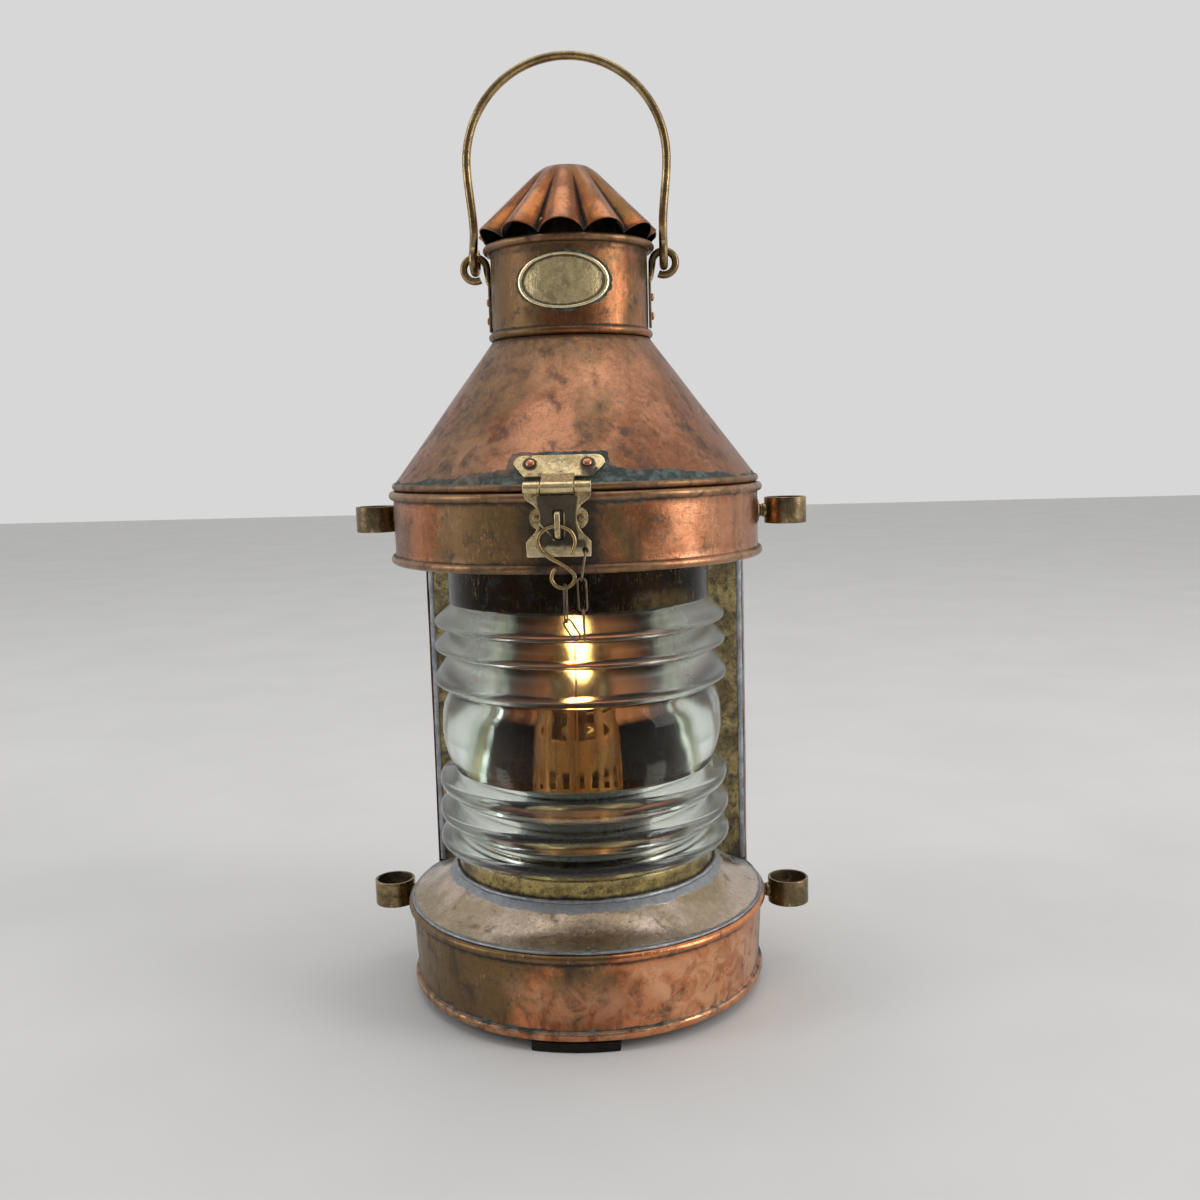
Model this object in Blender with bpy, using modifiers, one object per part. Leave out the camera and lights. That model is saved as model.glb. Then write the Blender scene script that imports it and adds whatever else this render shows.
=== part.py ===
"""Masthead light: a ship's lantern of sheet copper and brass with a drum lens.

Metres, +Z up. The lantern stands on z = 0 with its axis on Z, and its lens
faces -Y. Azimuths are measured from the front, positive towards +X.
"""
import math

import bmesh
import bpy
from mathutils import Matrix, Vector

TAU = 2 * math.pi

# General
GAP = 0.0003                 # what two neighbours keep between them
PLAY = 0.0004                # running clearance at pins and knuckles
SHEET = 0.0012               # copper and brass sheet
OVERRUN = 0.002              # how far a cutter runs past what it cuts
BEAD_RADIUS = 0.0028         # rolled beads round the drums
ROUND_STEPS = 48             # sides of the large turned pieces
FINE_STEPS = 36              # sides of the chimney and the lamp
SMALL_STEPS = 14             # sides of rivets, pins and knuckles

# Foot and base
FOOT_HEIGHT = 0.0059
FOOT_OVERHANG = 0.0021       # foot board past the base wall
FOOT_ARM_WIDTH = 0.052
BASE_HEIGHT = 0.053
BASE_INSET = 0.0004          # base wall inside the drum wall
BASE_TAPER = 0.0023          # how much narrower the base is below
HEM_RADIUS = 0.0026          # wired hem at the foot of the base
BOTTOM_PLATE_THICKNESS = 0.0015
COVE_HEIGHT = 0.0195         # rise of the sloped plate on the base

# Lens and its rings
LENS_SEAT_RADIUS = 0.0812    # glass radius where it stands in its rings
LENS_WALL = 0.0062
LENS_RISE = 0.0092           # glass above the sloped plate's top
LENS_HEIGHT = 0.1662
LENS_STEPS = 36
LENS_HALF_ARC = math.radians(111.6)
PRISM_DEPTH = 0.0124         # how far the prisms stand out
RING_WALL = 0.0018
RING_LAP = 0.0026            # how far a ring stands over the glass
LEDGE_DEPTH = 0.0016
RING_RISE = 0.0022           # upper ring above the drum's floor

# Housing
SHELL_OUTSET = 0.0018        # back shell outside the drum wall
WING_AZIMUTH = math.radians(112.5)
DRUM_MARGIN = 0.0339         # drum wall outside the glass
DRUM_LIFT = 0.0237           # drum above the glass
DRUM_HEIGHT = 0.0449
DRUM_FLOOR_RISE = 0.0048     # floor plate above the drum's lower edge

# Lid
LID_BEAD_RADIUS = 0.0024
LID_INSET = 0.0017           # lid's edge inside the drum wall
SKIRT_DEPTH = 0.0072
SKIRT_CLEARANCE = 0.0013
CONE_HEIGHT = 0.085
NECK_STEP = 0.0007
CHIMNEY_RADIUS = 0.0489
CHIMNEY_HEIGHT = 0.0579
CHIMNEY_BEAD_RADIUS = 0.0026
COLLAR_HEIGHT = 0.007
RIM_RADIUS = 0.0025          # wired rim at the chimney's mouth
RIM_OUTSET = 0.0020

# Cap
FLUTES = 14
FLUTE_STEPS = 6
CAP_ROWS = 4
CAP_SHEET = 0.0009
CAP_TOP_RADIUS = 0.017
CAP_TOP_HEIGHT = 0.0432      # flat top above the rim
CAP_CROWN = 0.0014
CAP_OVERHANG = 0.0006        # valleys past the rim's middle
CAP_FLARE = 0.0055           # crests past the valleys
CAP_CREST_LIFT = 0.0066
CAP_ARCH_POWER = 0.7

# Nameplate
PLATE_LENGTH = 0.0573
PLATE_WIDTH = 0.0325
PLATE_THICKNESS = 0.0008
PLATE_RIM = 0.0007
PLATE_CENTRE_HEIGHT = 0.0308  # above the chimney's lower edge
PLATE_SEGMENTS = 28

# Bail and its lugs
EYE_CLEARANCE = 0.0005       # eye's bar off the chimney wall
EYE_DROP = 0.0048            # eye's upper bar below the rim
EYE_RADIUS = 0.0073
EYE_WIRE = 0.0023
LUG_WIDTH = 0.0105
LUG_FOOT_THICKNESS = 0.0017
LUG_FOOT_HEIGHT = 0.0066     # lug's foot above the chimney's lower edge
LUG_BEND_HEIGHT = 0.0345
BAIL_WIRE = 0.00265
BAIL_RING_RADIUS = 0.0073
BAIL_SEAT_DROP = 0.0019      # ring centre below the eye's upper bar
BAIL_SPREAD = 0.003          # arch wider than its ends, each side
BAIL_SPRING_HEIGHT = 0.0581  # arch centre above the ring centre
BAIL_NECK = 0.0165           # where the wire leaves its ring

# Latch
BARREL_RADIUS = 0.0036
BARREL_LENGTH = 0.037
MIDDLE_KNUCKLE_SHARE = 0.49
PIN_RADIUS = 0.0012
LATCH_PLATE_WIDTH = 0.051
LATCH_PLATE_LENGTH = 0.0165
LATCH_PLATE_THICKNESS = 0.0014
LATCH_RIVET_MARGIN = 0.00975
HASP_THICKNESS = 0.0016
HASP_LENGTH = 0.0374
HASP_HALF_WIDTH = 0.0178
SLOT_WIDTH = 0.006
SLOT_HEIGHT = 0.0166
SLOT_DROP = 0.0116           # slot's top below the barrel's axis
STRIP_WIDTH = 0.003
STRIP_THICKNESS = 0.0015
BACKING_THICKNESS = 0.0008
EYE_REACH = 0.0056           # staple eye in front of the hasp
KEEPER_WIDTH = 0.032
KEEPER_HEIGHT = 0.013
KEEPER_THICKNESS = 0.0012
KEEPER_RIVET_MARGIN = 0.00375

# Pin hook and chain
HOOK_WIRE = 0.00115
HOOK_HEIGHT = 0.0334
LINK_WIRE = 0.00055
LINK_HALF_WIDTH = 0.0024
CHAIN_HOLE_RADIUS = 0.0017

# Rear hinge
HINGE_LENGTH = 0.040
HINGE_KNUCKLE = 0.0030
HINGE_LEAF_THICKNESS = 0.0014
HINGE_LEAF_REACH = 0.0265
HINGE_STANDOFF = 0.0040      # hinge axis behind the widest bead

# Rivets
RIVET_RADIUS = 0.0025
RIVET_HEIGHT = 0.0016
RIVET_STEPS = 10

# Mounting rings
SOCKET_RADIUS = 0.01175
SOCKET_WALL = 0.00175
SOCKET_HEIGHT = 0.0168
SOCKET_AZIMUTH = math.radians(98.3)
SOCKET_REACH = 0.0205        # ring centre from the wall that carries it
NECK_BAR_RADIUS = 0.0046
FLANGE_RADIUS = 0.0084
FLANGE_THICKNESS = 0.0021
FLANGE_DROP = 0.0055         # upper flange below the drum's top bead
NECK_CLEARANCE = 0.0007      # lower neck below the base's top bead

# Lamp
FONT_RADIUS = 0.041
FONT_HEIGHT = 0.110
FONT_WALL = 0.0014
FONT_COLLAR_RADIUS = 0.0165
FONT_COLLAR_HEIGHT = 0.008
BURNER_RADIUS = 0.0145
BURNER_HEIGHT = 0.022
GALLERY_RADIUS = 0.022
GALLERY_HEIGHT = 0.024
GALLERY_WALL = 0.0012
GALLERY_HOLES = 12
GALLERY_HOLE_RADIUS = 0.0019
GALLERY_PRONGS = 8
WICK_WIDTH = 0.016
WICK_THICKNESS = 0.0024
WICK_RISE = 0.0035           # wick above its tube
WICK_DEPTH = 0.030
TUBE_WALL = 0.0010
TUBE_HEIGHT = 0.034
SPINDLE_RADIUS = 0.0013
SPINDLE_LENGTH = 0.034
KNOB_RADIUS = 0.0065
KNOB_THICKNESS = 0.0035
KNOB_NOTCHES = 12

# Levels and radii that follow from the sizes above
base_bottom = FOOT_HEIGHT + GAP
base_top = base_bottom + BASE_HEIGHT
cove_bottom = base_top + GAP
cove_top = cove_bottom + COVE_HEIGHT
lens_bottom = cove_top + LENS_RISE
lens_top = lens_bottom + LENS_HEIGHT
drum_bottom = lens_top + DRUM_LIFT
drum_radius = LENS_SEAT_RADIUS + DRUM_MARGIN
base_top_radius = drum_radius - BASE_INSET
base_bottom_radius = base_top_radius - BASE_TAPER
foot_radius = base_bottom_radius + FOOT_OVERHANG
shell_radius = drum_radius + SHELL_OUTSET
lid_radius = drum_radius - LID_INSET
neck_radius = CHIMNEY_RADIUS + NECK_STEP
rim_centre = CHIMNEY_RADIUS + RIM_OUTSET
cap_valley = rim_centre + CAP_OVERHANG
cap_crest = cap_valley + CAP_FLARE
eye_offset = CHIMNEY_RADIUS + EYE_CLEARANCE + EYE_WIRE + EYE_RADIUS
bail_half_width = eye_offset + BAIL_SPREAD
ring_inner = LENS_SEAT_RADIUS + GAP
ring_outer = ring_inner + RING_WALL
drum_top = drum_bottom + DRUM_HEIGHT
drum_floor = drum_bottom + DRUM_FLOOR_RISE
drum_reach = drum_radius + BEAD_RADIUS
lid_bottom = drum_top + GAP
cone_bottom = lid_bottom + 2 * LID_BEAD_RADIUS
cone_top = cone_bottom + CONE_HEIGHT
chimney_bottom = cone_top + GAP
chimney_top = chimney_bottom + CHIMNEY_HEIGHT
rim_height = chimney_top - RIM_RADIUS
eye_height = rim_height - RIM_RADIUS - EYE_WIRE - EYE_DROP
upper_socket = drum_top - 2 * BEAD_RADIUS - FLANGE_DROP - FLANGE_RADIUS
lower_socket = base_top - 2 * BEAD_RADIUS - NECK_CLEARANCE - NECK_BAR_RADIUS
bail_axis = eye_height + EYE_RADIUS - BAIL_SEAT_DROP
barrel_y = -(lid_radius + LID_BEAD_RADIUS + PLAY + BARREL_RADIUS)
barrel_height = lid_bottom + LID_BEAD_RADIUS
hasp_back = -(drum_reach + PLAY + BACKING_THICKNESS + GAP)
hasp_front = hasp_back - HASP_THICKNESS
hook_plane = hasp_front - (EYE_REACH - STRIP_THICKNESS) / 2
hinge_y = drum_reach + HINGE_STANDOFF
hinge_height = drum_top + GAP / 2
font_bottom = base_bottom + BOTTOM_PLATE_THICKNESS + GAP
font_top = font_bottom + FONT_HEIGHT
burner_bottom = font_top + FONT_COLLAR_HEIGHT + GAP
burner_top = burner_bottom + BURNER_HEIGHT
spindle_height = burner_bottom + BURNER_HEIGHT / 2
spindle_line = WICK_THICKNESS / 2 + TUBE_WALL + 3 * GAP + SPINDLE_RADIUS + PLAY

# Shapes as shares, chosen by hand
# The cove on the base: outwards to inwards, and up
cove_shares = ((0.0, 0.0), (0.1, 0.03), (0.4, 0.24), (0.75, 0.63), (1.0, 1.0))
# The lens from its top: depth as a share of its height, and how far a point
# stands out between the seat radius and the prism radius
lens_shares = (
    (0.0, 0.0), (0.019, 0.0), (0.082, 0.95), (0.098, 0.92), (0.115, 0.16),
    (0.175, 0.98), (0.192, 0.96), (0.21, 0.2), (0.30, 1.04), (0.32, 1.02), (0.35, 0.24),
    (0.405, 0.6), (0.47, 0.73), (0.535, 0.72), (0.605, 0.5), (0.656, 0.18),
    (0.682, 0.92), (0.704, 1.0), (0.73, 0.9), (0.766, 0.22), (0.8, 1.0), (0.825, 1.07),
    (0.848, 0.9), (0.884, 0.2), (0.915, 1.0), (0.938, 1.07), (0.96, 0.85), (0.981, 0.0),
    (1.0, 0.0))
# The hasp's edge from the barrel down: drop as a share of its length, and half
# its width as a share of the widest
hasp_shares = (
    (0.115, 1.02), (0.17, 0.96), (0.23, 0.78), (0.31, 0.63), (0.40, 0.575), (0.48, 0.575),
    (0.56, 0.62), (0.65, 0.74), (0.73, 0.9), (0.785, 1.0), (0.99, 0.985), (1.0, 0.96))
# The pin hook's wire from its free end: across and down from the top of the
# large loop, as shares of the hook's height
hook_shares = (
    (0.20, 0.455), (0.262, 0.32), (0.262, 0.185), (0.185, 0.062), (0.03, 0.0), (-0.14, 0.012),
    (-0.28, 0.10), (-0.33, 0.235), (-0.27, 0.39), (-0.15, 0.50), (0.0, 0.585), (0.145, 0.68),
    (0.25, 0.80), (0.22, 0.92), (0.09, 0.995), (-0.05, 0.96), (-0.125, 0.85), (-0.10, 0.73),
    (-0.055, 0.68))
# Chain links: ends across from the pin hook's foot and down from it, as
# shares of the hook's height; first the run on the hook, then that on the hasp
hook_run_shares = ((0.0, 0.0), (0.0, 0.545), (0.18, 0.835))
hasp_run_shares = ((0.30, 0.85), (0.29, 0.36), (0.275, -0.14))
# The keeper's and nameplate's outline and rim, as shares
plate_ring_shares = (0.0, 0.25, 0.5, 0.72, 0.89, 0.94, 1.0)
plate_lift_shares = (0.0, 0.0, 0.0, 0.0, 0.3, 1.0, 0.8)

parts = bpy.data.collections.new("masthead_light")
cutters = bpy.data.collections.new("masthead_light_cutters")


def clear_scene():
    """Remove what a new file holds, so that the model stands alone."""
    for thing in list(bpy.data.objects):
        bpy.data.objects.remove(thing, do_unlink=True)
    bpy.context.scene.collection.children.link(parts)
    bpy.context.scene.collection.children.link(cutters)


def make_finishes():
    """One colour, roughness and metallic value for each finish."""
    table = {
        "copper": ((0.44, 0.21, 0.12), 0.42, 1.0),
        "brown_copper": ((0.30, 0.17, 0.10), 0.5, 1.0),
        "brass": ((0.50, 0.38, 0.17), 0.4, 1.0),
        "aged_brass": ((0.32, 0.25, 0.13), 0.5, 1.0),
        "steel_wire": ((0.25, 0.23, 0.20), 0.5, 1.0),
        "glass": ((0.80, 0.90, 0.84), 0.05, 0.0),
        "wick_cotton": ((0.75, 0.70, 0.58), 0.9, 0.0),
        "blackened": ((0.05, 0.045, 0.04), 0.7, 0.6),
    }
    return table


finishes = make_finishes()


def finish(piece, kind):
    """Give a piece its own Principled material."""
    colour, roughness, metallic = finishes[kind]
    material = bpy.data.materials.new(piece.name + "_" + kind)
    material.use_nodes = True
    shader = material.node_tree.nodes["Principled BSDF"]
    shader.inputs["Base Color"].default_value = (*colour, 1.0)
    shader.inputs["Roughness"].default_value = roughness
    shader.inputs["Metallic"].default_value = metallic
    piece.data.materials.clear()
    piece.data.materials.append(material)


def place(name, data, collection=None):
    """Wrap mesh or curve data in an object in its collection."""
    thing = bpy.data.objects.new(name, data)
    (collection or parts).objects.link(thing)
    if collection is cutters:
        thing.hide_render = True
        thing.display_type = "WIRE"
    return thing


def to_mesh(name, bm, collection=None, smooth=True):
    """Turn a bmesh into an object, with round stretches shaded smooth."""
    bmesh.ops.recalc_face_normals(bm, faces=bm.faces)
    mesh = bpy.data.meshes.new(name)
    bm.to_mesh(mesh)
    bm.free()
    if smooth:
        mesh.shade_smooth()
        mesh.set_sharp_from_angle(angle=math.radians(35))
    return place(name, mesh, collection)


def arc(centre_r, centre_z, radius, start, end, steps):
    """Points of an arc in the (radius, height) plane, angles in degrees."""
    points = []
    for i in range(steps + 1):
        angle = math.radians(start + (end - start) * i / steps)
        points.append((centre_r + radius * math.cos(angle), centre_z + radius * math.sin(angle)))
    return points


def bead(wall, height, radius):
    """A half-round bead that stands out of a wall, from top to bottom."""
    return arc(wall, height, radius, 90, -90, 4)


def turned(name, outline, steps=ROUND_STEPS, closed=True, collection=None):
    """Turn a profile of (radius, height) points round Z with a Screw modifier."""
    mesh = bpy.data.meshes.new(name)
    vertices = [(r, 0.0, z) for r, z in outline]
    edges = [(i, i + 1) for i in range(len(outline) - 1)]
    if closed:
        edges.append((len(outline) - 1, 0))
    mesh.from_pydata(vertices, edges, [])
    piece = place(name, mesh, collection)
    screw = piece.modifiers.new("turn", "SCREW")
    screw.axis = "Z"
    screw.angle = TAU
    screw.steps = steps
    screw.render_steps = steps
    screw.use_merge_vertices = True
    screw.merge_threshold = 0.00001
    screw.use_smooth_shade = True
    return piece


def swept(name, outline, start, end, steps, collection=None):
    """Turn a closed profile through part of a circle, between two azimuths."""
    bm = bmesh.new()
    # A profile point at azimuth a stands at (r sin a, -r cos a)
    ring = [bm.verts.new((r * math.sin(start), -r * math.cos(start), z)) for r, z in outline]
    face = bm.faces.new(ring)
    geometry = [face] + list(face.edges) + list(face.verts)
    bmesh.ops.spin(bm, geom=geometry, cent=(0, 0, 0), axis=(0, 0, 1), dvec=(0, 0, 0),
                   angle=end - start, steps=steps, use_duplicate=False)
    return to_mesh(name, bm, collection)


def flat_plate(name, outlines, thickness, matrix=Matrix(), collection=None):
    """A flat plate from 2D outlines (the first is the edge, the rest are holes)."""
    curve = bpy.data.curves.new(name, "CURVE")
    curve.dimensions = "2D"
    curve.fill_mode = "BOTH"
    curve.extrude = thickness / 2
    for outline in outlines:
        spline = curve.splines.new("POLY")
        spline.points.add(len(outline) - 1)
        for point, (x, y) in zip(spline.points, outline):
            point.co = (x, y, 0.0, 1.0)
        spline.use_cyclic_u = True
    piece = place(name, curve, collection)
    piece.matrix_world = matrix
    return piece


def wire(name, points, radius, closed=False, resolution=2, collection=None):
    """A round wire along a list of points."""
    curve = bpy.data.curves.new(name, "CURVE")
    curve.dimensions = "3D"
    curve.bevel_depth = radius
    curve.bevel_resolution = resolution
    curve.use_fill_caps = not closed
    spline = curve.splines.new("POLY")
    spline.points.add(len(points) - 1)
    for point, place_at in zip(spline.points, points):
        point.co = (*place_at, 1.0)
    spline.use_cyclic_u = closed
    spline.use_smooth = True
    return place(name, curve, collection)


def as_mesh(thing):
    """Replace a curve object by the mesh that it evaluates to, welded."""
    graph = bpy.context.evaluated_depsgraph_get()
    graph.update()
    mesh = bpy.data.meshes.new_from_object(thing.evaluated_get(graph), depsgraph=graph)
    bm = bmesh.new()
    bm.from_mesh(mesh)
    bmesh.ops.remove_doubles(bm, verts=bm.verts, dist=GAP / 10)
    bmesh.ops.recalc_face_normals(bm, faces=bm.faces)
    bm.to_mesh(mesh)
    bm.free()
    name = thing.name
    matrix = thing.matrix_world.copy()
    collection = thing.users_collection[0]
    bpy.data.objects.remove(thing, do_unlink=True)
    solid = place(name, mesh, collection)
    solid.name = name
    solid.matrix_world = matrix
    return solid


def combine(piece, other, operation):
    """Join or cut a piece with another by an exact Boolean."""
    modifier = piece.modifiers.new(operation.lower(), "BOOLEAN")
    modifier.operation = operation
    modifier.solver = "EXACT"
    modifier.object = other
    return piece


def cylinder(name, radius, length, centre, axis, steps=SMALL_STEPS, collection=None):
    """A plain cylinder about an axis through a centre."""
    bm = bmesh.new()
    bmesh.ops.create_cone(bm, cap_ends=True, segments=steps, radius1=radius, radius2=radius,
                          depth=length)
    piece = to_mesh(name, bm, collection)
    turn = Vector((0, 0, 1)).rotation_difference(Vector(axis)).to_matrix().to_4x4()
    piece.matrix_world = Matrix.Translation(centre) @ turn
    return piece


def block(name, size, centre, collection=None):
    """A plain box."""
    bm = bmesh.new()
    bmesh.ops.create_cube(bm, size=1)
    bmesh.ops.scale(bm, vec=size, verts=bm.verts)
    bmesh.ops.translate(bm, vec=centre, verts=bm.verts)
    return to_mesh(name, bm, collection, smooth=False)


def tube_along_x(name, outer, inner, start, end, centre_y, centre_z, collection=None):
    """A knuckle: a short tube along X with a bore."""
    outline = [(outer, end), (outer, start), (inner, start), (inner, end)]
    piece = turned(name, outline, SMALL_STEPS, collection=collection)
    piece.rotation_euler = (0, math.pi / 2, 0)
    piece.location = (0, centre_y, centre_z)
    return piece


def strip(name, path, half_width, thickness, collection=None, offset=0.0):
    """A bent strip: a path of (y, z) points drawn out along X, then thickened."""
    bm = bmesh.new()
    vertices = [bm.verts.new((-half_width, y, z)) for y, z in path]
    edges = [bm.edges.new(pair) for pair in zip(vertices, vertices[1:])]
    drawn = bmesh.ops.extrude_edge_only(bm, edges=edges)
    moved = [item for item in drawn["geom"] if isinstance(item, bmesh.types.BMVert)]
    bmesh.ops.translate(bm, vec=(2 * half_width, 0, 0), verts=moved)
    piece = to_mesh(name, bm, collection, smooth=False)
    solid = piece.modifiers.new("sheet", "SOLIDIFY")
    solid.thickness = thickness
    solid.offset = offset
    solid.use_even_offset = True
    return piece


def smooth_path(points, steps):
    """Points of a smooth curve through a few given ones."""
    track = [Vector(p) for p in points]
    padded = [2 * track[0] - track[1]] + track + [2 * track[-1] - track[-2]]
    result = []
    for i in range(1, len(padded) - 2):
        before, a, b, after = padded[i - 1:i + 3]
        for k in range(steps):
            t = k / steps
            point = (2 * a + (b - before) * t + (2 * before - 5 * a + 4 * b - after) * t ** 2
                     + (3 * a - before - 3 * b + after) * t ** 3) / 2
            result.append(point)
    result.append(track[-1])
    return result


def wall_point(radius, azimuth, height):
    """A point at an azimuth from the front."""
    return Vector((radius * math.sin(azimuth), -radius * math.cos(azimuth), height))


def rivet(name, foot, direction, kind, radius=RIVET_RADIUS, height=RIVET_HEIGHT):
    """A low domed rivet head whose flat side sits at a point."""
    outline = [(0.0, height), (radius * 0.55, height * 0.86), (radius, height * 0.3),
               (radius, 0.0), (0.0, 0.0)]
    head = turned(name, outline, RIVET_STEPS, closed=False)
    turn = Vector((0, 0, 1)).rotation_difference(Vector(direction)).to_matrix().to_4x4()
    head.matrix_world = Matrix.Translation(foot) @ turn
    finish(head, kind)
    return head


def cone_point(drop):
    """Radius and height of the cone's outer face, a share down from its top."""
    radius = neck_radius + (lid_radius - neck_radius) * drop
    return radius, cone_top - CONE_HEIGHT * drop


def cone_slope():
    """Unit directions down the cone and square out of it, in (radius, height)."""
    run = lid_radius - neck_radius
    length = math.hypot(run, CONE_HEIGHT)
    return (run / length, -CONE_HEIGHT / length), (CONE_HEIGHT / length, run / length)


def cove_outline():
    """Upper face of the sloped base plate, from its rim to the lens ring."""
    outer = base_top_radius
    inner = ring_outer + GAP
    return [(outer + (inner - outer) * inward, cove_bottom + SHEET + COVE_HEIGHT * up)
            for inward, up in cove_shares]


def cove_height(radius):
    """Height of the sloped plate's upper face at a radius."""
    points = cove_outline()
    for (r0, z0), (r1, z1) in zip(points, points[1:]):
        if r1 <= radius <= r0:
            return z0 + (z1 - z0) * (r0 - radius) / (r0 - r1)
    return points[0][1] if radius > points[0][0] else points[-1][1]


def make_foot():
    """The cross-shaped foot board under the base."""
    half = FOOT_ARM_WIDTH / 2
    spread = math.asin(half / foot_radius)
    outline = []
    for arm in range(4):
        heading = arm * TAU / 4
        for i in range(7):
            angle = heading - spread + 2 * spread * i / 6
            outline.append((foot_radius * math.cos(angle), foot_radius * math.sin(angle)))
        corner = heading + TAU / 8
        reach = half * math.sqrt(2)
        outline.append((reach * math.cos(corner), reach * math.sin(corner)))
    board = flat_plate("foot_cross", [outline], FOOT_HEIGHT,
                       Matrix.Translation((0, 0, FOOT_HEIGHT / 2)))
    finish(board, "blackened")


def make_base():
    """The base: a copper drum with a bottom plate and a sloped top plate."""
    inner_top = base_top_radius - SHEET
    inner_bottom = base_bottom_radius - SHEET
    outline = [(inner_top, base_top)]
    outline += bead(base_top_radius, base_top - BEAD_RADIUS, BEAD_RADIUS)
    outline += bead(base_bottom_radius, base_bottom + HEM_RADIUS, HEM_RADIUS)
    outline += [(inner_bottom, base_bottom)]
    finish(turned("base_drum", outline), "copper")

    plate_edge = inner_bottom - GAP
    plate_top = base_bottom + BOTTOM_PLATE_THICKNESS
    bottom = turned("base_bottom_plate", [(0.0, plate_top), (plate_edge, plate_top),
                                          (plate_edge, base_bottom), (0.0, base_bottom)],
                    closed=False)
    finish(bottom, "copper")

    upper = cove_outline()[::-1]
    lower = [(r, z - SHEET) for r, z in reversed(upper)]
    finish(turned("base_top_plate", upper + lower), "brown_copper")


def make_rings():
    """The two brass rings that hold the glass, each with a ledge inside."""
    ledge_inner = LENS_SEAT_RADIUS - LENS_WALL
    low_foot = cove_top - COVE_HEIGHT / 3
    low_top = lens_bottom + RING_LAP
    seat = lens_bottom - GAP
    low = [(ring_inner, low_top), (ring_outer, low_top), (ring_outer, low_foot),
           (ring_inner, low_foot), (ring_inner, seat - LEDGE_DEPTH),
           (ledge_inner, seat - LEDGE_DEPTH), (ledge_inner, seat), (ring_inner, seat)]
    finish(turned("lower_lens_ring", low), "aged_brass")

    high_top = drum_floor + SHEET + RING_RISE
    high_bottom = lens_top - RING_LAP
    ledge = lens_top + GAP
    high = [(ring_inner, high_top), (ring_outer, high_top), (ring_outer, high_bottom),
            (ring_inner, high_bottom), (ring_inner, ledge), (ledge_inner, ledge),
            (ledge_inner, ledge + LEDGE_DEPTH), (ring_inner, ledge + LEDGE_DEPTH)]
    finish(turned("upper_lens_ring", high), "aged_brass")


def make_lens():
    """The drum lens: six prisms and a bulging belt, over 225 degrees."""
    outer = []
    for depth, stand in lens_shares:
        radius = LENS_SEAT_RADIUS + PRISM_DEPTH * stand
        outer.append((radius, lens_top - LENS_HEIGHT * depth))
    inner = LENS_SEAT_RADIUS - LENS_WALL
    outline = [(inner, lens_top)] + outer + [(inner, lens_bottom)]
    glass = swept("lens", outline, -LENS_HALF_ARC, LENS_HALF_ARC, LENS_STEPS)
    finish(glass, "glass")


def make_wings():
    """Brass screens from the ends of the lens to the back shell."""
    inner = LENS_SEAT_RADIUS - LENS_WALL
    outer = shell_radius - SHEET - GAP
    notch = ring_outer + GAP
    low = lens_bottom + RING_LAP + GAP
    high = lens_top - RING_LAP - GAP
    top = drum_floor - GAP
    bottom_edge = []
    for i in range(7):
        radius = notch + (outer - notch) * i / 6
        bottom_edge.append((radius, cove_height(radius) + GAP))
    outline = [(inner, low), (notch, low)] + bottom_edge
    step = drum_radius - SHEET - GAP
    under = drum_bottom - GAP
    outline += [(outer, under), (step, under), (step, top), (notch, top), (notch, high),
                (inner, high)]
    for side, name in ((1, "right_wing_plate"), (-1, "left_wing_plate")):
        azimuth = side * WING_AZIMUTH
        radial = Vector((math.sin(azimuth), -math.cos(azimuth), 0))
        up = Vector((0, 0, 1))
        square = radial.cross(up)
        frame = Matrix((radial, up, square)).transposed().to_4x4()
        plate = flat_plate(name, [outline], SHEET, frame)
        finish(plate, "brass")


def make_shell():
    """The copper back shell between the two wing plates."""
    bottom = base_top + GAP
    top = drum_bottom - GAP
    lap = GAP + SHEET / 2
    start = WING_AZIMUTH - lap / shell_radius
    outline = [(shell_radius - SHEET, top), (shell_radius, top),
               (shell_radius, bottom), (shell_radius - SHEET, bottom)]
    shell = swept("back_shell", outline, start, TAU - start, 24)
    finish(shell, "copper")


def make_drum():
    """The upper drum, a copper band with two beads, and its floor plate."""
    inner = drum_radius - SHEET
    outline = [(inner, drum_top)]
    outline += bead(drum_radius, drum_top - BEAD_RADIUS, BEAD_RADIUS)
    outline += bead(drum_radius, drum_bottom + BEAD_RADIUS, BEAD_RADIUS)
    outline += [(inner, drum_bottom)]
    finish(turned("upper_drum", outline), "copper")

    hole = ring_outer + GAP
    edge = inner - GAP
    floor = [(hole, drum_floor + SHEET), (edge, drum_floor + SHEET), (edge, drum_floor),
             (hole, drum_floor)]
    finish(turned("drum_floor_plate", floor), "brown_copper")


def make_cone():
    """The lid's cone, with a bead that rests on the drum and a skirt inside it."""
    down, out = cone_slope()
    skirt = drum_radius - SHEET - SKIRT_CLEARANCE
    collar = CHIMNEY_RADIUS - SHEET - GAP
    outer = [(collar, cone_top + COLLAR_HEIGHT), (collar, cone_top), (neck_radius, cone_top)]
    outer += bead(lid_radius, lid_bottom + LID_BEAD_RADIUS, LID_BEAD_RADIUS)
    outer += [(skirt, lid_bottom), (skirt, lid_bottom - SKIRT_DEPTH)]
    inner = [(skirt - SHEET, lid_bottom - SKIRT_DEPTH), (skirt - SHEET, lid_bottom + SHEET),
             (lid_radius - SHEET * out[0], cone_bottom - SHEET * out[1]),
             (collar - SHEET, cone_top - SHEET), (collar - SHEET, cone_top + COLLAR_HEIGHT)]
    finish(turned("lid_cone", outer + inner), "copper")


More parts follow.
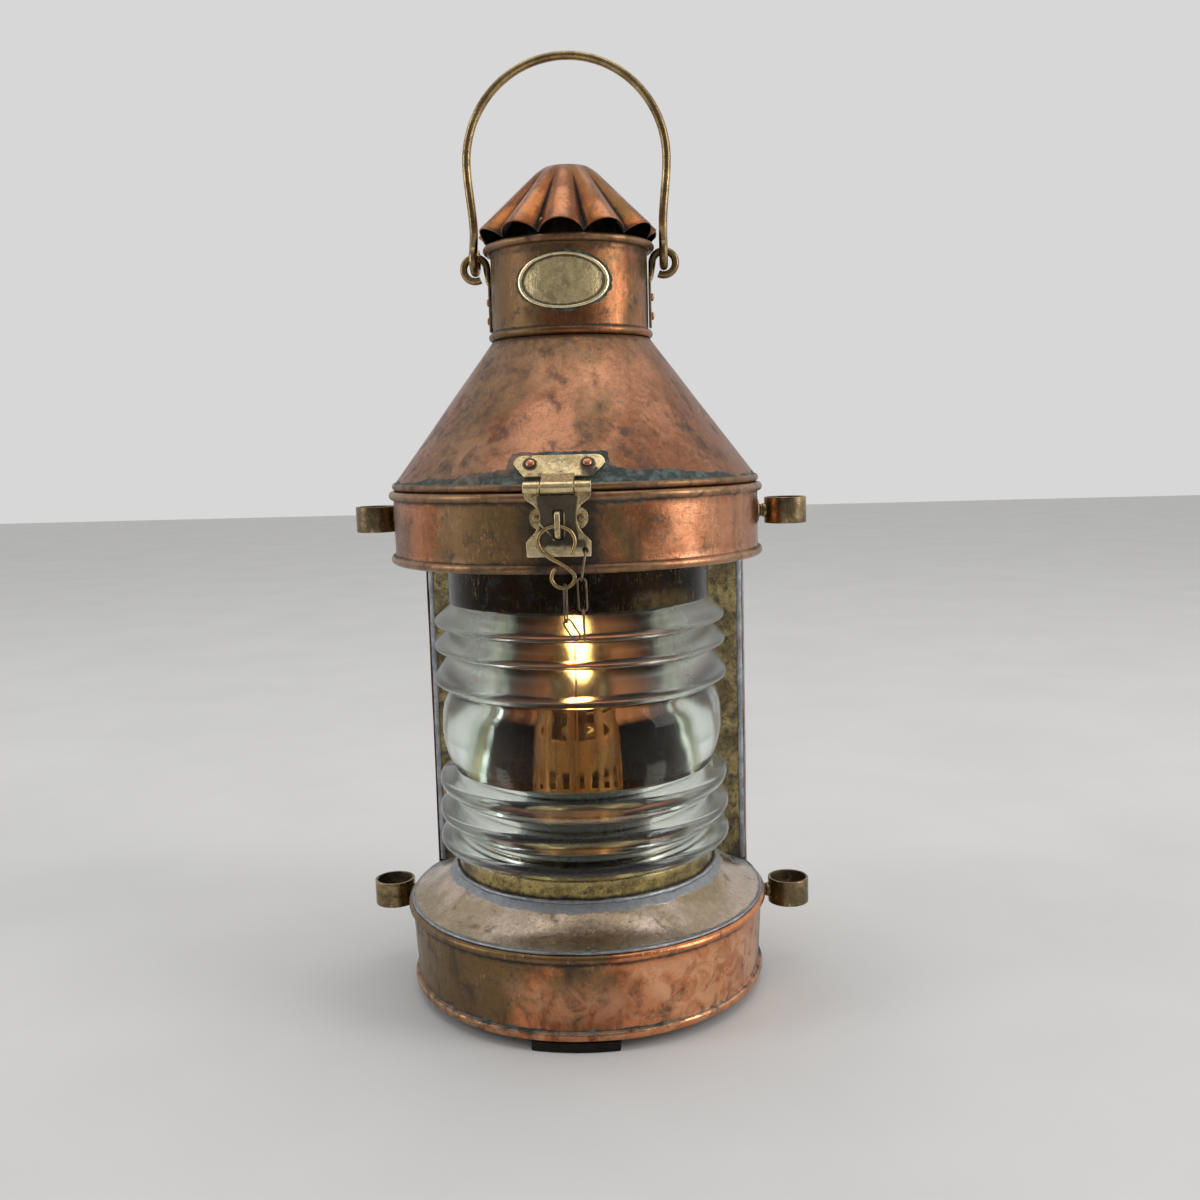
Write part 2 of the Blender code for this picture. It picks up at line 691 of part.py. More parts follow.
def make_chimney():
    """The chimney: a copper tube with a bead below and a wired rim above."""
    inner = CHIMNEY_RADIUS - SHEET
    outline = [(inner, chimney_top - RIM_RADIUS), (rim_centre - RIM_RADIUS, rim_height)]
    outline += arc(rim_centre, rim_height, RIM_RADIUS, 150, -130, 7)
    outline += [(CHIMNEY_RADIUS, rim_height - 2 * RIM_RADIUS)]
    outline += bead(CHIMNEY_RADIUS, chimney_bottom + CHIMNEY_BEAD_RADIUS, CHIMNEY_BEAD_RADIUS)
    outline += [(inner, chimney_bottom)]
    finish(turned("chimney", outline, FINE_STEPS), "copper")


def make_cap():
    """The fluted cap: a turned cone whose skirt is drawn into arches."""
    seat = chimney_top + GAP + CAP_SHEET
    crown = chimney_top + CAP_TOP_HEIGHT
    bm = bmesh.new()
    profile = [(0.0, crown + CAP_CROWN)]
    for row in range(CAP_ROWS + 1):
        share = row / CAP_ROWS
        profile.append((CAP_TOP_RADIUS + (cap_valley - CAP_TOP_RADIUS) * share,
                        crown + (seat - crown) * share))
    chain = [bm.verts.new((r, 0.0, z)) for r, z in profile]
    edges = [bm.edges.new(pair) for pair in zip(chain, chain[1:])]
    bmesh.ops.spin(bm, geom=chain + edges, cent=(0, 0, 0), axis=(0, 0, 1), dvec=(0, 0, 0),
                   angle=TAU, steps=FLUTES * FLUTE_STEPS, use_merge=True)
    bmesh.ops.remove_doubles(bm, verts=bm.verts, dist=GAP / 10)
    spread = cap_crest - cap_valley
    for vertex in bm.verts:
        radius = math.hypot(vertex.co.x, vertex.co.y)
        share = (radius - CAP_TOP_RADIUS) / (cap_valley - CAP_TOP_RADIUS)
        if share <= 0:
            continue
        azimuth = math.atan2(vertex.co.x, -vertex.co.y)
        arch = abs(math.cos(azimuth * FLUTES / 2)) ** CAP_ARCH_POWER
        grown = radius + spread * arch * share
        vertex.co.x *= grown / radius
        vertex.co.y *= grown / radius
        vertex.co.z += CAP_CREST_LIFT * arch * share
    cap = to_mesh("fluted_cap", bm)
    solid = cap.modifiers.new("sheet", "SOLIDIFY")
    solid.thickness = CAP_SHEET
    solid.offset = -1.0
    finish(cap, "copper")


def make_nameplate():
    """The blank oval plate with a raised rim, bent round the chimney."""
    bm = bmesh.new()
    profile = [bm.verts.new((share, 0.0, PLATE_RIM * lift))
               for share, lift in zip(plate_ring_shares, plate_lift_shares)]
    edges = [bm.edges.new(pair) for pair in zip(profile, profile[1:])]
    bmesh.ops.spin(bm, geom=profile + edges, cent=(0, 0, 0), axis=(0, 0, 1), dvec=(0, 0, 0),
                   angle=TAU, steps=PLATE_SEGMENTS, use_merge=True)
    bmesh.ops.remove_doubles(bm, verts=bm.verts, dist=GAP / 10)
    seat = CHIMNEY_RADIUS + GAP + PLATE_THICKNESS
    centre = chimney_bottom + PLATE_CENTRE_HEIGHT
    for vertex in bm.verts:
        along, up, lift = vertex.co
        azimuth = along * PLATE_LENGTH / 2 / seat
        vertex.co = wall_point(seat + lift, azimuth, centre + up * PLATE_WIDTH / 2)
    plate = to_mesh("nameplate", bm)
    if plate.data.polygons[0].normal.y > 0:
        plate.data.flip_normals()
    solid = plate.modifiers.new("sheet", "SOLIDIFY")
    solid.thickness = PLATE_THICKNESS
    solid.offset = -1.0
    finish(plate, "brass")


def lug_sections(side):
    """Sections along a lug, from its foot up and round the eye."""
    foot_x = CHIMNEY_RADIUS + GAP + LUG_FOOT_THICKNESS / 2
    foot = chimney_bottom + LUG_FOOT_HEIGHT
    bend = chimney_bottom + LUG_BEND_HEIGHT
    riser = eye_offset - EYE_RADIUS
    track = [(foot_x, foot, 1.0), (foot_x, bend, 1.0),
             (foot_x + (riser - foot_x) / 2, (bend + eye_height) / 2 - EYE_WIRE, 0.5)]
    for i in range(19):
        # Over the top and round, ending just short of the riser
        angle = math.radians(180 - i * 16.5)
        track.append((eye_offset + EYE_RADIUS * math.cos(angle),
                      eye_height + EYE_RADIUS * math.sin(angle), 0.0))
    sections = []
    for i, (x, z, flat) in enumerate(track):
        before = Vector(track[max(i - 1, 0)][:2])
        after = Vector(track[min(i + 1, len(track) - 1)][:2])
        heading = (after - before).normalized()
        across = Vector((heading.y, -heading.x))
        half_width = EYE_WIRE + (LUG_WIDTH / 2 - EYE_WIRE) * flat
        half_depth = EYE_WIRE + (LUG_FOOT_THICKNESS / 2 - EYE_WIRE) * flat
        ring = []
        for k in range(10):
            angle = TAU * k / 10
            depth = math.copysign(abs(math.cos(angle)) ** (1 - 0.6 * flat), math.cos(angle))
            width = math.copysign(abs(math.sin(angle)) ** (1 - 0.6 * flat), math.sin(angle))
            ring.append((side * (x + across.x * half_depth * depth), half_width * width,
                         z + across.y * half_depth * depth))
        sections.append(ring)
    return sections


def make_lug(side, name):
    """A bail lug: a strap on the chimney whose end is curled into an eye."""
    bm = bmesh.new()
    rings = [[bm.verts.new(point) for point in ring] for ring in lug_sections(side)]
    for ring, following in zip(rings, rings[1:]):
        for k in range(len(ring)):
            j = (k + 1) % len(ring)
            bm.faces.new((ring[k], ring[j], following[j], following[k]))
    bm.faces.new(rings[0])
    bm.faces.new(rings[-1])
    lug = to_mesh(name, bm)
    finish(lug, "brass")
    face = side * (CHIMNEY_RADIUS + GAP + LUG_FOOT_THICKNESS + GAP)
    for level, where in ((0.25, "lower"), (0.66, "upper")):
        height = chimney_bottom + LUG_FOOT_HEIGHT + (LUG_BEND_HEIGHT - LUG_FOOT_HEIGHT) * level
        rivet(name + "_rivet_" + where, (face, 0, height), (side, 0, 0), "copper")


def bail_end(side):
    """The ring at a bail's end, from its tip round to where the wire rises."""
    points = []
    for i in range(21):
        angle = math.radians(415 - (415 - 132) * i / 20)
        points.append(Vector((side * eye_offset, BAIL_RING_RADIUS * math.cos(angle),
                              bail_axis + BAIL_RING_RADIUS * math.sin(angle))))
    return points


def make_bail():
    """The bail: a brass rod bent to an arch, with a ring through each lug's eye."""
    spring = bail_axis + BAIL_SPRING_HEIGHT
    neck = bail_axis + BAIL_NECK
    arch = []
    for i in range(1, 4):
        share = i / 4
        ease = share * share * (3 - 2 * share)
        arch.append(Vector((eye_offset + (bail_half_width - eye_offset) * ease, 0,
                            neck + (spring - neck) * share)))
    for i in range(19):
        angle = math.pi * i / 18
        arch.append(Vector((bail_half_width * math.cos(angle), 0,
                            spring + bail_half_width * math.sin(angle))))
    arch += [Vector((-p.x, p.y, p.z)) for p in arch[:3][::-1]]
    right = bail_end(1)
    left = bail_end(-1)[::-1]
    bends = smooth_path([right[-2], right[-1], Vector((eye_offset, 0, neck)), arch[0]], 4)
    rise = bends[5:-4]
    fall = [Vector((-p.x, p.y, p.z)) for p in rise[::-1]]
    bail = wire("bail", right + rise + arch + fall + left, BAIL_WIRE)
    finish(bail, "brass")


def make_latch_plate():
    """The plate on the cone that carries the hasp, bent round the cone."""
    down, out = cone_slope()
    columns = 12
    rows = 6
    bm = bmesh.new()
    bmesh.ops.create_grid(bm, x_segments=columns, y_segments=rows, size=1)
    low_radius, low_height = cone_point(1.0)
    start = BARREL_RADIUS * 1.1
    for vertex in bm.verts:
        across = vertex.co.x
        up = (vertex.co.y + 1) / 2
        corner = max(0.0, (up - 0.62) / 0.38)
        half = LATCH_PLATE_WIDTH / 2 * (0.74 + 0.26 * min(1.0, up / 0.62))
        half *= 1 - 0.22 * (1 - math.sqrt(max(0.0, 1 - corner * corner)))
        along = start + LATCH_PLATE_LENGTH * up
        stand = GAP
        radius = low_radius - down[0] * along + out[0] * stand
        height = low_height - down[1] * along + out[1] * stand
        vertex.co = wall_point(radius, across * half / radius, height)
    plate = to_mesh("latch_plate", bm, smooth=False)
    if plate.data.polygons[0].normal.z < 0:
        plate.data.flip_normals()
    solid = plate.modifiers.new("sheet", "SOLIDIFY")
    solid.thickness = LATCH_PLATE_THICKNESS
    solid.offset = 1.0

    half_knuckle = BARREL_LENGTH * MIDDLE_KNUCKLE_SHARE / 2
    tongue_start = (barrel_y + PIN_RADIUS / 2, barrel_height + BARREL_RADIUS - SHEET)
    along = start + LATCH_PLATE_LENGTH * 0.2
    stand = GAP + LATCH_PLATE_THICKNESS * 0.55
    tongue_end = (-(low_radius - down[0] * along + out[0] * stand),
                  low_height - down[1] * along + out[1] * stand)
    tongue = strip("latch_tongue", [tongue_start, tongue_end], half_knuckle,
                   LATCH_PLATE_THICKNESS, cutters)
    knuckle = tube_along_x("latch_knuckle", BARREL_RADIUS, PIN_RADIUS + PLAY, -half_knuckle,
                           half_knuckle, barrel_y, barrel_height, cutters)
    combine(plate, tongue, "UNION")
    combine(plate, knuckle, "UNION")
    finish(plate, "brass")

    level = start + LATCH_PLATE_LENGTH * 0.6
    stand = GAP + LATCH_PLATE_THICKNESS + GAP
    radius = low_radius - down[0] * level + out[0] * stand
    height = low_height - down[1] * level + out[1] * stand
    for side, name in ((-1, "latch_rivet_left"), (1, "latch_rivet_right")):
        azimuth = side * (LATCH_PLATE_WIDTH / 2 - LATCH_RIVET_MARGIN) / radius
        direction = wall_point(out[0], azimuth, out[1])
        rivet(name, wall_point(radius, azimuth, height), direction, "copper")


def hasp_outline():
    """The hasp's edge in (x, z), with a notch for the middle knuckle."""
    notch = BARREL_LENGTH * MIDDLE_KNUCKLE_SHARE / 2 + PLAY
    notch_height = barrel_height - BARREL_RADIUS - PLAY
    top = barrel_height - PIN_RADIUS - 2 * PLAY
    side = BARREL_LENGTH / 2
    right = [(notch, notch_height), (notch, top), (side, top)]
    for drop, width in hasp_shares:
        right.append((HASP_HALF_WIDTH * width, barrel_height - HASP_LENGTH * drop))
    return right + [(-x, z) for x, z in right[::-1]]


def slot_outline():
    """The slot for the staple's eye, rounded at its ends."""
    half = SLOT_WIDTH / 2
    top = barrel_height - SLOT_DROP
    bottom = top - SLOT_HEIGHT
    rounding = half * 0.6
    points = []
    for cx, cz, start in ((half - rounding, top - rounding, 0),
                          (-half + rounding, top - rounding, 90),
                          (-half + rounding, bottom + rounding, 180),
                          (half - rounding, bottom + rounding, 270)):
        points += arc(cx, cz, rounding, start, start + 90, 2)
    return points


def chain_hole():
    """Centre of the hole in the hasp's corner that holds the chain."""
    return HASP_HALF_WIDTH * 0.80, barrel_height - HASP_LENGTH * 0.905


def chain_pivot():
    """Middle of the metal between that hole and the hasp's lower edge."""
    hole_x, hole_z = chain_hole()
    edge = barrel_height - HASP_LENGTH
    return Vector((hole_x, (hasp_back + hasp_front) / 2,
                   (hole_z - CHAIN_HOLE_RADIUS + edge) / 2))


def make_hasp():
    """The hasp, its pin, the staple's eye in its slot and the keeper behind it."""
    hole_x, hole_z = chain_hole()
    hole = [(hole_x + CHAIN_HOLE_RADIUS * math.cos(TAU * i / 10),
             hole_z + CHAIN_HOLE_RADIUS * math.sin(TAU * i / 10)) for i in range(10)]
    upright = Matrix(((1, 0, 0, 0), (0, 0, 1, (hasp_back + hasp_front) / 2), (0, 1, 0, 0),
                      (0, 0, 0, 1)))
    plate = as_mesh(flat_plate("hasp", [hasp_outline(), slot_outline(), hole], HASP_THICKNESS,
                               upright))
    inner = BARREL_LENGTH * MIDDLE_KNUCKLE_SHARE / 2 + PLAY
    outer = BARREL_LENGTH / 2
    for start, end, name in ((-outer, -inner, "left"), (inner, outer, "right")):
        knuckle = tube_along_x("hasp_knuckle_" + name, BARREL_RADIUS, PIN_RADIUS + PLAY, start,
                               end, barrel_y, barrel_height, cutters)
        combine(plate, knuckle, "UNION")
    finish(plate, "brass")

    pin = cylinder("hasp_pin", PIN_RADIUS, BARREL_LENGTH, (0, barrel_y, barrel_height),
                   (1, 0, 0))
    finish(pin, "steel_wire")

    top = barrel_height - SLOT_DROP - STRIP_THICKNESS
    bottom = top - SLOT_HEIGHT + 2 * STRIP_THICKNESS
    back = hasp_back + GAP + BACKING_THICKNESS / 2
    nose = hasp_front - EYE_REACH + STRIP_THICKNESS / 2
    bend = EYE_REACH * 0.4
    path = [(back, top), (nose + bend, top), (nose + bend * 0.3, top - bend * 0.3),
            (nose, top - bend), (nose, bottom + bend), (nose + bend * 0.3, bottom + bend * 0.3),
            (nose + bend, bottom), (back, bottom)]
    eye = strip("staple_eye", path, STRIP_WIDTH / 2, STRIP_THICKNESS)
    backing = block("staple_backing", (SLOT_WIDTH * 1.6, BACKING_THICKNESS, SLOT_HEIGHT * 1.12),
                    (0, hasp_back + GAP + BACKING_THICKNESS / 2, (top + bottom) / 2), cutters)
    combine(eye, backing, "UNION")
    finish(eye, "brass")


def make_keeper():
    """The keeper plate on the drum behind the hasp, with a rivet at each end."""
    columns = 8
    seat = drum_radius + GAP
    centre = barrel_height - SLOT_DROP - SLOT_HEIGHT / 2 + KEEPER_HEIGHT / 4
    bm = bmesh.new()
    bmesh.ops.create_grid(bm, x_segments=columns, y_segments=3, size=1)
    for vertex in bm.verts:
        across, up = vertex.co.x, vertex.co.y
        half = KEEPER_WIDTH / 2 * (1 - 0.12 * up * up)
        vertex.co = wall_point(seat, across * half / seat, centre + up * KEEPER_HEIGHT / 2)
    plate = to_mesh("keeper_plate", bm, smooth=False)
    if plate.data.polygons[0].normal.y > 0:
        plate.data.flip_normals()
    solid = plate.modifiers.new("sheet", "SOLIDIFY")
    solid.thickness = KEEPER_THICKNESS
    solid.offset = 1.0
    finish(plate, "brass")
    radius = seat + KEEPER_THICKNESS + GAP
    for side, name in ((-1, "keeper_rivet_left"), (1, "keeper_rivet_right")):
        azimuth = side * (KEEPER_WIDTH / 2 - KEEPER_RIVET_MARGIN) / radius
        rivet(name, wall_point(radius, azimuth, centre), wall_point(1, azimuth, 0), "copper",
              RIVET_RADIUS * 0.9, RIVET_HEIGHT * 0.5)


def hook_points():
    """The pin hook's wire: a large open loop above a small one."""
    top = barrel_height - SLOT_DROP - SLOT_HEIGHT * 0.56
    return [Vector((x * HOOK_HEIGHT, hook_plane, top - z * HOOK_HEIGHT))
            for x, z in hook_shares]


def link(name, start, end, turn):
    """A long wire link between two points, turned about its own length."""
    start = Vector(start)
    end = Vector(end)
    along = (end - start).normalized()
    side = along.cross(Vector((0, 1, 0))).normalized()
    across = Matrix.Rotation(turn, 3, along) @ side
    reach = LINK_WIRE + GAP / 2
    centre_a = start - along * (reach - LINK_HALF_WIDTH)
    centre_b = end + along * (reach - LINK_HALF_WIDTH)
    points = []
    for i in range(6):
        angle = math.pi * i / 5
        points.append(centre_a + across * LINK_HALF_WIDTH * math.cos(angle)
                      - along * LINK_HALF_WIDTH * math.sin(angle))
    for i in range(6):
        angle = math.pi * i / 5
        points.append(centre_b - across * LINK_HALF_WIDTH * math.cos(angle)
                      + along * LINK_HALF_WIDTH * math.sin(angle))
    ring = wire(name, points, LINK_WIRE, closed=True, resolution=1)
    finish(ring, "steel_wire")


def make_hook_and_chain():
    """The pin hook through the staple's eye and the chain that keeps it."""
    hook = wire("pin_hook", smooth_path(hook_points(), 2), HOOK_WIRE)
    finish(hook, "brass")
    route = hook_points()
    foot = min(route, key=lambda point: point.z)
    drop = HOOK_WIRE + LINK_WIRE
    joints = [Vector((foot.x + x * HOOK_HEIGHT, hook_plane,
                      foot.z - z * HOOK_HEIGHT)) for x, z in hook_run_shares]
    link("chain_link_1", joints[0] + Vector((0, 0, HOOK_WIRE + GAP)), joints[1],
         math.radians(66))
    link("chain_link_2", joints[1], joints[2], math.radians(-24))
    forward = hook_plane - drop
    joints = [Vector((foot.x + x * HOOK_HEIGHT, forward, foot.z - z * HOOK_HEIGHT))
              for x, z in hasp_run_shares]
    top = chain_pivot() + (chain_pivot() - joints[2]).normalized() * LINK_HALF_WIDTH
    top -= (chain_pivot() - joints[2]).normalized() * (LINK_WIRE + GAP / 2)
    link("chain_link_3", joints[0], joints[1], math.radians(90))
    link("chain_link_4", joints[1], joints[2], math.radians(0))
    link("chain_link_5", joints[2], top, math.radians(90))


def hinge_side(name, lift, leaf, knuckles, kind):
    """A leaf of the rear hinge with its knuckles, joined to one solid."""
    body = strip(name, leaf, HINGE_LENGTH / 2, HINGE_LEAF_THICKNESS)
    for i, (start, end) in enumerate(knuckles):
        tail_start = (hinge_y - HINGE_KNUCKLE + HINGE_LEAF_THICKNESS / 2, hinge_height)
        tail = strip("%s_tail_%d" % (name, i), [tail_start, leaf[0], leaf[1]],
                     (end - start) / 2, HINGE_LEAF_THICKNESS * 0.98, cutters)
        tail.location.x = (start + end) / 2
        knuckle = tube_along_x("%s_knuckle_%d" % (name, i), HINGE_KNUCKLE, PIN_RADIUS + PLAY,
                               start, end, hinge_y, hinge_height, cutters)
        combine(body, tail, "UNION")
        combine(body, knuckle, "UNION")
        bore = cylinder("%s_bore_%d" % (name, i), PIN_RADIUS + PLAY, HINGE_LENGTH * 1.5,
                        (0, hinge_y, hinge_height), (1, 0, 0), collection=cutters)
        combine(body, bore, "DIFFERENCE")
    finish(body, kind)


def make_rear_hinge():
    """The hinge behind the lid: a leaf on the drum, one on the cone, and a pin."""
    down, out = cone_slope()
    half = HINGE_LEAF_THICKNESS / 2
    stand = hinge_y - HINGE_KNUCKLE + half
    clear = HINGE_KNUCKLE + PLAY
    wall = drum_radius + GAP + half
    below_bead = drum_top - 2 * BEAD_RADIUS
    drum_leaf = [(stand, hinge_height - clear), (stand, below_bead - half),
                 (wall, below_bead - half - (stand - wall)),
                 (wall, hinge_height - HINGE_LEAF_REACH)]
    middle = HINGE_LENGTH * 0.5 / 2
    edge = HINGE_LENGTH / 2
    hinge_side("drum_hinge_leaf", -1, drum_leaf,
               ((-edge, -middle), (middle, edge)), "aged_brass")

    low_radius, low_height = cone_point(1.0)
    cone_leaf = [(stand, hinge_height + clear)]
    for along in (0.36 * HINGE_LEAF_REACH, HINGE_LEAF_REACH):
        cone_leaf.append((low_radius - down[0] * along + out[0] * (GAP + half),
                          low_height - down[1] * along + out[1] * (GAP + half)))
    hinge_side("lid_hinge_leaf", 1, cone_leaf, ((-middle + PLAY, middle - PLAY),), "aged_brass")

    pin = cylinder("hinge_pin", PIN_RADIUS, HINGE_LENGTH, (0, hinge_y, hinge_height), (1, 0, 0))
    finish(pin, "steel_wire")

    spacing = HINGE_LENGTH * 0.3
    low = (hinge_height - HINGE_LEAF_REACH + below_bead) / 2 - half
    along = HINGE_LEAF_REACH * 0.7
    stand_out = 2 * GAP + HINGE_LEAF_THICKNESS
    cone_foot = (low_radius - down[0] * along + out[0] * stand_out,
                 low_height - down[1] * along + out[1] * stand_out)
    for side, where in ((-1, "left"), (1, "right")):
        x = side * spacing
        rivet("drum_hinge_rivet_" + where, (x, wall + half + GAP, low), (0, 1, 0), "copper",
              RIVET_RADIUS * 0.9)
        rivet("lid_hinge_rivet_" + where, (x, *cone_foot), (0, *out), "copper",
              RIVET_RADIUS * 0.9)


def make_mounting_rings():
    """Four socket rings, two on the drum and two on the base."""
    outer = SOCKET_RADIUS + SOCKET_WALL
    # A flange stays clear of the bead above it
    base_seat = min(lower_socket, base_top - 2 * BEAD_RADIUS - GAP - FLANGE_RADIUS)
    drum_seat = min(upper_socket, drum_top - 2 * BEAD_RADIUS - GAP - FLANGE_RADIUS)
    neck_top = lower_socket + NECK_BAR_RADIUS
    base_share = (max(base_seat + FLANGE_RADIUS, neck_top) - base_bottom) / BASE_HEIGHT
    base_wall = base_bottom_radius + (base_top_radius - base_bottom_radius) * base_share
    base_reach = drum_reach + SOCKET_REACH - BEAD_RADIUS
    for level, seat, wall, tag in ((upper_socket, drum_seat, drum_radius, "upper"),
                                   (lower_socket, base_seat, base_wall, "lower")):
        for side, hand in ((-1, "left"), (1, "right")):
            azimuth = side * SOCKET_AZIMUTH
            direction = wall_point(1, azimuth, 0)
            centre = wall_point(base_reach, azimuth, level)
            name = "mounting_ring_%s_%s" % (tag, hand)
            half = SOCKET_HEIGHT / 2
            ring = turned(name, [(outer, half), (outer, -half), (SOCKET_RADIUS, -half),
                                 (SOCKET_RADIUS, half)], 24)
            ring.location = centre
            foot = wall + GAP
            tip = base_reach - SOCKET_RADIUS - SOCKET_WALL / 2
            neck = cylinder(name + "_neck", NECK_BAR_RADIUS, tip - foot,
                            wall_point((foot + tip) / 2, azimuth, level), direction,
                            collection=cutters)
            flange = cylinder(name + "_flange", FLANGE_RADIUS, FLANGE_THICKNESS,
                              wall_point(foot + FLANGE_THICKNESS / 2, azimuth, seat),
                              direction, collection=cutters)
            combine(ring, neck, "UNION")
            combine(ring, flange, "UNION")
            finish(ring, "aged_brass")


def make_lamp():
    """The oil lamp inside: font, burner, gallery, wick tube, wick and knob."""
    bend = FONT_RADIUS / 4
    mouth = FONT_COLLAR_RADIUS - FONT_WALL
    inside = [(0.0, font_bottom + FONT_WALL), (FONT_RADIUS - FONT_WALL, font_bottom + FONT_WALL)]
    inside += arc(FONT_RADIUS - bend, font_top - bend, bend - FONT_WALL, 0, 90, 4)
    inside += [(mouth, font_top - FONT_WALL), (mouth, font_top + FONT_COLLAR_HEIGHT)]
    outside = [(FONT_COLLAR_RADIUS, font_top + FONT_COLLAR_HEIGHT),
               (FONT_COLLAR_RADIUS, font_top)]
    outside += arc(FONT_RADIUS - bend, font_top - bend, bend, 90, 0, 4)
    outside += [(FONT_RADIUS, font_bottom), (0.0, font_bottom)]
    finish(turned("font", inside + outside, FINE_STEPS, closed=False), "copper")

    tube_outer = WICK_WIDTH + 2 * (GAP + TUBE_WALL)
    tube_depth = WICK_THICKNESS + 2 * (GAP + TUBE_WALL)
    tube_bottom = burner_bottom + BURNER_HEIGHT * 0.1
    tube_top = tube_bottom + TUBE_HEIGHT
    burner = turned("burner_body", [
        (0.0, burner_top), (BURNER_RADIUS * 0.82, burner_top),
        (BURNER_RADIUS, burner_top - BURNER_HEIGHT * 0.16),
        (BURNER_RADIUS, burner_bottom + BURNER_HEIGHT * 0.3),
        (FONT_COLLAR_RADIUS, burner_bottom + BURNER_HEIGHT * 0.2),
        (FONT_COLLAR_RADIUS, burner_bottom), (0.0, burner_bottom)], FINE_STEPS, closed=False)
    way = block("burner_wick_way", (tube_outer + 2 * GAP, tube_depth + 2 * GAP,
                                    BURNER_HEIGHT + 2 * OVERRUN),
                (0, 0, (burner_bottom + burner_top) / 2), cutters)
    spindle_way = cylinder("burner_spindle_way", SPINDLE_RADIUS + PLAY, BURNER_RADIUS * 2,
                           (BURNER_RADIUS * 1.05, spindle_line, spindle_height), (1, 0, 0),
                           collection=cutters)
    combine(burner, way, "DIFFERENCE")
    combine(burner, spindle_way, "DIFFERENCE")
    finish(burner, "brass")

    tube = block("wick_tube", (tube_outer, tube_depth, TUBE_HEIGHT),
                 (0, 0, (tube_bottom + tube_top) / 2))
    bore = block("wick_tube_way", (WICK_WIDTH + 2 * GAP, WICK_THICKNESS + 2 * GAP,
                                   TUBE_HEIGHT + 2 * OVERRUN),
                 (0, 0, (tube_bottom + tube_top) / 2), cutters)
    combine(tube, bore, "DIFFERENCE")
    finish(tube, "brass")

    wick_top = tube_top + WICK_RISE
    wick = block("wick", (WICK_WIDTH, WICK_THICKNESS, WICK_DEPTH + WICK_RISE),
                 (0, 0, wick_top - (WICK_DEPTH + WICK_RISE) / 2))
    finish(wick, "wick_cotton")

    foot = burner_top + GAP
    rim = foot + GALLERY_HEIGHT
    gallery = turned("burner_gallery", [
        (GALLERY_RADIUS - GALLERY_WALL, rim), (GALLERY_RADIUS, rim),
        (GALLERY_RADIUS, foot), (BURNER_RADIUS * 0.8, foot),
        (BURNER_RADIUS * 0.8, foot + GALLERY_WALL),
        (GALLERY_RADIUS - GALLERY_WALL, foot + GALLERY_WALL)], 32)
    hole_height = foot + GALLERY_HEIGHT * 0.32
    for i in range(GALLERY_HOLES // 2):
        azimuth = math.pi * (i + 0.5) / (GALLERY_HOLES // 2)
        drill = cylinder("gallery_drill_%d" % i, GALLERY_HOLE_RADIUS,
                         2 * (GALLERY_RADIUS + OVERRUN), (0, 0, hole_height),
                         wall_point(1, azimuth, 0), 8, cutters)
        combine(gallery, drill, "DIFFERENCE")
    gap_width = TAU * GALLERY_RADIUS / GALLERY_PRONGS * 0.45
    for i in range(GALLERY_PRONGS // 2):
        azimuth = math.pi * i / (GALLERY_PRONGS // 2)
        notch = block("gallery_notch_%d" % i,
                      (gap_width, 2 * (GALLERY_RADIUS + OVERRUN), GALLERY_HEIGHT * 0.45),
                      (0, 0, rim), cutters)
        notch.rotation_euler.z = azimuth
        combine(gallery, notch, "DIFFERENCE")
    finish(gallery, "brass")

    spindle_start = BURNER_RADIUS * 0.2
    knob = cylinder("wick_knob", SPINDLE_RADIUS, SPINDLE_LENGTH,
                    (spindle_start + SPINDLE_LENGTH / 2, spindle_line, spindle_height), (1, 0, 0))
    disc = cylinder("knob_disc", KNOB_RADIUS, KNOB_THICKNESS,
                    (spindle_start + SPINDLE_LENGTH - KNOB_THICKNESS / 2, spindle_line,
                     spindle_height), (1, 0, 0), 2 * KNOB_NOTCHES, cutters)
    for vertex in disc.data.vertices:
        angle = math.atan2(vertex.co.y, vertex.co.x)
        if round(angle * KNOB_NOTCHES / math.pi) % 2:
            vertex.co.x *= 0.88
            vertex.co.y *= 0.88
    combine(knob, disc, "UNION")
    finish(knob, "brass")


def hang(name, place_at, names, parent=None):
    """Put an empty on a joint's axis and parent the pieces that move with it."""
    pivot = bpy.data.objects.new(name, None)
    pivot.empty_display_size = BARREL_LENGTH
    parts.objects.link(pivot)
    pivot.location = place_at
    if parent:
        pivot.parent = parent
        pivot.location = Vector(place_at) - parent_place(parent)
    bpy.context.view_layer.update()
    for piece_name in names:
        piece = parts.objects[piece_name]
        piece.parent = pivot
        piece.matrix_parent_inverse = pivot.matrix_world.inverted()
    return pivot


def parent_place(pivot):
    """Where a joint's empty stands in the world."""
    bpy.context.view_layer.update()
    return pivot.matrix_world.translation.copy()


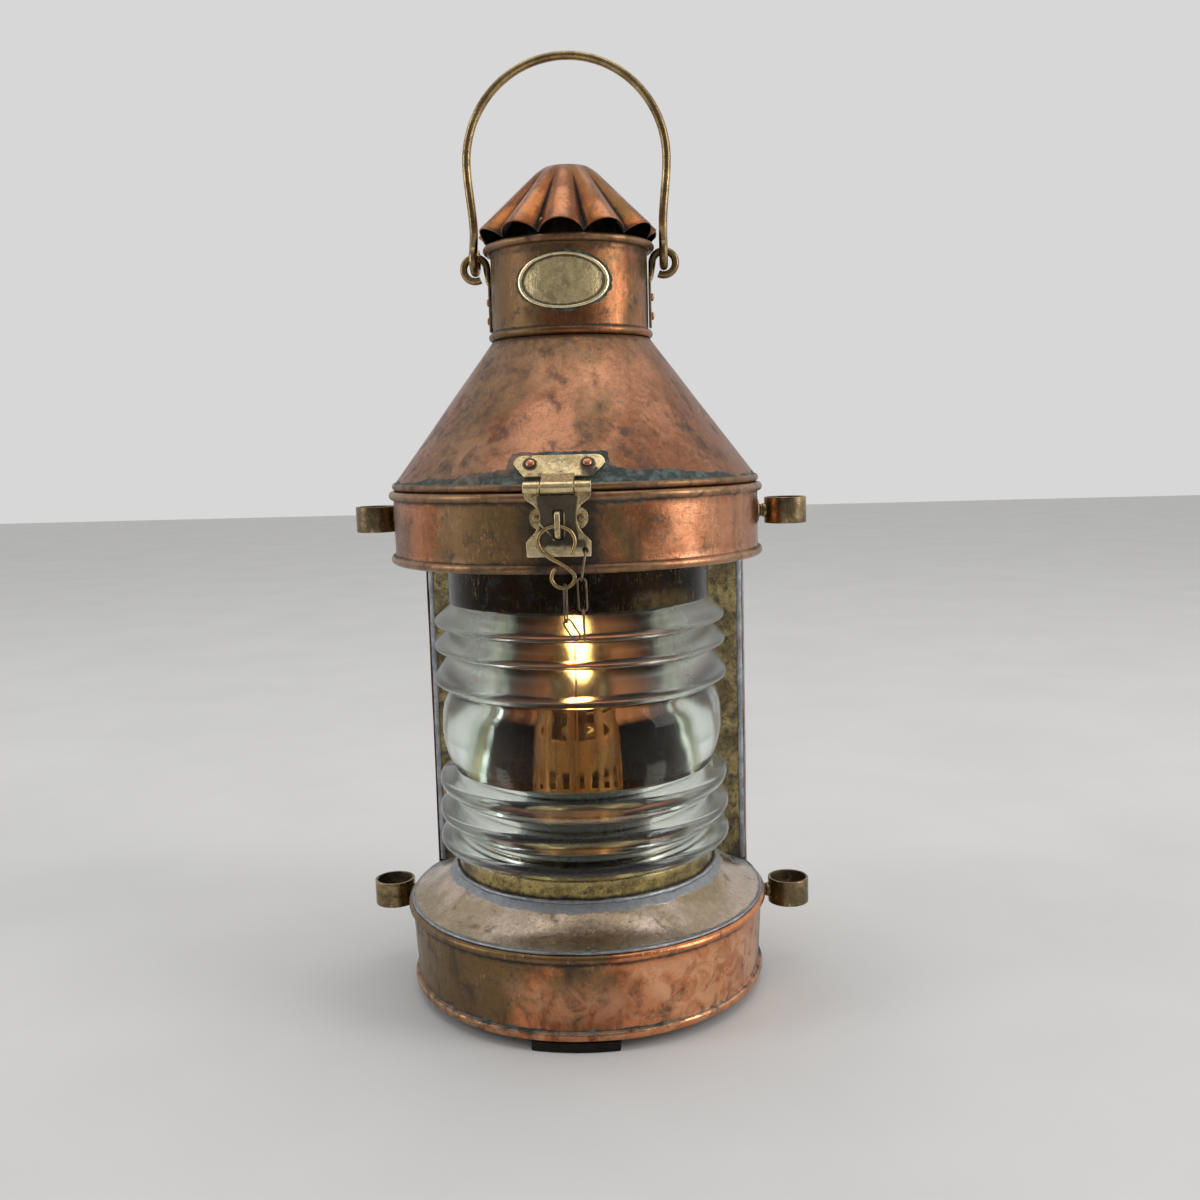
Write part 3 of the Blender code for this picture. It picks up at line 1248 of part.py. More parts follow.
def make_joints():
    """One empty for each joint, in the order that the pieces hang from each other."""
    rivets = [piece.name for piece in parts.objects if "rivet" in piece.name]
    lid_rivets = [name for name in rivets if not name.startswith(("keeper", "drum"))]
    lid = hang("lid_joint", (0, hinge_y, hinge_height),
               ["lid_cone", "chimney", "fluted_cap", "nameplate", "bail_lug_right",
                "bail_lug_left", "latch_plate", "lid_hinge_leaf"] + lid_rivets)
    hang("bail_joint", (0, 0, bail_axis), ["bail"], lid)
    hasp = hang("hasp_joint", (0, barrel_y, barrel_height), ["hasp", "hasp_pin", "staple_eye"],
                lid)
    top = hook_points()[4].z
    hook = hang("hook_joint", (0, hook_plane, top), ["pin_hook"], hasp)
    foot = min(hook_points(), key=lambda point: point.z)
    hang("front_chain_joint", foot, ["chain_link_1", "chain_link_2"], hook)
    hang("rear_chain_joint", chain_pivot(), ["chain_link_3", "chain_link_4", "chain_link_5"],
         hasp)
    hang("knob_joint", (0, spindle_line, spindle_height), ["wick_knob"])


clear_scene()
make_foot()
make_base()
make_rings()
make_lens()
make_wings()
make_shell()
make_drum()
make_cone()
make_chimney()
make_cap()
make_nameplate()
make_lug(1, "bail_lug_right")
make_lug(-1, "bail_lug_left")
make_bail()
make_latch_plate()
make_hasp()
make_keeper()
make_hook_and_chain()
make_rear_hinge()
make_mounting_rings()
make_lamp()
make_joints()
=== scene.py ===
# %% [markdown]
# This file dresses a ship's masthead light: a lantern of sheet copper and brass that showed a white
# light over the bow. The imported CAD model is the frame. It holds every size and every joint.
# Each piece here is made again with rounder edges, dents and aged metal, and rides on a CAD body.
# A lesson cell like this one comes before each step, and short code cells follow it.

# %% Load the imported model
import math

import bmesh
import bpy
from mathutils import Matrix, Vector, noise


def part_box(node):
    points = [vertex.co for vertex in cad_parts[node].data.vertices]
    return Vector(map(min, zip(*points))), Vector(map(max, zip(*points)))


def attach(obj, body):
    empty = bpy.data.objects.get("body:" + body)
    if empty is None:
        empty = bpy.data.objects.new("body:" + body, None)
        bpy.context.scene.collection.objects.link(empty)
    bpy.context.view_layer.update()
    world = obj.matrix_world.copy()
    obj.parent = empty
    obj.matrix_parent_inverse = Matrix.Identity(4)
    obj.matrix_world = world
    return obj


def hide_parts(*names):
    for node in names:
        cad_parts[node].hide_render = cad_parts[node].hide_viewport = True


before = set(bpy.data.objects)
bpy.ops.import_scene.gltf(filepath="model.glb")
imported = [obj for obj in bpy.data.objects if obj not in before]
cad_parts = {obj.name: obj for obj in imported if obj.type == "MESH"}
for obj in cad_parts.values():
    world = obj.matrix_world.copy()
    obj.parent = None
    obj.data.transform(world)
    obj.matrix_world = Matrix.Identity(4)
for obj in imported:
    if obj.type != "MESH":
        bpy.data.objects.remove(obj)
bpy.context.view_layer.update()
print("nodes:", len(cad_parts))

# %% [markdown]
# The levels and radii of the lantern are read from the frame, so that a piece made here
# stands where its CAD node stands. Only sheet sizes and bead sizes are written as numbers.
# Azimuths are measured from the front of the lantern, and the right side is positive.

# %% Read the levels and radii from the frame
TAU = 2 * math.pi
GAP = 0.0003
SHEET = 0.0012
BEAD = 0.0028
HEM = 0.0026
LID_BEAD = 0.0024
RIM = 0.0025
ROUND_STEPS = 144
SMALL_STEPS = 32


def levels(node):
    """The lowest and highest level of a CAD node."""
    low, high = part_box(node)
    return low.z, high.z


def reach(node):
    """The outer radius of a turned CAD node."""
    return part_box(node)[1].x


base_low, base_high = levels("base_drum")
cove_low, cove_high = levels("base_top_plate")
lens_low, lens_high = levels("lens")
low_ring_low, low_ring_high = levels("lower_lens_ring")
high_ring_low, high_ring_high = levels("upper_lens_ring")
shell_low, shell_high = levels("back_shell")
drum_low, drum_high = levels("upper_drum")
skirt_low, collar_high = levels("lid_cone")
chimney_low, chimney_high = levels("chimney")
base_radius = reach("base_drum") - BEAD
drum_radius = reach("upper_drum") - BEAD
lid_radius = reach("lid_cone") - LID_BEAD
ring_outer = reach("lower_lens_ring")
shell_radius = abs(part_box("back_shell")[1].y)
wick_top = levels("wick")[1]
print("base wall %.4f, drum wall %.4f, lid %.4f" % (base_radius, drum_radius, lid_radius))
print("lens from %.4f to %.4f" % (lens_low, lens_high))

# %% [markdown]
# The camera stands where the photographer stood, about three quarters of a metre in front of the
# lantern and a little above its middle, and looks slightly down. The lantern is turned a
# few degrees, so the view is turned by the same angle in the lantern's own frame.

# %% Place the camera
CAMERA_PLACE = Vector((0.0642, -0.7694, 0.3467))
CAMERA_LENS_MM = 36.17
LOOK_DOWN = math.radians(7.22)
LOOK_ASIDE = math.radians(1.01)
TILT = math.radians(-1.57)
LANTERN_TURN = math.radians(4.77)


def place_camera():
    """A camera at the photograph's viewing angle."""
    turn = Matrix.Rotation(LANTERN_TURN, 3, "Z")
    aim = turn @ Vector((math.sin(LOOK_ASIDE) * math.cos(LOOK_DOWN),
                         math.cos(LOOK_ASIDE) * math.cos(LOOK_DOWN), -math.sin(LOOK_DOWN)))
    right = turn @ Vector((math.cos(LOOK_ASIDE), -math.sin(LOOK_ASIDE), 0))
    up = right.cross(aim)
    tilted_right = math.cos(TILT) * right + math.sin(TILT) * up
    tilted_up = math.cos(TILT) * up - math.sin(TILT) * right
    data = bpy.data.cameras.new("camera")
    data.lens = CAMERA_LENS_MM
    data.sensor_width = 36
    data.clip_start = 0.01
    camera = bpy.data.objects.new("camera", data)
    bpy.context.scene.collection.objects.link(camera)
    pose = Matrix((tilted_right, tilted_up, -aim)).transposed().to_4x4()
    camera.matrix_world = Matrix.Translation(CAMERA_PLACE) @ pose
    bpy.context.scene.camera = camera
    return camera


camera = place_camera()
print("camera looks along", [round(v, 3) for v in -camera.matrix_world.to_3x3().col[2]])

# %% [markdown]
# Nodes are easier to read when small helpers place them. Each helper adds one node
# to a tree, links or sets its inputs, and hands back the output that comes next.

# %% Helpers that place nodes
def add(tree, kind, inputs=None, **settings):
    """One node of a kind, with its inputs linked to sockets or set to values."""
    made = tree.nodes.new("ShaderNode" + kind)
    for key, value in settings.items():
        setattr(made, key, value)
    for socket, source in (inputs or {}).items():
        if isinstance(source, bpy.types.NodeSocket):
            tree.links.new(source, made.inputs[socket])
        else:
            made.inputs[socket].default_value = source
    return made


def sums(tree, operation, first, second=0.0, clamp=False):
    """A Math node."""
    return add(tree, "Math", {0: first, 1: second}, operation=operation, use_clamp=clamp).outputs[0]


def ramp(tree, value, low, high):
    """A value turned into a soft step from 0 at low to 1 at high."""
    made = add(tree, "MapRange", {"Value": value, "From Min": low, "From Max": high},
               interpolation_type="SMOOTHSTEP")
    return made.outputs["Result"]


def blend(tree, factor, first, second):
    """A mix of two colours."""
    made = add(tree, "Mix", {0: factor, 6: first, 7: second}, data_type="RGBA")
    return made.outputs[2]


def blend_value(tree, factor, first, second):
    """A mix of two numbers."""
    made = add(tree, "Mix", {0: factor, 2: first, 3: second}, data_type="FLOAT")
    return made.outputs[0]


def cloud(tree, vector, scale, detail=5.0, roughness=0.55, distortion=0.0):
    """The value of a Noise texture."""
    made = add(tree, "TexNoise", {"Vector": vector, "Scale": scale, "Detail": detail,
                                  "Roughness": roughness, "Distortion": distortion})
    return made.outputs["Fac"]


def place_in_piece(tree, scale=(1, 1, 1), offset=(0, 0, 0), turn=(0, 0, 0)):
    """The object's own coordinates, stretched, moved and turned."""
    own = add(tree, "TexCoord").outputs["Object"]
    made = add(tree, "Mapping", {"Vector": own, "Location": offset, "Rotation": turn,
                                 "Scale": scale})
    return made.outputs["Vector"]


# %% [markdown]
# A real copper lantern was never one colour. Handling polishes it, salt air turns it brown,
# and damp corners go green. Each of those effects is a node group that takes a colour, a
# roughness, a metallic value and a height, changes them and hands them on, so that
# a material is a short stack of effects with its own values. Some of them also carry painted
# shade, painted highlights and painted reflections, where a piece is painted with them.

# %% Helper that starts an effect group
COLOUR, NUMBER = "NodeSocketColor", "NodeSocketFloat"
CARRIED = (("Color", COLOUR, (0.5, 0.5, 0.5, 1)), ("Roughness", NUMBER, 0.4),
           ("Metallic", NUMBER, 1.0), ("Height", NUMBER, 0.0))


def effect(name, inputs, carries=True):
    """A node group whose outputs are colour, roughness, metallic and height."""
    tree = bpy.data.node_groups.new(name, "ShaderNodeTree")
    wanted = (CARRIED if carries else ()) + tuple(inputs)
    for label, kind, value in wanted:
        socket = tree.interface.new_socket(label, in_out="INPUT", socket_type=kind)
        socket.default_value = value
    for label, kind, value in CARRIED:
        tree.interface.new_socket(label, in_out="OUTPUT", socket_type=kind)
    start = tree.nodes.new("NodeGroupInput").outputs
    end = tree.nodes.new("NodeGroupOutput").inputs
    return tree, start, end


def give(tree, end, **results):
    """Link results to a group's outputs."""
    for label, source in results.items():
        tree.links.new(source, end[label])


# %% Effect: patina
def make_patina():
    """Blotches of clean, brown, olive and black metal, shifted by a painted value that is patina in places
    and painted shade and painted light on the sides.
    """
    tree, start, end = effect("patina", (
        ("Clean", COLOUR, (0.5, 0.25, 0.15, 1)), ("Tarnish", COLOUR, (0.3, 0.15, 0.1, 1)),
        ("Olive", COLOUR, (0.2, 0.14, 0.08, 1)), ("Deep", COLOUR, (0.1, 0.06, 0.04, 1)),
        ("Blotch Scale", NUMBER, 20.0), ("Tarnish Amount", NUMBER, 0.5),
        ("Olive Amount", NUMBER, 0.45), ("Deep Amount", NUMBER, 0.4),
        ("Mottle", NUMBER, 0.4), ("Polish", NUMBER, 0.5), ("Bare Metal", NUMBER, 1.0)),
        carries=False)
    own = place_in_piece(tree)
    moved = place_in_piece(tree, offset=(3.1, 1.7, 5.3))
    # The painted value darkens shaded sides as painted shade and cleans lit sides as painted light,
    # besides real patina.
    painted = add(tree, "Attribute", attribute_name="tarnish").outputs["Fac"]
    painted = sums(tree, "MULTIPLY", painted, 0.17)
    wide = cloud(tree, own, start["Blotch Scale"], 8, 0.62, 0.3)
    wide = sums(tree, "ADD", wide, painted)
    tarnish = ramp(tree, sums(tree, "ADD", wide, start["Tarnish Amount"]), 0.92, 1.09)
    wider = sums(tree, "MULTIPLY", start["Blotch Scale"], 0.7)
    second = sums(tree, "ADD", cloud(tree, moved, wider, 9, 0.66, 0.4), painted)
    olive = ramp(tree, sums(tree, "ADD", second, start["Olive Amount"]), 0.95, 1.07)
    finer = sums(tree, "MULTIPLY", start["Blotch Scale"], 3.2)
    torn = cloud(tree, moved, finer, 9, 0.70, 0.3)
    deep = ramp(tree, sums(tree, "ADD", torn, start["Deep Amount"]), 0.99, 1.12)
    mottle = cloud(tree, own, 300.0, 6, 0.7, 0.2)
    specks = ramp(tree, cloud(tree, moved, 800.0, 3, 0.6), 0.60, 0.70)
    colour = blend(tree, tarnish, start["Clean"], start["Tarnish"])
    colour = blend(tree, sums(tree, "MULTIPLY", olive, 0.85), colour, start["Olive"])
    colour = blend(tree, sums(tree, "MULTIPLY", deep, 0.8), colour, start["Deep"])
    colour = blend(tree, sums(tree, "MULTIPLY", specks, start["Mottle"]), colour, start["Deep"])
    shift = sums(tree, "MULTIPLY", sums(tree, "SUBTRACT", mottle, 0.5), start["Mottle"])
    level = sums(tree, "ADD", sums(tree, "MULTIPLY", shift, 2.4), 1.0)
    tuned = add(tree, "HueSaturation", {"Value": level, "Color": colour})
    rough = sums(tree, "ADD", sums(tree, "MULTIPLY", tarnish, 0.06), 0.47)
    rough = sums(tree, "ADD", rough, sums(tree, "MULTIPLY", olive, 0.06))
    rough = sums(tree, "ADD", rough, sums(tree, "MULTIPLY", deep, 0.15))
    rough = sums(tree, "ADD", rough, sums(tree, "MULTIPLY", shift, 0.5))
    rough = sums(tree, "SUBTRACT", rough, sums(tree, "MULTIPLY", start["Polish"], 0.4))
    dull = sums(tree, "ADD", sums(tree, "MULTIPLY", olive, 0.15), sums(tree, "MULTIPLY", deep, 0.35))
    height = sums(tree, "ADD", sums(tree, "MULTIPLY", mottle, 0.6), sums(tree, "MULTIPLY", torn, 0.8))
    height = sums(tree, "SUBTRACT", height, sums(tree, "MULTIPLY", specks, 0.5))
    give(tree, end, Color=tuned.outputs[0], Roughness=rough,
         Metallic=sums(tree, "SUBTRACT", start["Bare Metal"], dull), Height=height)
    return tree


# %% Effect: runs
def make_runs():
    """Dark runs that rain and lamp oil leave down a wall."""
    tree, start, end = effect("runs", (("Run Colour", COLOUR, (0.05, 0.04, 0.03, 1)),
                                       ("Amount", NUMBER, 0.5)))
    tall = place_in_piece(tree, (1, 1, 0.12))
    lines = cloud(tree, tall, 95.0, 4, 0.6, 0.3)
    where = cloud(tree, place_in_piece(tree, offset=(7, 2, 1)), 17.0, 3)
    mask = sums(tree, "MULTIPLY", ramp(tree, lines, 0.50, 0.72), ramp(tree, where, 0.45, 0.62))
    mask = sums(tree, "MULTIPLY", mask, start["Amount"])
    give(tree, end, Color=blend(tree, mask, start["Color"], start["Run Colour"]),
         Roughness=sums(tree, "ADD", start["Roughness"], sums(tree, "MULTIPLY", mask, 0.15)),
         Metallic=start["Metallic"], Height=start["Height"])
    return tree


# %% Effect: scratches
def make_scratches():
    """Fine scratches in two directions, brighter than the skin they cut."""
    tree, start, end = effect("scratches", (("Scratch Colour", COLOUR, (0.7, 0.45, 0.3, 1)),
                                            ("Amount", NUMBER, 0.5), ("Scale", NUMBER, 1.0)))
    masks = []
    for turn, offset in (((0.3, 0.5, 0.9), (1, 4, 2)), ((1.2, 0.2, 2.1), (6, 3, 9))):
        way = place_in_piece(tree, (9, 1, 1), offset, turn)
        line = cloud(tree, way, sums(tree, "MULTIPLY", start["Scale"], 34.0), 3, 0.5, 0.15)
        off = sums(tree, "ABSOLUTE", sums(tree, "SUBTRACT", line, 0.5))
        masks.append(ramp(tree, off, 0.006, 0.0))
    faint = cloud(tree, place_in_piece(tree), 60.0, 4)
    both = sums(tree, "MULTIPLY", sums(tree, "MAXIMUM", masks[0], masks[1]),
                ramp(tree, faint, 0.45, 0.65))
    mask = sums(tree, "MULTIPLY", both, start["Amount"], clamp=True)
    give(tree, end, Color=blend(tree, mask, start["Color"], start["Scratch Colour"]),
         Roughness=sums(tree, "SUBTRACT", start["Roughness"], sums(tree, "MULTIPLY", mask, 0.1)),
         Metallic=start["Metallic"],
         Height=sums(tree, "SUBTRACT", start["Height"], sums(tree, "MULTIPLY", mask, 0.5)))
    return tree


# %% Effect: soot, old polish and painted shade
def make_grime():
    """Near-black darkening in hollows, and where a piece is painted with it: soot and old polish, and
    painted shade under beads and rims, behind the hasp and on shaded sides.
    """
    tree, start, end = effect("grime", (("Grime And Shade Colour", COLOUR, (0.018, 0.015, 0.012, 1)),
                                        ("Amount", NUMBER, 1.0), ("Hollows", NUMBER, 1.0)))
    # The painted value holds soot and old polish, and painted shade.
    painted = add(tree, "Attribute", attribute_name="grime").outputs["Fac"]
    bent = add(tree, "NewGeometry").outputs["Pointiness"]
    hollow = sums(tree, "MULTIPLY", ramp(tree, bent, 0.495, 0.44), start["Hollows"])
    own = place_in_piece(tree)
    broken = sums(tree, "SUBTRACT", cloud(tree, own, 150.0, 7, 0.65, 0.8), 0.5)
    total = sums(tree, "ADD", sums(tree, "MAXIMUM", painted, hollow),
                 sums(tree, "MULTIPLY", broken, 0.9))
    mask = sums(tree, "MULTIPLY", ramp(tree, total, 0.30, 0.72), start["Amount"], clamp=True)
    give(tree, end, Color=blend(tree, mask, start["Color"], start["Grime And Shade Colour"]),
         Roughness=blend_value(tree, mask, start["Roughness"], 0.62),
         Metallic=blend_value(tree, mask, start["Metallic"], 0.35),
         Height=sums(tree, "ADD", start["Height"], sums(tree, "MULTIPLY", mask, 0.4)))
    return tree


# %% Effect: crust
def make_crust():
    """A crust of verdigris where a piece is painted with stain."""
    tree, start, end = effect("crust", (("Crust Colour", COLOUR, (0.038, 0.05, 0.045, 1)),
                                        ("Pale Colour", COLOUR, (0.12, 0.165, 0.15, 1)),
                                        ("Amount", NUMBER, 1.0)))
    painted = add(tree, "Attribute", attribute_name="stain").outputs["Fac"]
    own = place_in_piece(tree)
    coarse = sums(tree, "SUBTRACT", cloud(tree, own, 55.0, 4, 0.6, 0.5), 0.5)
    fine = sums(tree, "SUBTRACT", cloud(tree, own, 320.0, 6, 0.7, 0.5), 0.5)
    total = sums(tree, "ADD", painted, sums(tree, "MULTIPLY", coarse, 0.9))
    total = sums(tree, "ADD", total, sums(tree, "MULTIPLY", fine, 0.55))
    mask = sums(tree, "MULTIPLY", ramp(tree, total, 0.46, 0.56), start["Amount"], clamp=True)
    tone = ramp(tree, cloud(tree, own, 150.0, 8, 0.65), 0.46, 0.68)
    crust = blend(tree, tone, start["Crust Colour"], start["Pale Colour"])
    give(tree, end, Color=blend(tree, mask, start["Color"], crust),
         Roughness=blend_value(tree, mask, start["Roughness"], 0.8),
         Metallic=blend_value(tree, mask, start["Metallic"], 0.1),
         Height=sums(tree, "ADD", start["Height"], sums(tree, "MULTIPLY", mask, 0.7)))
    return tree


# %% Effect: worn edges and painted highlights
def make_rubbed_and_highlight():
    """Edges and bead tops worn bright by hands and cloths, and painted highlights and reflections where a
    piece is painted with shine.
    """
    tree, start, end = effect("rubbed_and_highlight", (("Bright Colour", COLOUR, (0.75, 0.45, 0.3, 1)),
                                         ("Amount", NUMBER, 0.8), ("Edge", NUMBER, 0.53)))
    bent = add(tree, "NewGeometry").outputs["Pointiness"]
    soft = sums(tree, "ADD", start["Edge"], 0.06)
    edge = ramp(tree, bent, start["Edge"], soft)
    # The painted value holds worn spots, painted highlights and painted reflections.
    painted = add(tree, "Attribute", attribute_name="shine").outputs["Fac"]
    broken = ramp(tree, cloud(tree, place_in_piece(tree), 70.0, 6, 0.65, 0.6), 0.36, 0.58)
    mask = sums(tree, "MULTIPLY", sums(tree, "MAXIMUM", edge, painted), broken)
    mask = sums(tree, "MULTIPLY", mask, start["Amount"], clamp=True)
    give(tree, end, Color=blend(tree, mask, start["Color"], start["Bright Colour"]),
         Roughness=blend_value(tree, mask, start["Roughness"], 0.24),
         Metallic=blend_value(tree, mask, start["Metallic"], 1.0), Height=start["Height"])
    return tree


# %% Effect: solder
def make_solder():
    """Tin solder wiped along a joint, where a piece is painted with solder."""
    tree, start, end = effect("solder", (("Solder Colour", COLOUR, (0.30, 0.31, 0.33, 1)),
                                         ("Amount", NUMBER, 1.0)))
    painted = add(tree, "Attribute", attribute_name="solder").outputs["Fac"]
    own = place_in_piece(tree)
    uneven = sums(tree, "SUBTRACT", cloud(tree, own, 75.0, 6, 0.6, 0.8), 0.5)
    lumps = cloud(tree, own, 240.0, 5, 0.6, 0.3)
    total = sums(tree, "ADD", painted, sums(tree, "MULTIPLY", uneven, 1.0))
    mask = sums(tree, "MULTIPLY", ramp(tree, total, 0.40, 0.60), start["Amount"], clamp=True)
    shade = add(tree, "HueSaturation", {
        "Value": sums(tree, "ADD", sums(tree, "MULTIPLY", lumps, 1.1), 0.4),
        "Color": start["Solder Colour"]}).outputs[0]
    bump = sums(tree, "MULTIPLY", mask, sums(tree, "ADD", lumps, 0.6))
    give(tree, end, Color=blend(tree, mask, start["Color"], shade),
         Roughness=blend_value(tree, mask, start["Roughness"], 0.5),
         Metallic=blend_value(tree, mask, start["Metallic"], 0.7),
         Height=sums(tree, "ADD", start["Height"], bump))
    return tree


# %% Build the effects once
patina = make_patina()
runs = make_runs()
scratches = make_scratches()
grime = make_grime()
crust = make_crust()
rubbed_and_highlight = make_rubbed_and_highlight()
solder = make_solder()
print("effects:", sorted(tree.name for tree in bpy.data.node_groups))

# %% [markdown]
# A metal finish is a stack of those effects that ends in a Principled shader. The stack is
# written as a short list for each finish: the patina comes first and the worn edges with their
# painted highlights last, because polish wears through everything that lies under it.

# %% Stack effects into a metal
def metal(name, effects, relief=0.25, depth=0.0006):
    """A metal material from a list of (group, its values)."""
    material = bpy.data.materials.new(name)
    material.use_nodes = True
    tree = material.node_tree
    shader = tree.nodes["Principled BSDF"]
    before = None
    for group, values in effects:
        step = tree.nodes.new("ShaderNodeGroup")
        step.node_tree = group
        for label, value in values.items():
            step.inputs[label].default_value = (*value, 1) if isinstance(value, tuple) else value
        if before:
            for label, kind, default in CARRIED:
                tree.links.new(before.outputs[label], step.inputs[label])
        before = step
    bump = add(tree, "Bump", {"Height": before.outputs["Height"], "Strength": relief,
                              "Distance": depth})
    for label in ("Color", "Roughness", "Metallic"):
        target = "Base Color" if label == "Color" else label
        tree.links.new(before.outputs[label], shader.inputs[target])
    tree.links.new(bump.outputs["Normal"], shader.inputs["Normal"])
    return material


# %% Copper finishes
def copper(name, clean, tarnish, olive, deep, amounts, extra=(), scale=20.0, mottle=0.4,
           polish=0.5, bright=(0.66, 0.34, 0.20), shine=0.75, dirt=1.0, edge=0.53, bare=1.0):
    """A metal finish; amounts are the shares of brown, olive and black patina."""
    effects = [(patina, {"Clean": clean, "Tarnish": tarnish, "Olive": olive, "Deep": deep,
                         "Blotch Scale": scale, "Tarnish Amount": amounts[0],
                         "Olive Amount": amounts[1], "Deep Amount": amounts[2],
                         "Mottle": mottle, "Polish": polish, "Bare Metal": bare})]
    effects += [(scratches, {"Scratch Colour": bright, "Amount": 0.5})]
    effects += list(extra)
    effects += [(grime, {"Amount": 0.9, "Hollows": dirt}), (crust, {}),
                (rubbed_and_highlight, {"Bright Colour": bright, "Amount": shine, "Edge": edge})]
    return metal(name, effects)


SALMON = (0.62, 0.24, 0.105)
RED_BROWN = (0.27, 0.088, 0.036)
OLIVE_BROWN = (0.17, 0.115, 0.05)
DARK_BROWN = (0.055, 0.035, 0.022)
cap_copper = copper("orange copper of the cap", (0.40, 0.14, 0.042), (0.21, 0.068, 0.02),
                    (0.20, 0.10, 0.03), (0.075, 0.03, 0.014), (0.55, 0.47, 0.44), scale=30.0,
                    mottle=0.25, polish=0.6, extra=[(runs, {"Amount": 0.6})])
chimney_copper = copper("brown copper of the chimney", (0.37, 0.15, 0.066), (0.22, 0.09, 0.04),
                        (0.16, 0.095, 0.04), DARK_BROWN, (0.52, 0.50, 0.46), scale=24.0,
                        polish=0.42, extra=[(runs, {"Amount": 0.75})])
cone_copper = copper("mottled copper of the cone", (0.47, 0.215, 0.12), (0.26, 0.112, 0.058),
                     (0.23, 0.135, 0.065), (0.10, 0.055, 0.042), (0.53, 0.46, 0.47), scale=16.0,
                     mottle=0.55, polish=0.5, extra=[(runs, {"Amount": 0.85})])
drum_copper = copper("worn copper of the upper drum", (0.47, 0.19, 0.09), (0.26, 0.105, 0.047),
                     (0.18, 0.115, 0.05), DARK_BROWN, (0.52, 0.50, 0.47), scale=19.0,
                     polish=0.65, extra=[(runs, {"Amount": 0.7})])
base_copper = copper("base copper", SALMON, RED_BROWN, OLIVE_BROWN, DARK_BROWN,
                     (0.50, 0.45, 0.47), scale=19.0, polish=0.68, shine=0.9,
                     bright=(0.88, 0.47, 0.27), extra=[(runs, {"Amount": 0.6})])
cove_copper = copper("olive copper of the base top", (0.54, 0.43, 0.34), (0.40, 0.31, 0.215),
                     (0.29, 0.225, 0.13), (0.14, 0.11, 0.08), (0.48, 0.50, 0.44), scale=22.0,
                     polish=0.75, extra=[(solder, {})])
shell_copper = copper("copper of the back shell", (0.46, 0.20, 0.105), (0.24, 0.11, 0.058),
                      (0.17, 0.11, 0.05), DARK_BROWN, (0.54, 0.48, 0.46), scale=12.0,
                      extra=[(runs, {"Amount": 0.8}), (solder, {})])
rivet_copper = copper("rivet copper", (0.55, 0.21, 0.10), (0.36, 0.14, 0.07), (0.24, 0.14, 0.07),
                      (0.10, 0.055, 0.035), (0.45, 0.44, 0.40), scale=90.0)
def add_painted_flame_glow(material, colour, strength):
    """Painted flame light: an emission where a piece is painted with glow, standing for the flame's light
    on it.
    """
    tree = material.node_tree
    shader = tree.nodes["Principled BSDF"]
    painted = add(tree, "Attribute", attribute_name="glow").outputs["Fac"]
    uneven = ramp(tree, cloud(tree, place_in_piece(tree, (1, 1, 0.2)), 60.0, 4), 0.2, 0.7)
    glow = blend(tree, sums(tree, "MULTIPLY", painted, uneven), (0, 0, 0, 1), (*colour, 1))
    tree.links.new(glow, shader.inputs["Emission Color"])
    shader.inputs["Emission Strength"].default_value = strength


# Copper for the inside of the lantern: its colour is darkened as painted shade, and painted flame light is
# added.
shaded_inside_copper = copper("inside copper darkened as painted shade", (0.095, 0.036, 0.018), (0.05, 0.02, 0.011),
                       (0.03, 0.016, 0.009), (0.012, 0.007, 0.005), (0.50, 0.46, 0.46),
                       scale=18.0, polish=0.65, shine=0.0, dirt=0.0)
add_painted_flame_glow(shaded_inside_copper, (1.0, 0.34, 0.12), 0.95)
print("copper finishes:", len([m for m in bpy.data.materials if "copper" in m.name]))

# %% Brass finishes
def brass(name, clean, tarnish, deep, amounts, bright=(0.74, 0.60, 0.34), **settings):
    """A brass finish, whose olive patina lies between its brown and its black."""
    olive = tuple((a + b) / 2 for a, b in zip(tarnish, deep))
    return copper(name, clean, tarnish, olive, deep, (amounts[0], 0.40, amounts[1]),
                  bright=bright, **settings)


plate_brass = brass("yellow brass of the nameplate", (0.92, 0.74, 0.40), (0.72, 0.54, 0.26),
                    (0.16, 0.12, 0.06), (0.42, 0.40), scale=75.0, mottle=0.5, polish=0.7,
                    bright=(0.96, 0.84, 0.58), bare=0.8)
latch_brass = brass("brass of the latch", (0.74, 0.57, 0.31), (0.50, 0.37, 0.18),
                    (0.06, 0.055, 0.045), (0.47, 0.44), scale=55.0, mottle=0.45, polish=0.75,
                    bright=(0.90, 0.74, 0.46), bare=0.85)
bail_brass = brass("brass rod of the bail", (0.44, 0.31, 0.145), (0.25, 0.17, 0.08),
                   (0.09, 0.062, 0.035), (0.51, 0.43), scale=40.0, mottle=0.4, polish=0.6,
                   bright=(0.66, 0.50, 0.28), shine=0.4, edge=0.66)
ring_brass = brass("olive brass of the lower ring", (0.38, 0.29, 0.11), (0.19, 0.145, 0.06),
                   (0.06, 0.045, 0.025), (0.51, 0.48), scale=60.0, mottle=0.7, polish=0.6,
                   bright=(0.70, 0.56, 0.26))
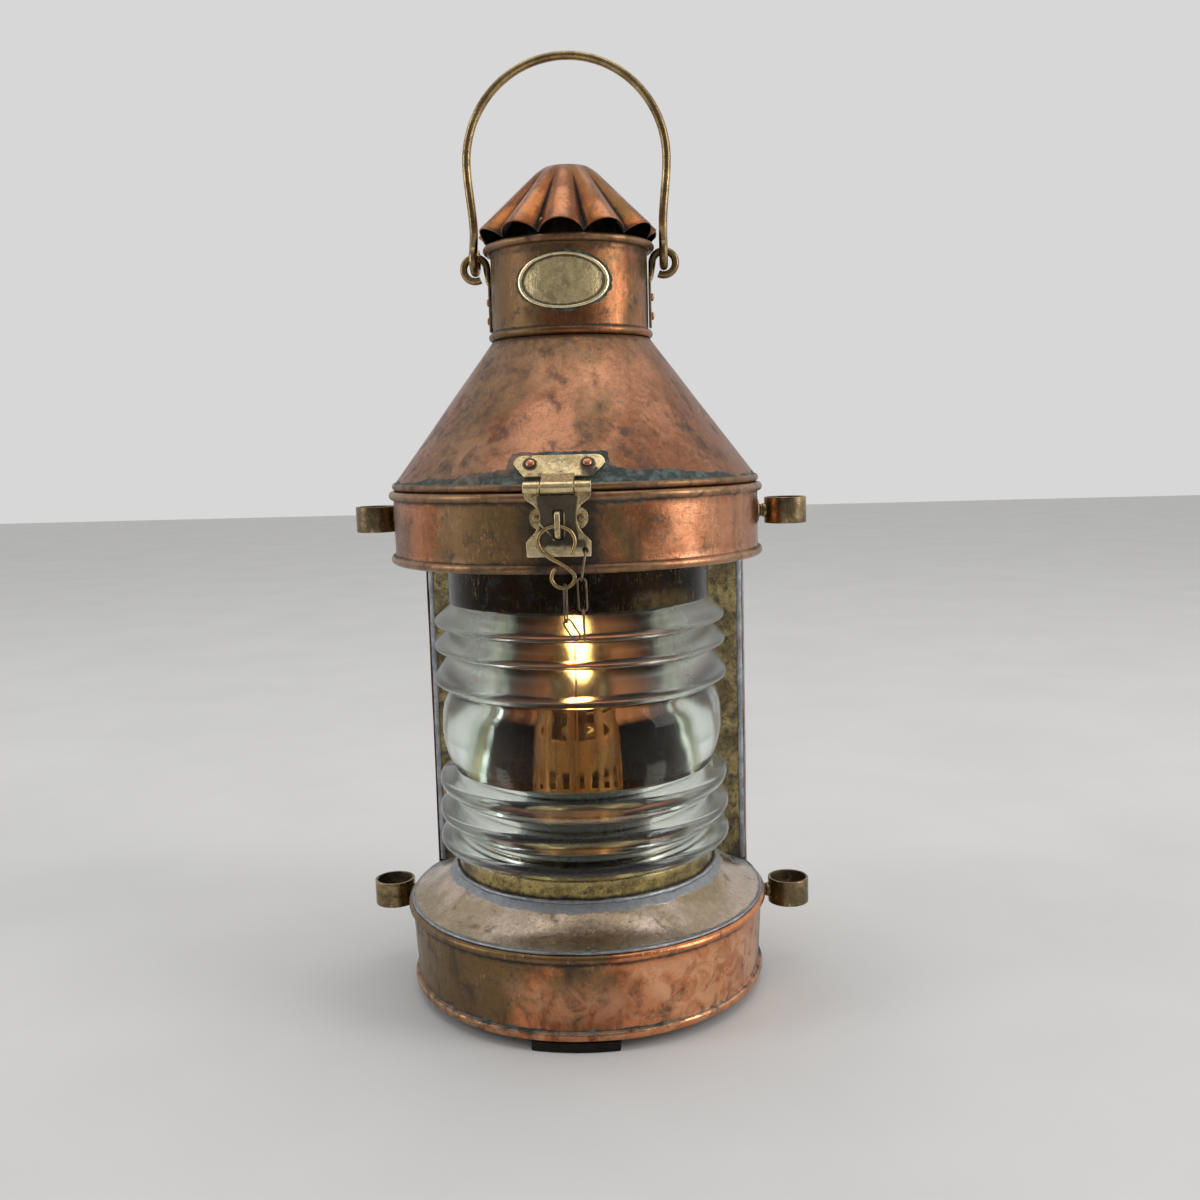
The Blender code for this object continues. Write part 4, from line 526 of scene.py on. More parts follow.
# The upper ring's brass is painted near black: painted shade under the drum's overhang, and soot.
shaded_sooty_brass = brass("upper ring brass darkened as painted shade and soot", (0.018, 0.011, 0.007), (0.010, 0.007, 0.005),
                    (0.005, 0.004, 0.003), (0.50, 0.46), scale=30.0, polish=0.8, shine=0.15,
                    bright=(0.50, 0.36, 0.14), extra=[(runs, {"Amount": 0.6})])
wing_brass = brass("speckled brass of the wings", (0.27, 0.215, 0.10), (0.125, 0.098, 0.05),
                   (0.035, 0.028, 0.02), (0.50, 0.50), scale=50.0, mottle=0.9, polish=0.5,
                   extra=[(solder, {})])
socket_brass = brass("dark brass of the mounting rings", (0.32, 0.235, 0.115),
                     (0.17, 0.125, 0.065), (0.06, 0.045, 0.03), (0.52, 0.47), scale=60.0,
                     polish=0.6, bright=(0.55, 0.42, 0.24))
inside_brass = brass("brass of the burner", (0.42, 0.32, 0.13), (0.25, 0.18, 0.075),
                     (0.07, 0.05, 0.03), (0.48, 0.42), scale=60.0, shine=0.0, dirt=0.0)
font_copper = brass("golden copper of the oil font", (0.62, 0.44, 0.22), (0.40, 0.26, 0.12),
                    (0.12, 0.08, 0.04), (0.46, 0.42), scale=30.0, shine=0.0, dirt=0.0)
dark_wire = brass("dark wire of the chain", (0.20, 0.14, 0.09), (0.11, 0.08, 0.055),
                  (0.045, 0.035, 0.03), (0.52, 0.45), scale=120.0, bright=(0.42, 0.32, 0.2),
                  dirt=0.0, shine=0.3)
tin_solder = metal("wiped solder", [(patina, {
    "Clean": (0.36, 0.37, 0.39), "Tarnish": (0.22, 0.23, 0.25), "Olive": (0.28, 0.28, 0.28),
    "Deep": (0.10, 0.11, 0.12), "Blotch Scale": 70.0, "Polish": 0.4})], 0.5, 0.001)
soot_black = metal("blackened board", [(patina, {
    "Clean": (0.030, 0.025, 0.021), "Tarnish": (0.018, 0.015, 0.013), "Olive": (0.02, 0.018, 0.014),
    "Deep": (0.008, 0.007, 0.006), "Blotch Scale": 40.0, "Polish": 0.2})])
print("finishes so far:", len(bpy.data.materials))

# %% [markdown]
# The lens is pressed glass with a faint green cast. Light bends in it, so the shader is a
# Principled glass with full transmission. The wick is cotton, and the flame gives its own light:
# yellow near its middle and orange at its rim and tip.

# %% Glass, cotton and flame
def make_glass():
    """Pale green pressed glass with faint ripples."""
    material = bpy.data.materials.new("pale green glass")
    material.use_nodes = True
    tree = material.node_tree
    shader = tree.nodes["Principled BSDF"]
    shader.inputs["Transmission Weight"].default_value = 1.0
    shader.inputs["IOR"].default_value = 1.5
    shader.inputs["Specular IOR Level"].default_value = 0.5
    own = place_in_piece(tree, (1, 1, 0.35))
    tone = ramp(tree, cloud(tree, own, 22.0, 4), 0.3, 0.7)
    colour = blend(tree, tone, (0.82, 0.92, 0.83, 1), (0.89, 0.955, 0.88, 1))
    tree.links.new(colour, shader.inputs["Base Color"])
    dust = ramp(tree, cloud(tree, place_in_piece(tree), 260.0, 6, 0.7), 0.55, 0.8)
    haze = add(tree, "Attribute", attribute_name="haze").outputs["Fac"]
    bright = add(tree, "Attribute", attribute_name="shine").outputs["Fac"]
    mirrored = blend(tree, bright, (0.2, 0.2, 0.2, 1), (1, 1, 1, 1))
    tree.links.new(mirrored, shader.inputs["Specular Tint"])
    rough = sums(tree, "ADD", sums(tree, "MULTIPLY", dust, 0.08), 0.03)
    rough = sums(tree, "ADD", rough, sums(tree, "MULTIPLY", haze, 0.26))
    tree.links.new(rough, shader.inputs["Roughness"])
    ripple = cloud(tree, own, 60.0, 3)
    bump = add(tree, "Bump", {"Height": ripple, "Strength": 0.10, "Distance": 0.0010})
    tree.links.new(bump.outputs["Normal"], shader.inputs["Normal"])
    return material


def make_cotton():
    """Woven cotton with a charred upper edge."""
    material = bpy.data.materials.new("wick cotton")
    material.use_nodes = True
    tree = material.node_tree
    shader = tree.nodes["Principled BSDF"]
    rows = add(tree, "TexWave", {"Vector": place_in_piece(tree), "Scale": 260.0,
                                 "Distortion": 1.0}, bands_direction="DIAGONAL")
    painted = add(tree, "Attribute", attribute_name="grime").outputs["Fac"]
    weave = blend(tree, rows.outputs["Fac"], (0.45, 0.38, 0.27, 1), (0.80, 0.74, 0.60, 1))
    charred = ramp(tree, painted, 0.3, 0.8)
    tree.links.new(blend(tree, charred, weave, (0.02, 0.015, 0.012, 1)),
                   shader.inputs["Base Color"])
    shader.inputs["Roughness"].default_value = 0.9
    bump = add(tree, "Bump", {"Height": rows.outputs["Fac"], "Strength": 0.5,
                              "Distance": 0.0005})
    tree.links.new(bump.outputs["Normal"], shader.inputs["Normal"])
    return material


def make_flame_light():
    """The light of the flame: pale yellow inside, orange at the rim."""
    material = bpy.data.materials.new("flame light")
    material.use_nodes = True
    tree = material.node_tree
    shader = tree.nodes["Principled BSDF"]
    facing = add(tree, "LayerWeight", {"Blend": 0.35}).outputs["Facing"]
    painted = add(tree, "Attribute", attribute_name="shine").outputs["Fac"]
    rim = sums(tree, "MAXIMUM", ramp(tree, facing, 0.35, 0.95), painted)
    tree.links.new(blend(tree, rim, (1.0, 0.58, 0.20, 1), (1.0, 0.25, 0.03, 1)),
                   shader.inputs["Emission Color"])
    shader.inputs["Emission Strength"].default_value = FLAME_STRENGTH
    shader.inputs["Base Color"].default_value = (0.02, 0.01, 0.005, 1)
    shader.inputs["Roughness"].default_value = 1.0
    return material


def make_lit_copper():
    """Copper with painted flame light: an amber to red emission, with brighter tongues."""
    material = copper("copper lit by the flame", (0.20, 0.07, 0.022), (0.11, 0.036, 0.012),
                      (0.12, 0.065, 0.018), (0.05, 0.022, 0.01), (0.48, 0.46, 0.42), scale=50.0,
                      shine=0.0, dirt=0.0, polish=0.7)
    tree = material.node_tree
    shader = tree.nodes["Principled BSDF"]
    # The painted glow value sets painted flame light, amber low down and red high up.
    height = add(tree, "Attribute", attribute_name="glow").outputs["Fac"]
    tongues = ramp(tree, cloud(tree, place_in_piece(tree, (1, 1, 0.16)), 120.0, 4, 0.6), 0.40, 0.66)
    glow = blend(tree, height, (0.22, 0.12, 0.025, 1), (0.17, 0.030, 0.004, 1))
    lit = blend(tree, sums(tree, "MULTIPLY", tongues, 0.55), glow, (0.80, 0.27, 0.045, 1))
    tree.links.new(lit, shader.inputs["Emission Color"])
    shader.inputs["Emission Strength"].default_value = 0.29
    return material


FLAME_STRENGTH = 7.0
lens_glass = make_glass()
wick_cotton = make_cotton()
flame_light = make_flame_light()
lit_copper = make_lit_copper()
print("materials:", len(bpy.data.materials))

# %% [markdown]
# Almost every large piece of the lantern was spun or rolled round one axis. A profile of
# radius and height points, turned round that axis, gives the sheet its two faces at once.
# Square corners are rounded first, because real edges catch the light. A little smooth noise
# then pushes the wall inwards, as years of knocks have done.

# %% Helpers for profiles
def arc(centre_r, centre_z, radius, start, end, steps=12, squareness=1.0):
    """Points of an arc, angles in degrees. A low squareness makes its nose flatter."""
    points = []
    for i in range(steps + 1):
        angle = math.radians(start + (end - start) * i / steps)
        swell = math.copysign(abs(math.cos(angle)) ** squareness, math.cos(angle))
        points.append((centre_r + radius * swell, centre_z + radius * math.sin(angle)))
    return points


def round_corners(outline, radius, steps=3, closed=True, least=20):
    """The outline with its sharp corners replaced by small arcs."""
    count = len(outline)
    result = []
    for i, point in enumerate(outline):
        here = Vector(point)
        if not closed and i in (0, count - 1):
            result.append(point)
            continue
        back = Vector(outline[i - 1]) - here
        ahead = Vector(outline[(i + 1) % count]) - here
        bend = math.degrees(math.pi - back.angle(ahead, math.pi))
        if bend < least:
            result.append(point)
            continue
        cut = min(radius, back.length * 0.45, ahead.length * 0.45)
        first = here + back.normalized() * cut
        last = here + ahead.normalized() * cut
        for k in range(steps + 1):
            t = k / steps
            bent = first * (1 - t) ** 2 + here * 2 * t * (1 - t) + last * t * t
            result.append((bent.x, bent.y))
    return result


def fill_long_runs(outline, longest, closed=True):
    """The outline with extra points on its long straight runs."""
    result = []
    count = len(outline)
    for i, point in enumerate(outline):
        result.append(point)
        if not closed and i == count - 1:
            continue
        following = outline[(i + 1) % count]
        length = math.dist(point, following)
        parts = math.ceil(length / longest)
        for k in range(1, parts):
            t = k / parts
            result.append((point[0] + (following[0] - point[0]) * t,
                           point[1] + (following[1] - point[1]) * t))
    return result


# %% Helpers that make and dent a mesh
def mesh_piece(name, bm, sharp=40):
    """An object from a bmesh, shaded smooth except at sharp edges."""
    bmesh.ops.recalc_face_normals(bm, faces=bm.faces)
    mesh = bpy.data.meshes.new(name)
    bm.to_mesh(mesh)
    bm.free()
    mesh.shade_smooth()
    mesh.set_sharp_from_angle(angle=math.radians(sharp))
    piece = bpy.data.objects.new(name, mesh)
    bpy.context.scene.collection.objects.link(piece)
    return piece


def dent(bm, depth, spacing, seed):
    """Push a turned wall inwards by smooth noise, never outwards."""
    for vertex in bm.verts:
        radius = math.hypot(vertex.co.x, vertex.co.y)
        if radius < GAP:
            continue
        spot = vertex.co / spacing + Vector((seed, seed * 2.0, seed * 3.0))
        push = 0.5 + 0.5 * (noise.noise(spot) + 0.4 * noise.noise(spot * 2.7))
        push = min(max(push, 0.0), 1.0)
        vertex.co.x *= 1 - depth * push / radius
        vertex.co.y *= 1 - depth * push / radius


def turned(name, outline, steps=ROUND_STEPS, closed=True, dents=0.0, spacing=0.03, seed=1.0,
           rounding=0.0004, longest=0.004):
    """A piece turned round the lantern's axis from its profile."""
    outline = fill_long_runs(round_corners(outline, rounding, closed=closed), longest, closed)
    bm = bmesh.new()
    chain = [bm.verts.new((r, 0.0, z)) for r, z in outline]
    edges = [bm.edges.new(pair) for pair in zip(chain, chain[1:])]
    if closed:
        edges.append(bm.edges.new((chain[-1], chain[0])))
    bmesh.ops.spin(bm, geom=chain + edges, cent=(0, 0, 0), axis=(0, 0, 1), dvec=(0, 0, 0),
                   angle=TAU, steps=steps, use_merge=True)
    bmesh.ops.remove_doubles(bm, verts=bm.verts, dist=GAP / 30)
    if dents:
        dent(bm, dents, spacing, seed)
    return mesh_piece(name, bm)


# %% Helpers that paint and finish a piece
def azimuth_of(place):
    """The azimuth of a point, from the front."""
    return math.atan2(place.x, -place.y)


def wall_point(radius, azimuth, height):
    """A point at an azimuth from the front."""
    return Vector((radius * math.sin(azimuth), -radius * math.cos(azimuth), height))


def soft_band(value, centre, half_width, edge):
    """1 within half_width of the centre, and down to 0 over the edge."""
    return min(max(1 + (half_width - abs(value - centre)) / edge, 0.0), 1.0)


def paint(piece, **rules):
    """Write a value to each vertex: grime, stain, shine or solder."""
    mesh = piece.data
    for name, rule in rules.items():
        layer = mesh.attributes.new(name, "FLOAT", "POINT")
        layer.data.foreach_set("value", [rule(vertex.co) for vertex in mesh.vertices])


def settle(piece, material, body, slot, *nodes):
    """Give a piece its material and body, and say which CAD nodes it stands for."""
    piece.data.materials.clear()
    piece.data.materials.append(material)
    if nodes:
        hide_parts(*nodes)
    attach(piece, body)
    return piece


def refinish(node, material, edge=0.0003):
    """A CAD node that stays, with a better material and softened edges."""
    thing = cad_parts[node]
    for place in thing.material_slots:
        place.material = material
    if edge:
        bevel = thing.modifiers.new("soft edges", "BEVEL")
        bevel.width = edge
        bevel.segments = 2
        bevel.limit_method = "ANGLE"
        bevel.angle_limit = math.radians(40)
    return thing


# %% Helpers for flat plates
def add_cuts(bm, spacing):
    """Cut a flat plate into a grid, so that it has points to paint and to shade."""
    for axis in (Vector((1, 0, 0)), Vector((0, 0, 1))):
        sides = [vertex.co.dot(axis) for vertex in bm.verts]
        low, high = min(sides), max(sides)
        count = math.ceil((high - low) / spacing)
        for i in range(1, count):
            place = axis * (low + (high - low) * i / count)
            everything = list(bm.verts) + list(bm.edges) + list(bm.faces)
            bmesh.ops.bisect_plane(bm, geom=everything, plane_co=place, plane_no=axis,
                                   dist=GAP / 30)


def flat_cut(name, outlines, thickness, centre_y, edge=0.0003, spacing=0.0012):
    """An upright plate cut from outlines in (x, z), with softened edges."""
    data = bpy.data.curves.new(name, "CURVE")
    data.dimensions = "2D"
    data.fill_mode = "BOTH"
    data.extrude = thickness / 2 - edge
    data.bevel_depth = edge
    data.bevel_resolution = 2
    data.offset = -edge
    for outline in outlines:
        spline = data.splines.new("POLY")
        spline.points.add(len(outline) - 1)
        for point, (x, z) in zip(spline.points, outline):
            point.co = (x, z, 0.0, 1.0)
        spline.use_cyclic_u = True
    draft = bpy.data.objects.new(name + "_draft", data)
    bpy.context.scene.collection.objects.link(draft)
    upright = Matrix(((1, 0, 0, 0), (0, 0, 1, centre_y), (0, 1, 0, 0), (0, 0, 0, 1)))
    graph = bpy.context.evaluated_depsgraph_get()
    graph.update()
    mesh = bpy.data.meshes.new_from_object(draft.evaluated_get(graph), depsgraph=graph)
    bpy.data.objects.remove(draft, do_unlink=True)
    bm = bmesh.new()
    bm.from_mesh(mesh)
    bmesh.ops.remove_doubles(bm, verts=bm.verts, dist=GAP / 30)
    bmesh.ops.transform(bm, matrix=upright, verts=bm.verts)
    add_cuts(bm, spacing)
    return mesh_piece(name, bm, 30)


# %% [markdown]
# The base is a rolled copper drum with a bead at its top and a flat wired hem at its foot.
# It could be three pieces, but the sheet was worked in one, so one profile runs down the outside
# and up the inside. The wall is painted with a green line where water sat on the hem, with a painted
# highlight at the right front, where the light falls and the copper shows pink, and with painted
# shade on its left side and under the bead. The middle band and the hem are made brighter too.

# %% The base drum
BASE_TAPER = 0.0023
base_foot_radius = base_radius - BASE_TAPER


def make_base():
    """The copper base with its bead and hem."""
    outline = [(base_radius - SHEET, base_high)]
    outline += arc(base_radius, base_high - BEAD, BEAD, 90, -90)
    outline += arc(base_foot_radius, base_low + HEM, HEM, 90, -90, squareness=0.35)
    outline += [(base_foot_radius - SHEET, base_low)]
    piece = turned("copper_base", outline, dents=0.0005, seed=2.0)
    hem_top = base_low + 2 * HEM

    def stain(co):
        line = soft_band(co.z, hem_top + 0.0004, 0.0006, 0.0022)
        return 0.62 * line

    # Painted shade: a darker band under the bead and a darker left side.
    def grime_rule(co):
        under_bead = soft_band(co.z, base_high - 2 * BEAD - 0.0006, 0.0008, 0.003)
        left = soft_band(azimuth_of(co), -1.0, 0.4, 0.6) * 0.34
        return max(under_bead * 0.75, left)

    # The right front patch is a painted highlight where the light falls; the middle band and the hem are
    # made brighter too.
    def shine_rule(co):
        azimuth = azimuth_of(co) + 8 * (co.z - 0.03)
        patch = soft_band(azimuth, 0.82, 0.34, 0.16) * soft_band(co.z, 0.030, 0.016, 0.008)
        middle = soft_band(azimuth, 0.02, 0.20, 0.2) * soft_band(co.z, 0.028, 0.006, 0.010)
        hem = soft_band(co.z, base_low + HEM, HEM, 0.0003)
        return max(1.0 * patch, 0.45 * middle, 0.5 * hem)

    # Painted shade on the left side, and painted light on the right front, which is made cleaner and
    # brighter.
    def tarnish_rule(co):
        azimuth = azimuth_of(co)
        right = soft_band(azimuth, 0.80, 0.35, 0.3)
        return soft_band(azimuth, -1.1, 0.50, 0.4) + 0.25 * (1 - right) - 1.4 * right

    paint(piece, stain=stain, grime=grime_rule, shine=shine_rule, tarnish=tarnish_rule)
    return settle(piece, base_copper, "lantern", "copper", "base_drum")


base = make_base()
# The base's bottom plate gets the copper darkened as painted shade.
refinish("base_bottom_plate", shaded_inside_copper)
print("base vertices:", len(base.data.vertices))

# %% [markdown]
# The lantern stands on a blackened foot board, a cross whose front arm just shows. Its side
# arms end a little inside the hem. It is one outline, cut flat and laid down.

# %% The foot board
FOOT_ARM = 0.052
FOOT_SIDE_REACH = 0.101


def make_foot():
    """The cross under the base."""
    low, high = levels("foot_cross")
    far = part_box("foot_cross")[1].y
    half = FOOT_ARM / 2
    curve = [(half - 2 * half * i / 8, far) for i in range(9)]
    curve = [(x, math.sqrt(far * far - x * x)) for x, y in curve]
    front = [(half, half), (half, curve[0][1])] + curve[1:-1] + [(-half, curve[-1][1]), (-half, half)]
    back = [(-x, -y) for x, y in front]
    left = [(-FOOT_SIDE_REACH, half), (-FOOT_SIDE_REACH, -half)]
    right = [(-x, -y) for x, y in left]
    outline = front + left + back + right
    piece = flat_cut("foot_board", [outline], high - low, 0.0, 0.0008, 0.006)
    lay_flat = Matrix(((1, 0, 0, 0), (0, 0, 1, 0), (0, -1, 0, (low + high) / 2), (0, 0, 0, 1)))
    piece.data.transform(lay_flat)
    return settle(piece, soot_black, "lantern", "blackened", "foot_cross")


make_foot()
print("foot board arm %.0f mm" % (FOOT_ARM * 1000))

# %% [markdown]
# A sloped plate closes the base and carries the lower lens ring. On the real object it was raised
# from sheet and sweated on with tin solder, which was wiped along both edges and has gone
# grey. The slope is a smooth curve through a few points, and the solder is painted in two bands.

# %% The sloped plate on the base
COVE_SHARES = ((0.0, 0.0), (0.1, 0.03), (0.4, 0.24), (0.75, 0.63), (1.0, 1.0))


def smooth_path(points, steps):
    """Points of a smooth curve through a few given ones."""
    track = [Vector(p) for p in points]
    padded = [2 * track[0] - track[1]] + track + [2 * track[-1] - track[-2]]
    result = []
    for i in range(1, len(padded) - 2):
        before, a, b, after = padded[i - 1:i + 3]
        for k in range(steps):
            t = k / steps
            result.append((2 * a + (b - before) * t
                           + (2 * before - 5 * a + 4 * b - after) * t ** 2
                           + (3 * a - before - 3 * b + after) * t ** 3) / 2)
    result.append(track[-1])
    return result


def make_cove():
    """The sloped plate between the base and the lens ring."""
    inner = ring_outer + GAP
    rise = cove_high - cove_low - SHEET
    upper = [(base_radius + (inner - base_radius) * inward, cove_low + SHEET + rise * up)
             for inward, up in COVE_SHARES]
    upper = [(p.x, p.y) for p in smooth_path(upper, 6)]
    lower = [(r, z - SHEET) for r, z in reversed(upper)]
    piece = turned("sloped_base_plate", upper + lower, dents=0.0, rounding=0.0003)

    def solder_rule(co):
        radius = math.hypot(co.x, co.y)
        inside = soft_band(radius, inner, 0.0035, 0.006)
        outside = soft_band(radius, base_radius, 0.0012, 0.003)
        side = soft_band(abs(azimuth_of(co)), 1.95, 0.10, 0.25)
        return max(0.85 * inside, 0.7 * outside, 0.6 * side)

    paint(piece, solder=solder_rule)
    return settle(piece, cove_copper, "lantern", "brown_copper", "base_top_plate")


def make_solder_fillet(name, radius, height, size, seed):
    """A lumpy fillet of solder round a joint."""
    outline = arc(radius, height, size, -30, 120, 7) + [(radius - size, height - size)]
    piece = turned(name, outline, rounding=0.0001)
    for vertex in piece.data.vertices:
        spot = vertex.co * 55 + Vector((seed, 0, 0))
        lump = 0.72 + 0.28 * noise.noise(spot) + 0.18 * noise.noise(spot * 3)
        away = math.hypot(vertex.co.x, vertex.co.y) - radius
        share = 1 + away * (lump - 1) / radius
        vertex.co.x *= share
        vertex.co.y *= share
        vertex.co.z = height + (vertex.co.z - height) * lump
    return settle(piece, tin_solder, "lantern", "aged_brass")


cove = make_cove()
make_solder_fillet("solder_at_ring_foot", ring_outer + 0.0012, cove_high - 0.0012, 0.0022, 1.0)
make_solder_fillet("solder_at_base_edge", base_radius - 0.0006, cove_low + 0.0004, 0.0014, 4.0)
print("cove rises %.1f mm" % ((cove_high - cove_low) * 1000))

# %% [markdown]
# Two brass rings hold the glass. Each is a band with a ledge inside, on which the glass rests.
# The upper ring hangs from the drum's floor, in the shade of the drum, and its brass is painted nearly
# black as that shade and as soot, with a painted reflection at its right. The lower one is bright enough
# to show its olive brass.

# %% The two lens rings
RING_WALL = 0.0018
LENS_WALL = 0.0062
LEDGE = 0.0016
ring_inner = ring_outer - RING_WALL
seat_radius = ring_inner - GAP


def make_rings():
    """The lower and upper lens rings."""
    ledge = seat_radius - LENS_WALL
    seat = lens_low - GAP
    low = [(ring_inner, low_ring_high), (ring_outer, low_ring_high),
           (ring_outer, low_ring_low), (ring_inner, low_ring_low), (ring_inner, seat - LEDGE),
           (ledge, seat - LEDGE), (ledge, seat), (ring_inner, seat)]
    lower = turned("lower_glass_ring", low, dents=0.0002, seed=5.0)
    paint(lower, grime=lambda co: 0.7 * soft_band(co.z, cove_high, 0.001, 0.004),
          shine=lambda co: 0.6 * soft_band(co.z, low_ring_high, 0.0008, 0.001))
    settle(lower, ring_brass, "lantern", "aged_brass", "lower_lens_ring")
    seat = lens_high + GAP
    high = [(ring_inner, high_ring_high), (ring_outer, high_ring_high),
            (ring_outer, high_ring_low), (ring_inner, high_ring_low), (ring_inner, seat),
            (ledge, seat), (ledge, seat + LEDGE), (ring_inner, seat + LEDGE)]
    upper = turned("upper_glass_ring", high, dents=0.0002, seed=6.0)
    # A painted reflection low on the right of the upper ring.
    paint(upper, shine=lambda co: 0.9 * soft_band(azimuth_of(co), 0.75, 0.2, 0.12)
          * soft_band(co.z, high_ring_low, 0.006, 0.006))
    settle(upper, shaded_sooty_brass, "lantern", "aged_brass", "upper_lens_ring")


make_rings()
# The drum's floor plate gets the copper darkened as painted shade.
refinish("drum_floor_plate", shaded_inside_copper)
print("glass seat radius %.4f" % seat_radius)

# %% [markdown]
# The lens bends the flame's light into a level beam. Its outside has three prisms above and three
# below a bulging belt, and its inside is a plain cylinder. It covers 225 degrees. The profile is
# swept between two azimuths, with close steps at the front where the mould left a seam.

# %% The drum lens
PRISM_DEPTH = 0.0124
LENS_HALF_ARC = math.radians(111.6)
SEAM_AZIMUTH = math.radians(2.4)
SEAM_HALF_WIDTH = 0.0005
SEAM_HEIGHT = 0.00022
LENS_SHARES = (
    (0.0, 0.0), (0.019, 0.0), (0.082, 0.95), (0.098, 0.92), (0.115, 0.16),
    (0.175, 0.98), (0.192, 0.96), (0.21, 0.2), (0.30, 1.04), (0.32, 1.02), (0.35, 0.24),
    (0.405, 0.6), (0.47, 0.73), (0.535, 0.72), (0.605, 0.5), (0.656, 0.18),
    (0.682, 0.92), (0.704, 1.0), (0.73, 0.9), (0.766, 0.22), (0.8, 1.0), (0.825, 1.07),
    (0.848, 0.9), (0.884, 0.2), (0.915, 1.0), (0.938, 1.07), (0.96, 0.85), (0.981, 0.0),
    (1.0, 0.0))


def lens_outline():
    """The lens's profile: prisms with rounded crests, and a belt that is one smooth curve."""
    height = lens_high - lens_low
    outer = [(seat_radius + PRISM_DEPTH * stand, lens_high - height * depth)
             for depth, stand in LENS_SHARES]
    belt = [(p.x, p.y) for p in smooth_path(outer[10:16], 6)]
    outer = outer[:10] + belt + outer[16:]
    return [(seat_radius - LENS_WALL, lens_high)] + outer + [(seat_radius - LENS_WALL, lens_low)]


def make_lens():
    """The glass, swept from one wing to the other."""
    outline = round_corners(lens_outline(), 0.0016, 5, least=14)
    outline = fill_long_runs(outline, 0.006)
    azimuths = [-LENS_HALF_ARC + 2 * LENS_HALF_ARC * i / 120 for i in range(121)]
    seam = SEAM_HALF_WIDTH / seat_radius
    azimuths = [a for a in azimuths if abs(a - SEAM_AZIMUTH) > 2.2 * seam]
    azimuths += [SEAM_AZIMUTH + seam * k for k in (-2, -1, 0, 1, 2)]
    azimuths.sort()
    bm = bmesh.new()
    rows = []
    for azimuth in azimuths:
        lift = SEAM_HEIGHT * max(0.0, 1 - abs(azimuth - SEAM_AZIMUTH) / (1.1 * seam))
        row = []
        for radius, height in outline:
            grown = radius + (lift if radius > seat_radius + GAP else 0.0)
            row.append(bm.verts.new(wall_point(grown, azimuth, height)))
        rows.append(row)
    count = len(outline)
    for row, following in zip(rows, rows[1:]):
        for k in range(count):
            j = (k + 1) % count
            bm.faces.new((row[k], row[j], following[j], following[k]))
    bm.faces.new(rows[0])
    bm.faces.new(rows[-1])
    piece = mesh_piece("drum_lens", bm, 50)
    belt_middle = lens_high - (lens_high - lens_low) * 0.5
    belt_half = (lens_high - lens_low) * 0.155

    def haze_rule(co):
        side = 1 - soft_band(azimuth_of(co), 0.06, 0.50, 0.35)
        belt = soft_band(co.z, belt_middle, belt_half, 0.004)
        above = 0.50 * soft_band(co.z, lens_high, belt_middle - lens_low - belt_half, 0.004)
        below = 0.22 * soft_band(co.z, lens_low, belt_middle - lens_low - belt_half, 0.004)
        clear = 0.7 * belt + 0.35 * soft_band(co.z, lens_low, belt_middle - lens_low - belt_half, 0.004)
        return max(side * (1 - min(clear, 1.0)), above, below)

    def shine_rule(co):
        return 1 - soft_band(co.z, belt_middle, belt_half, 0.004)

    paint(piece, haze=haze_rule, shine=shine_rule)
    return settle(piece, lens_glass, "lantern", "glass", "lens")


lens = make_lens()
print("lens vertices:", len(lens.data.vertices))

# %% [markdown]
# Behind the glass a brass screen at each side runs out to the back shell, so that no light
# gets past the sector. Each screen is cut flat, with notches for the rings, and has its
# speckled brass. Their outer edges are soldered to the shell, in a grey strip from top to bottom.
# The shell is bright copper outside; its inner faces get a second material, copper darkened as painted
# shade, with painted flame light behind the flame.

# %% The wing screens and the back shell
WING_AZIMUTH = math.radians(112.5)
STRIP_WIDTH = 0.0042


def make_wing(side, name, node):
    """A flat brass screen with notches for the rings and the drum's edge."""
    low, high = levels(node)
    inner = seat_radius - LENS_WALL
    outer = shell_radius - SHEET - GAP
    notch = ring_outer + GAP
    step = drum_radius - SHEET - GAP
    under = drum_low - GAP
    foot = [(notch + (outer - notch) * inward, base_high + GAP + SHEET + GAP
             + (cove_high - cove_low - SHEET) * (1 - inward) ** 1.8) for inward in
            (0.0, 0.15, 0.35, 0.6, 0.8, 1.0)]
    outline = [(inner, low_ring_high + GAP), (notch, low_ring_high + GAP)] + foot
    outline += [(outer, under), (step, under), (step, high), (notch, high),
                (notch, high_ring_low - GAP), (inner, high_ring_low - GAP)]
    piece = flat_cut(name, [outline], SHEET, 0.0, 0.0002, 0.004)
    azimuth = side * WING_AZIMUTH
    piece.data.transform(Matrix.Rotation(azimuth - math.pi / 2, 4, "Z"))
    paint(piece, grime=lambda co: 0.5 * soft_band(co.z, low, 0.010, 0.02),
          solder=lambda co: 0.6 * soft_band(math.hypot(co.x, co.y), notch, 0.0, 0.003)
          * soft_band(co.z, low, 0.004, 0.01))
    return settle(piece, wing_brass, "lantern", "brass", node)


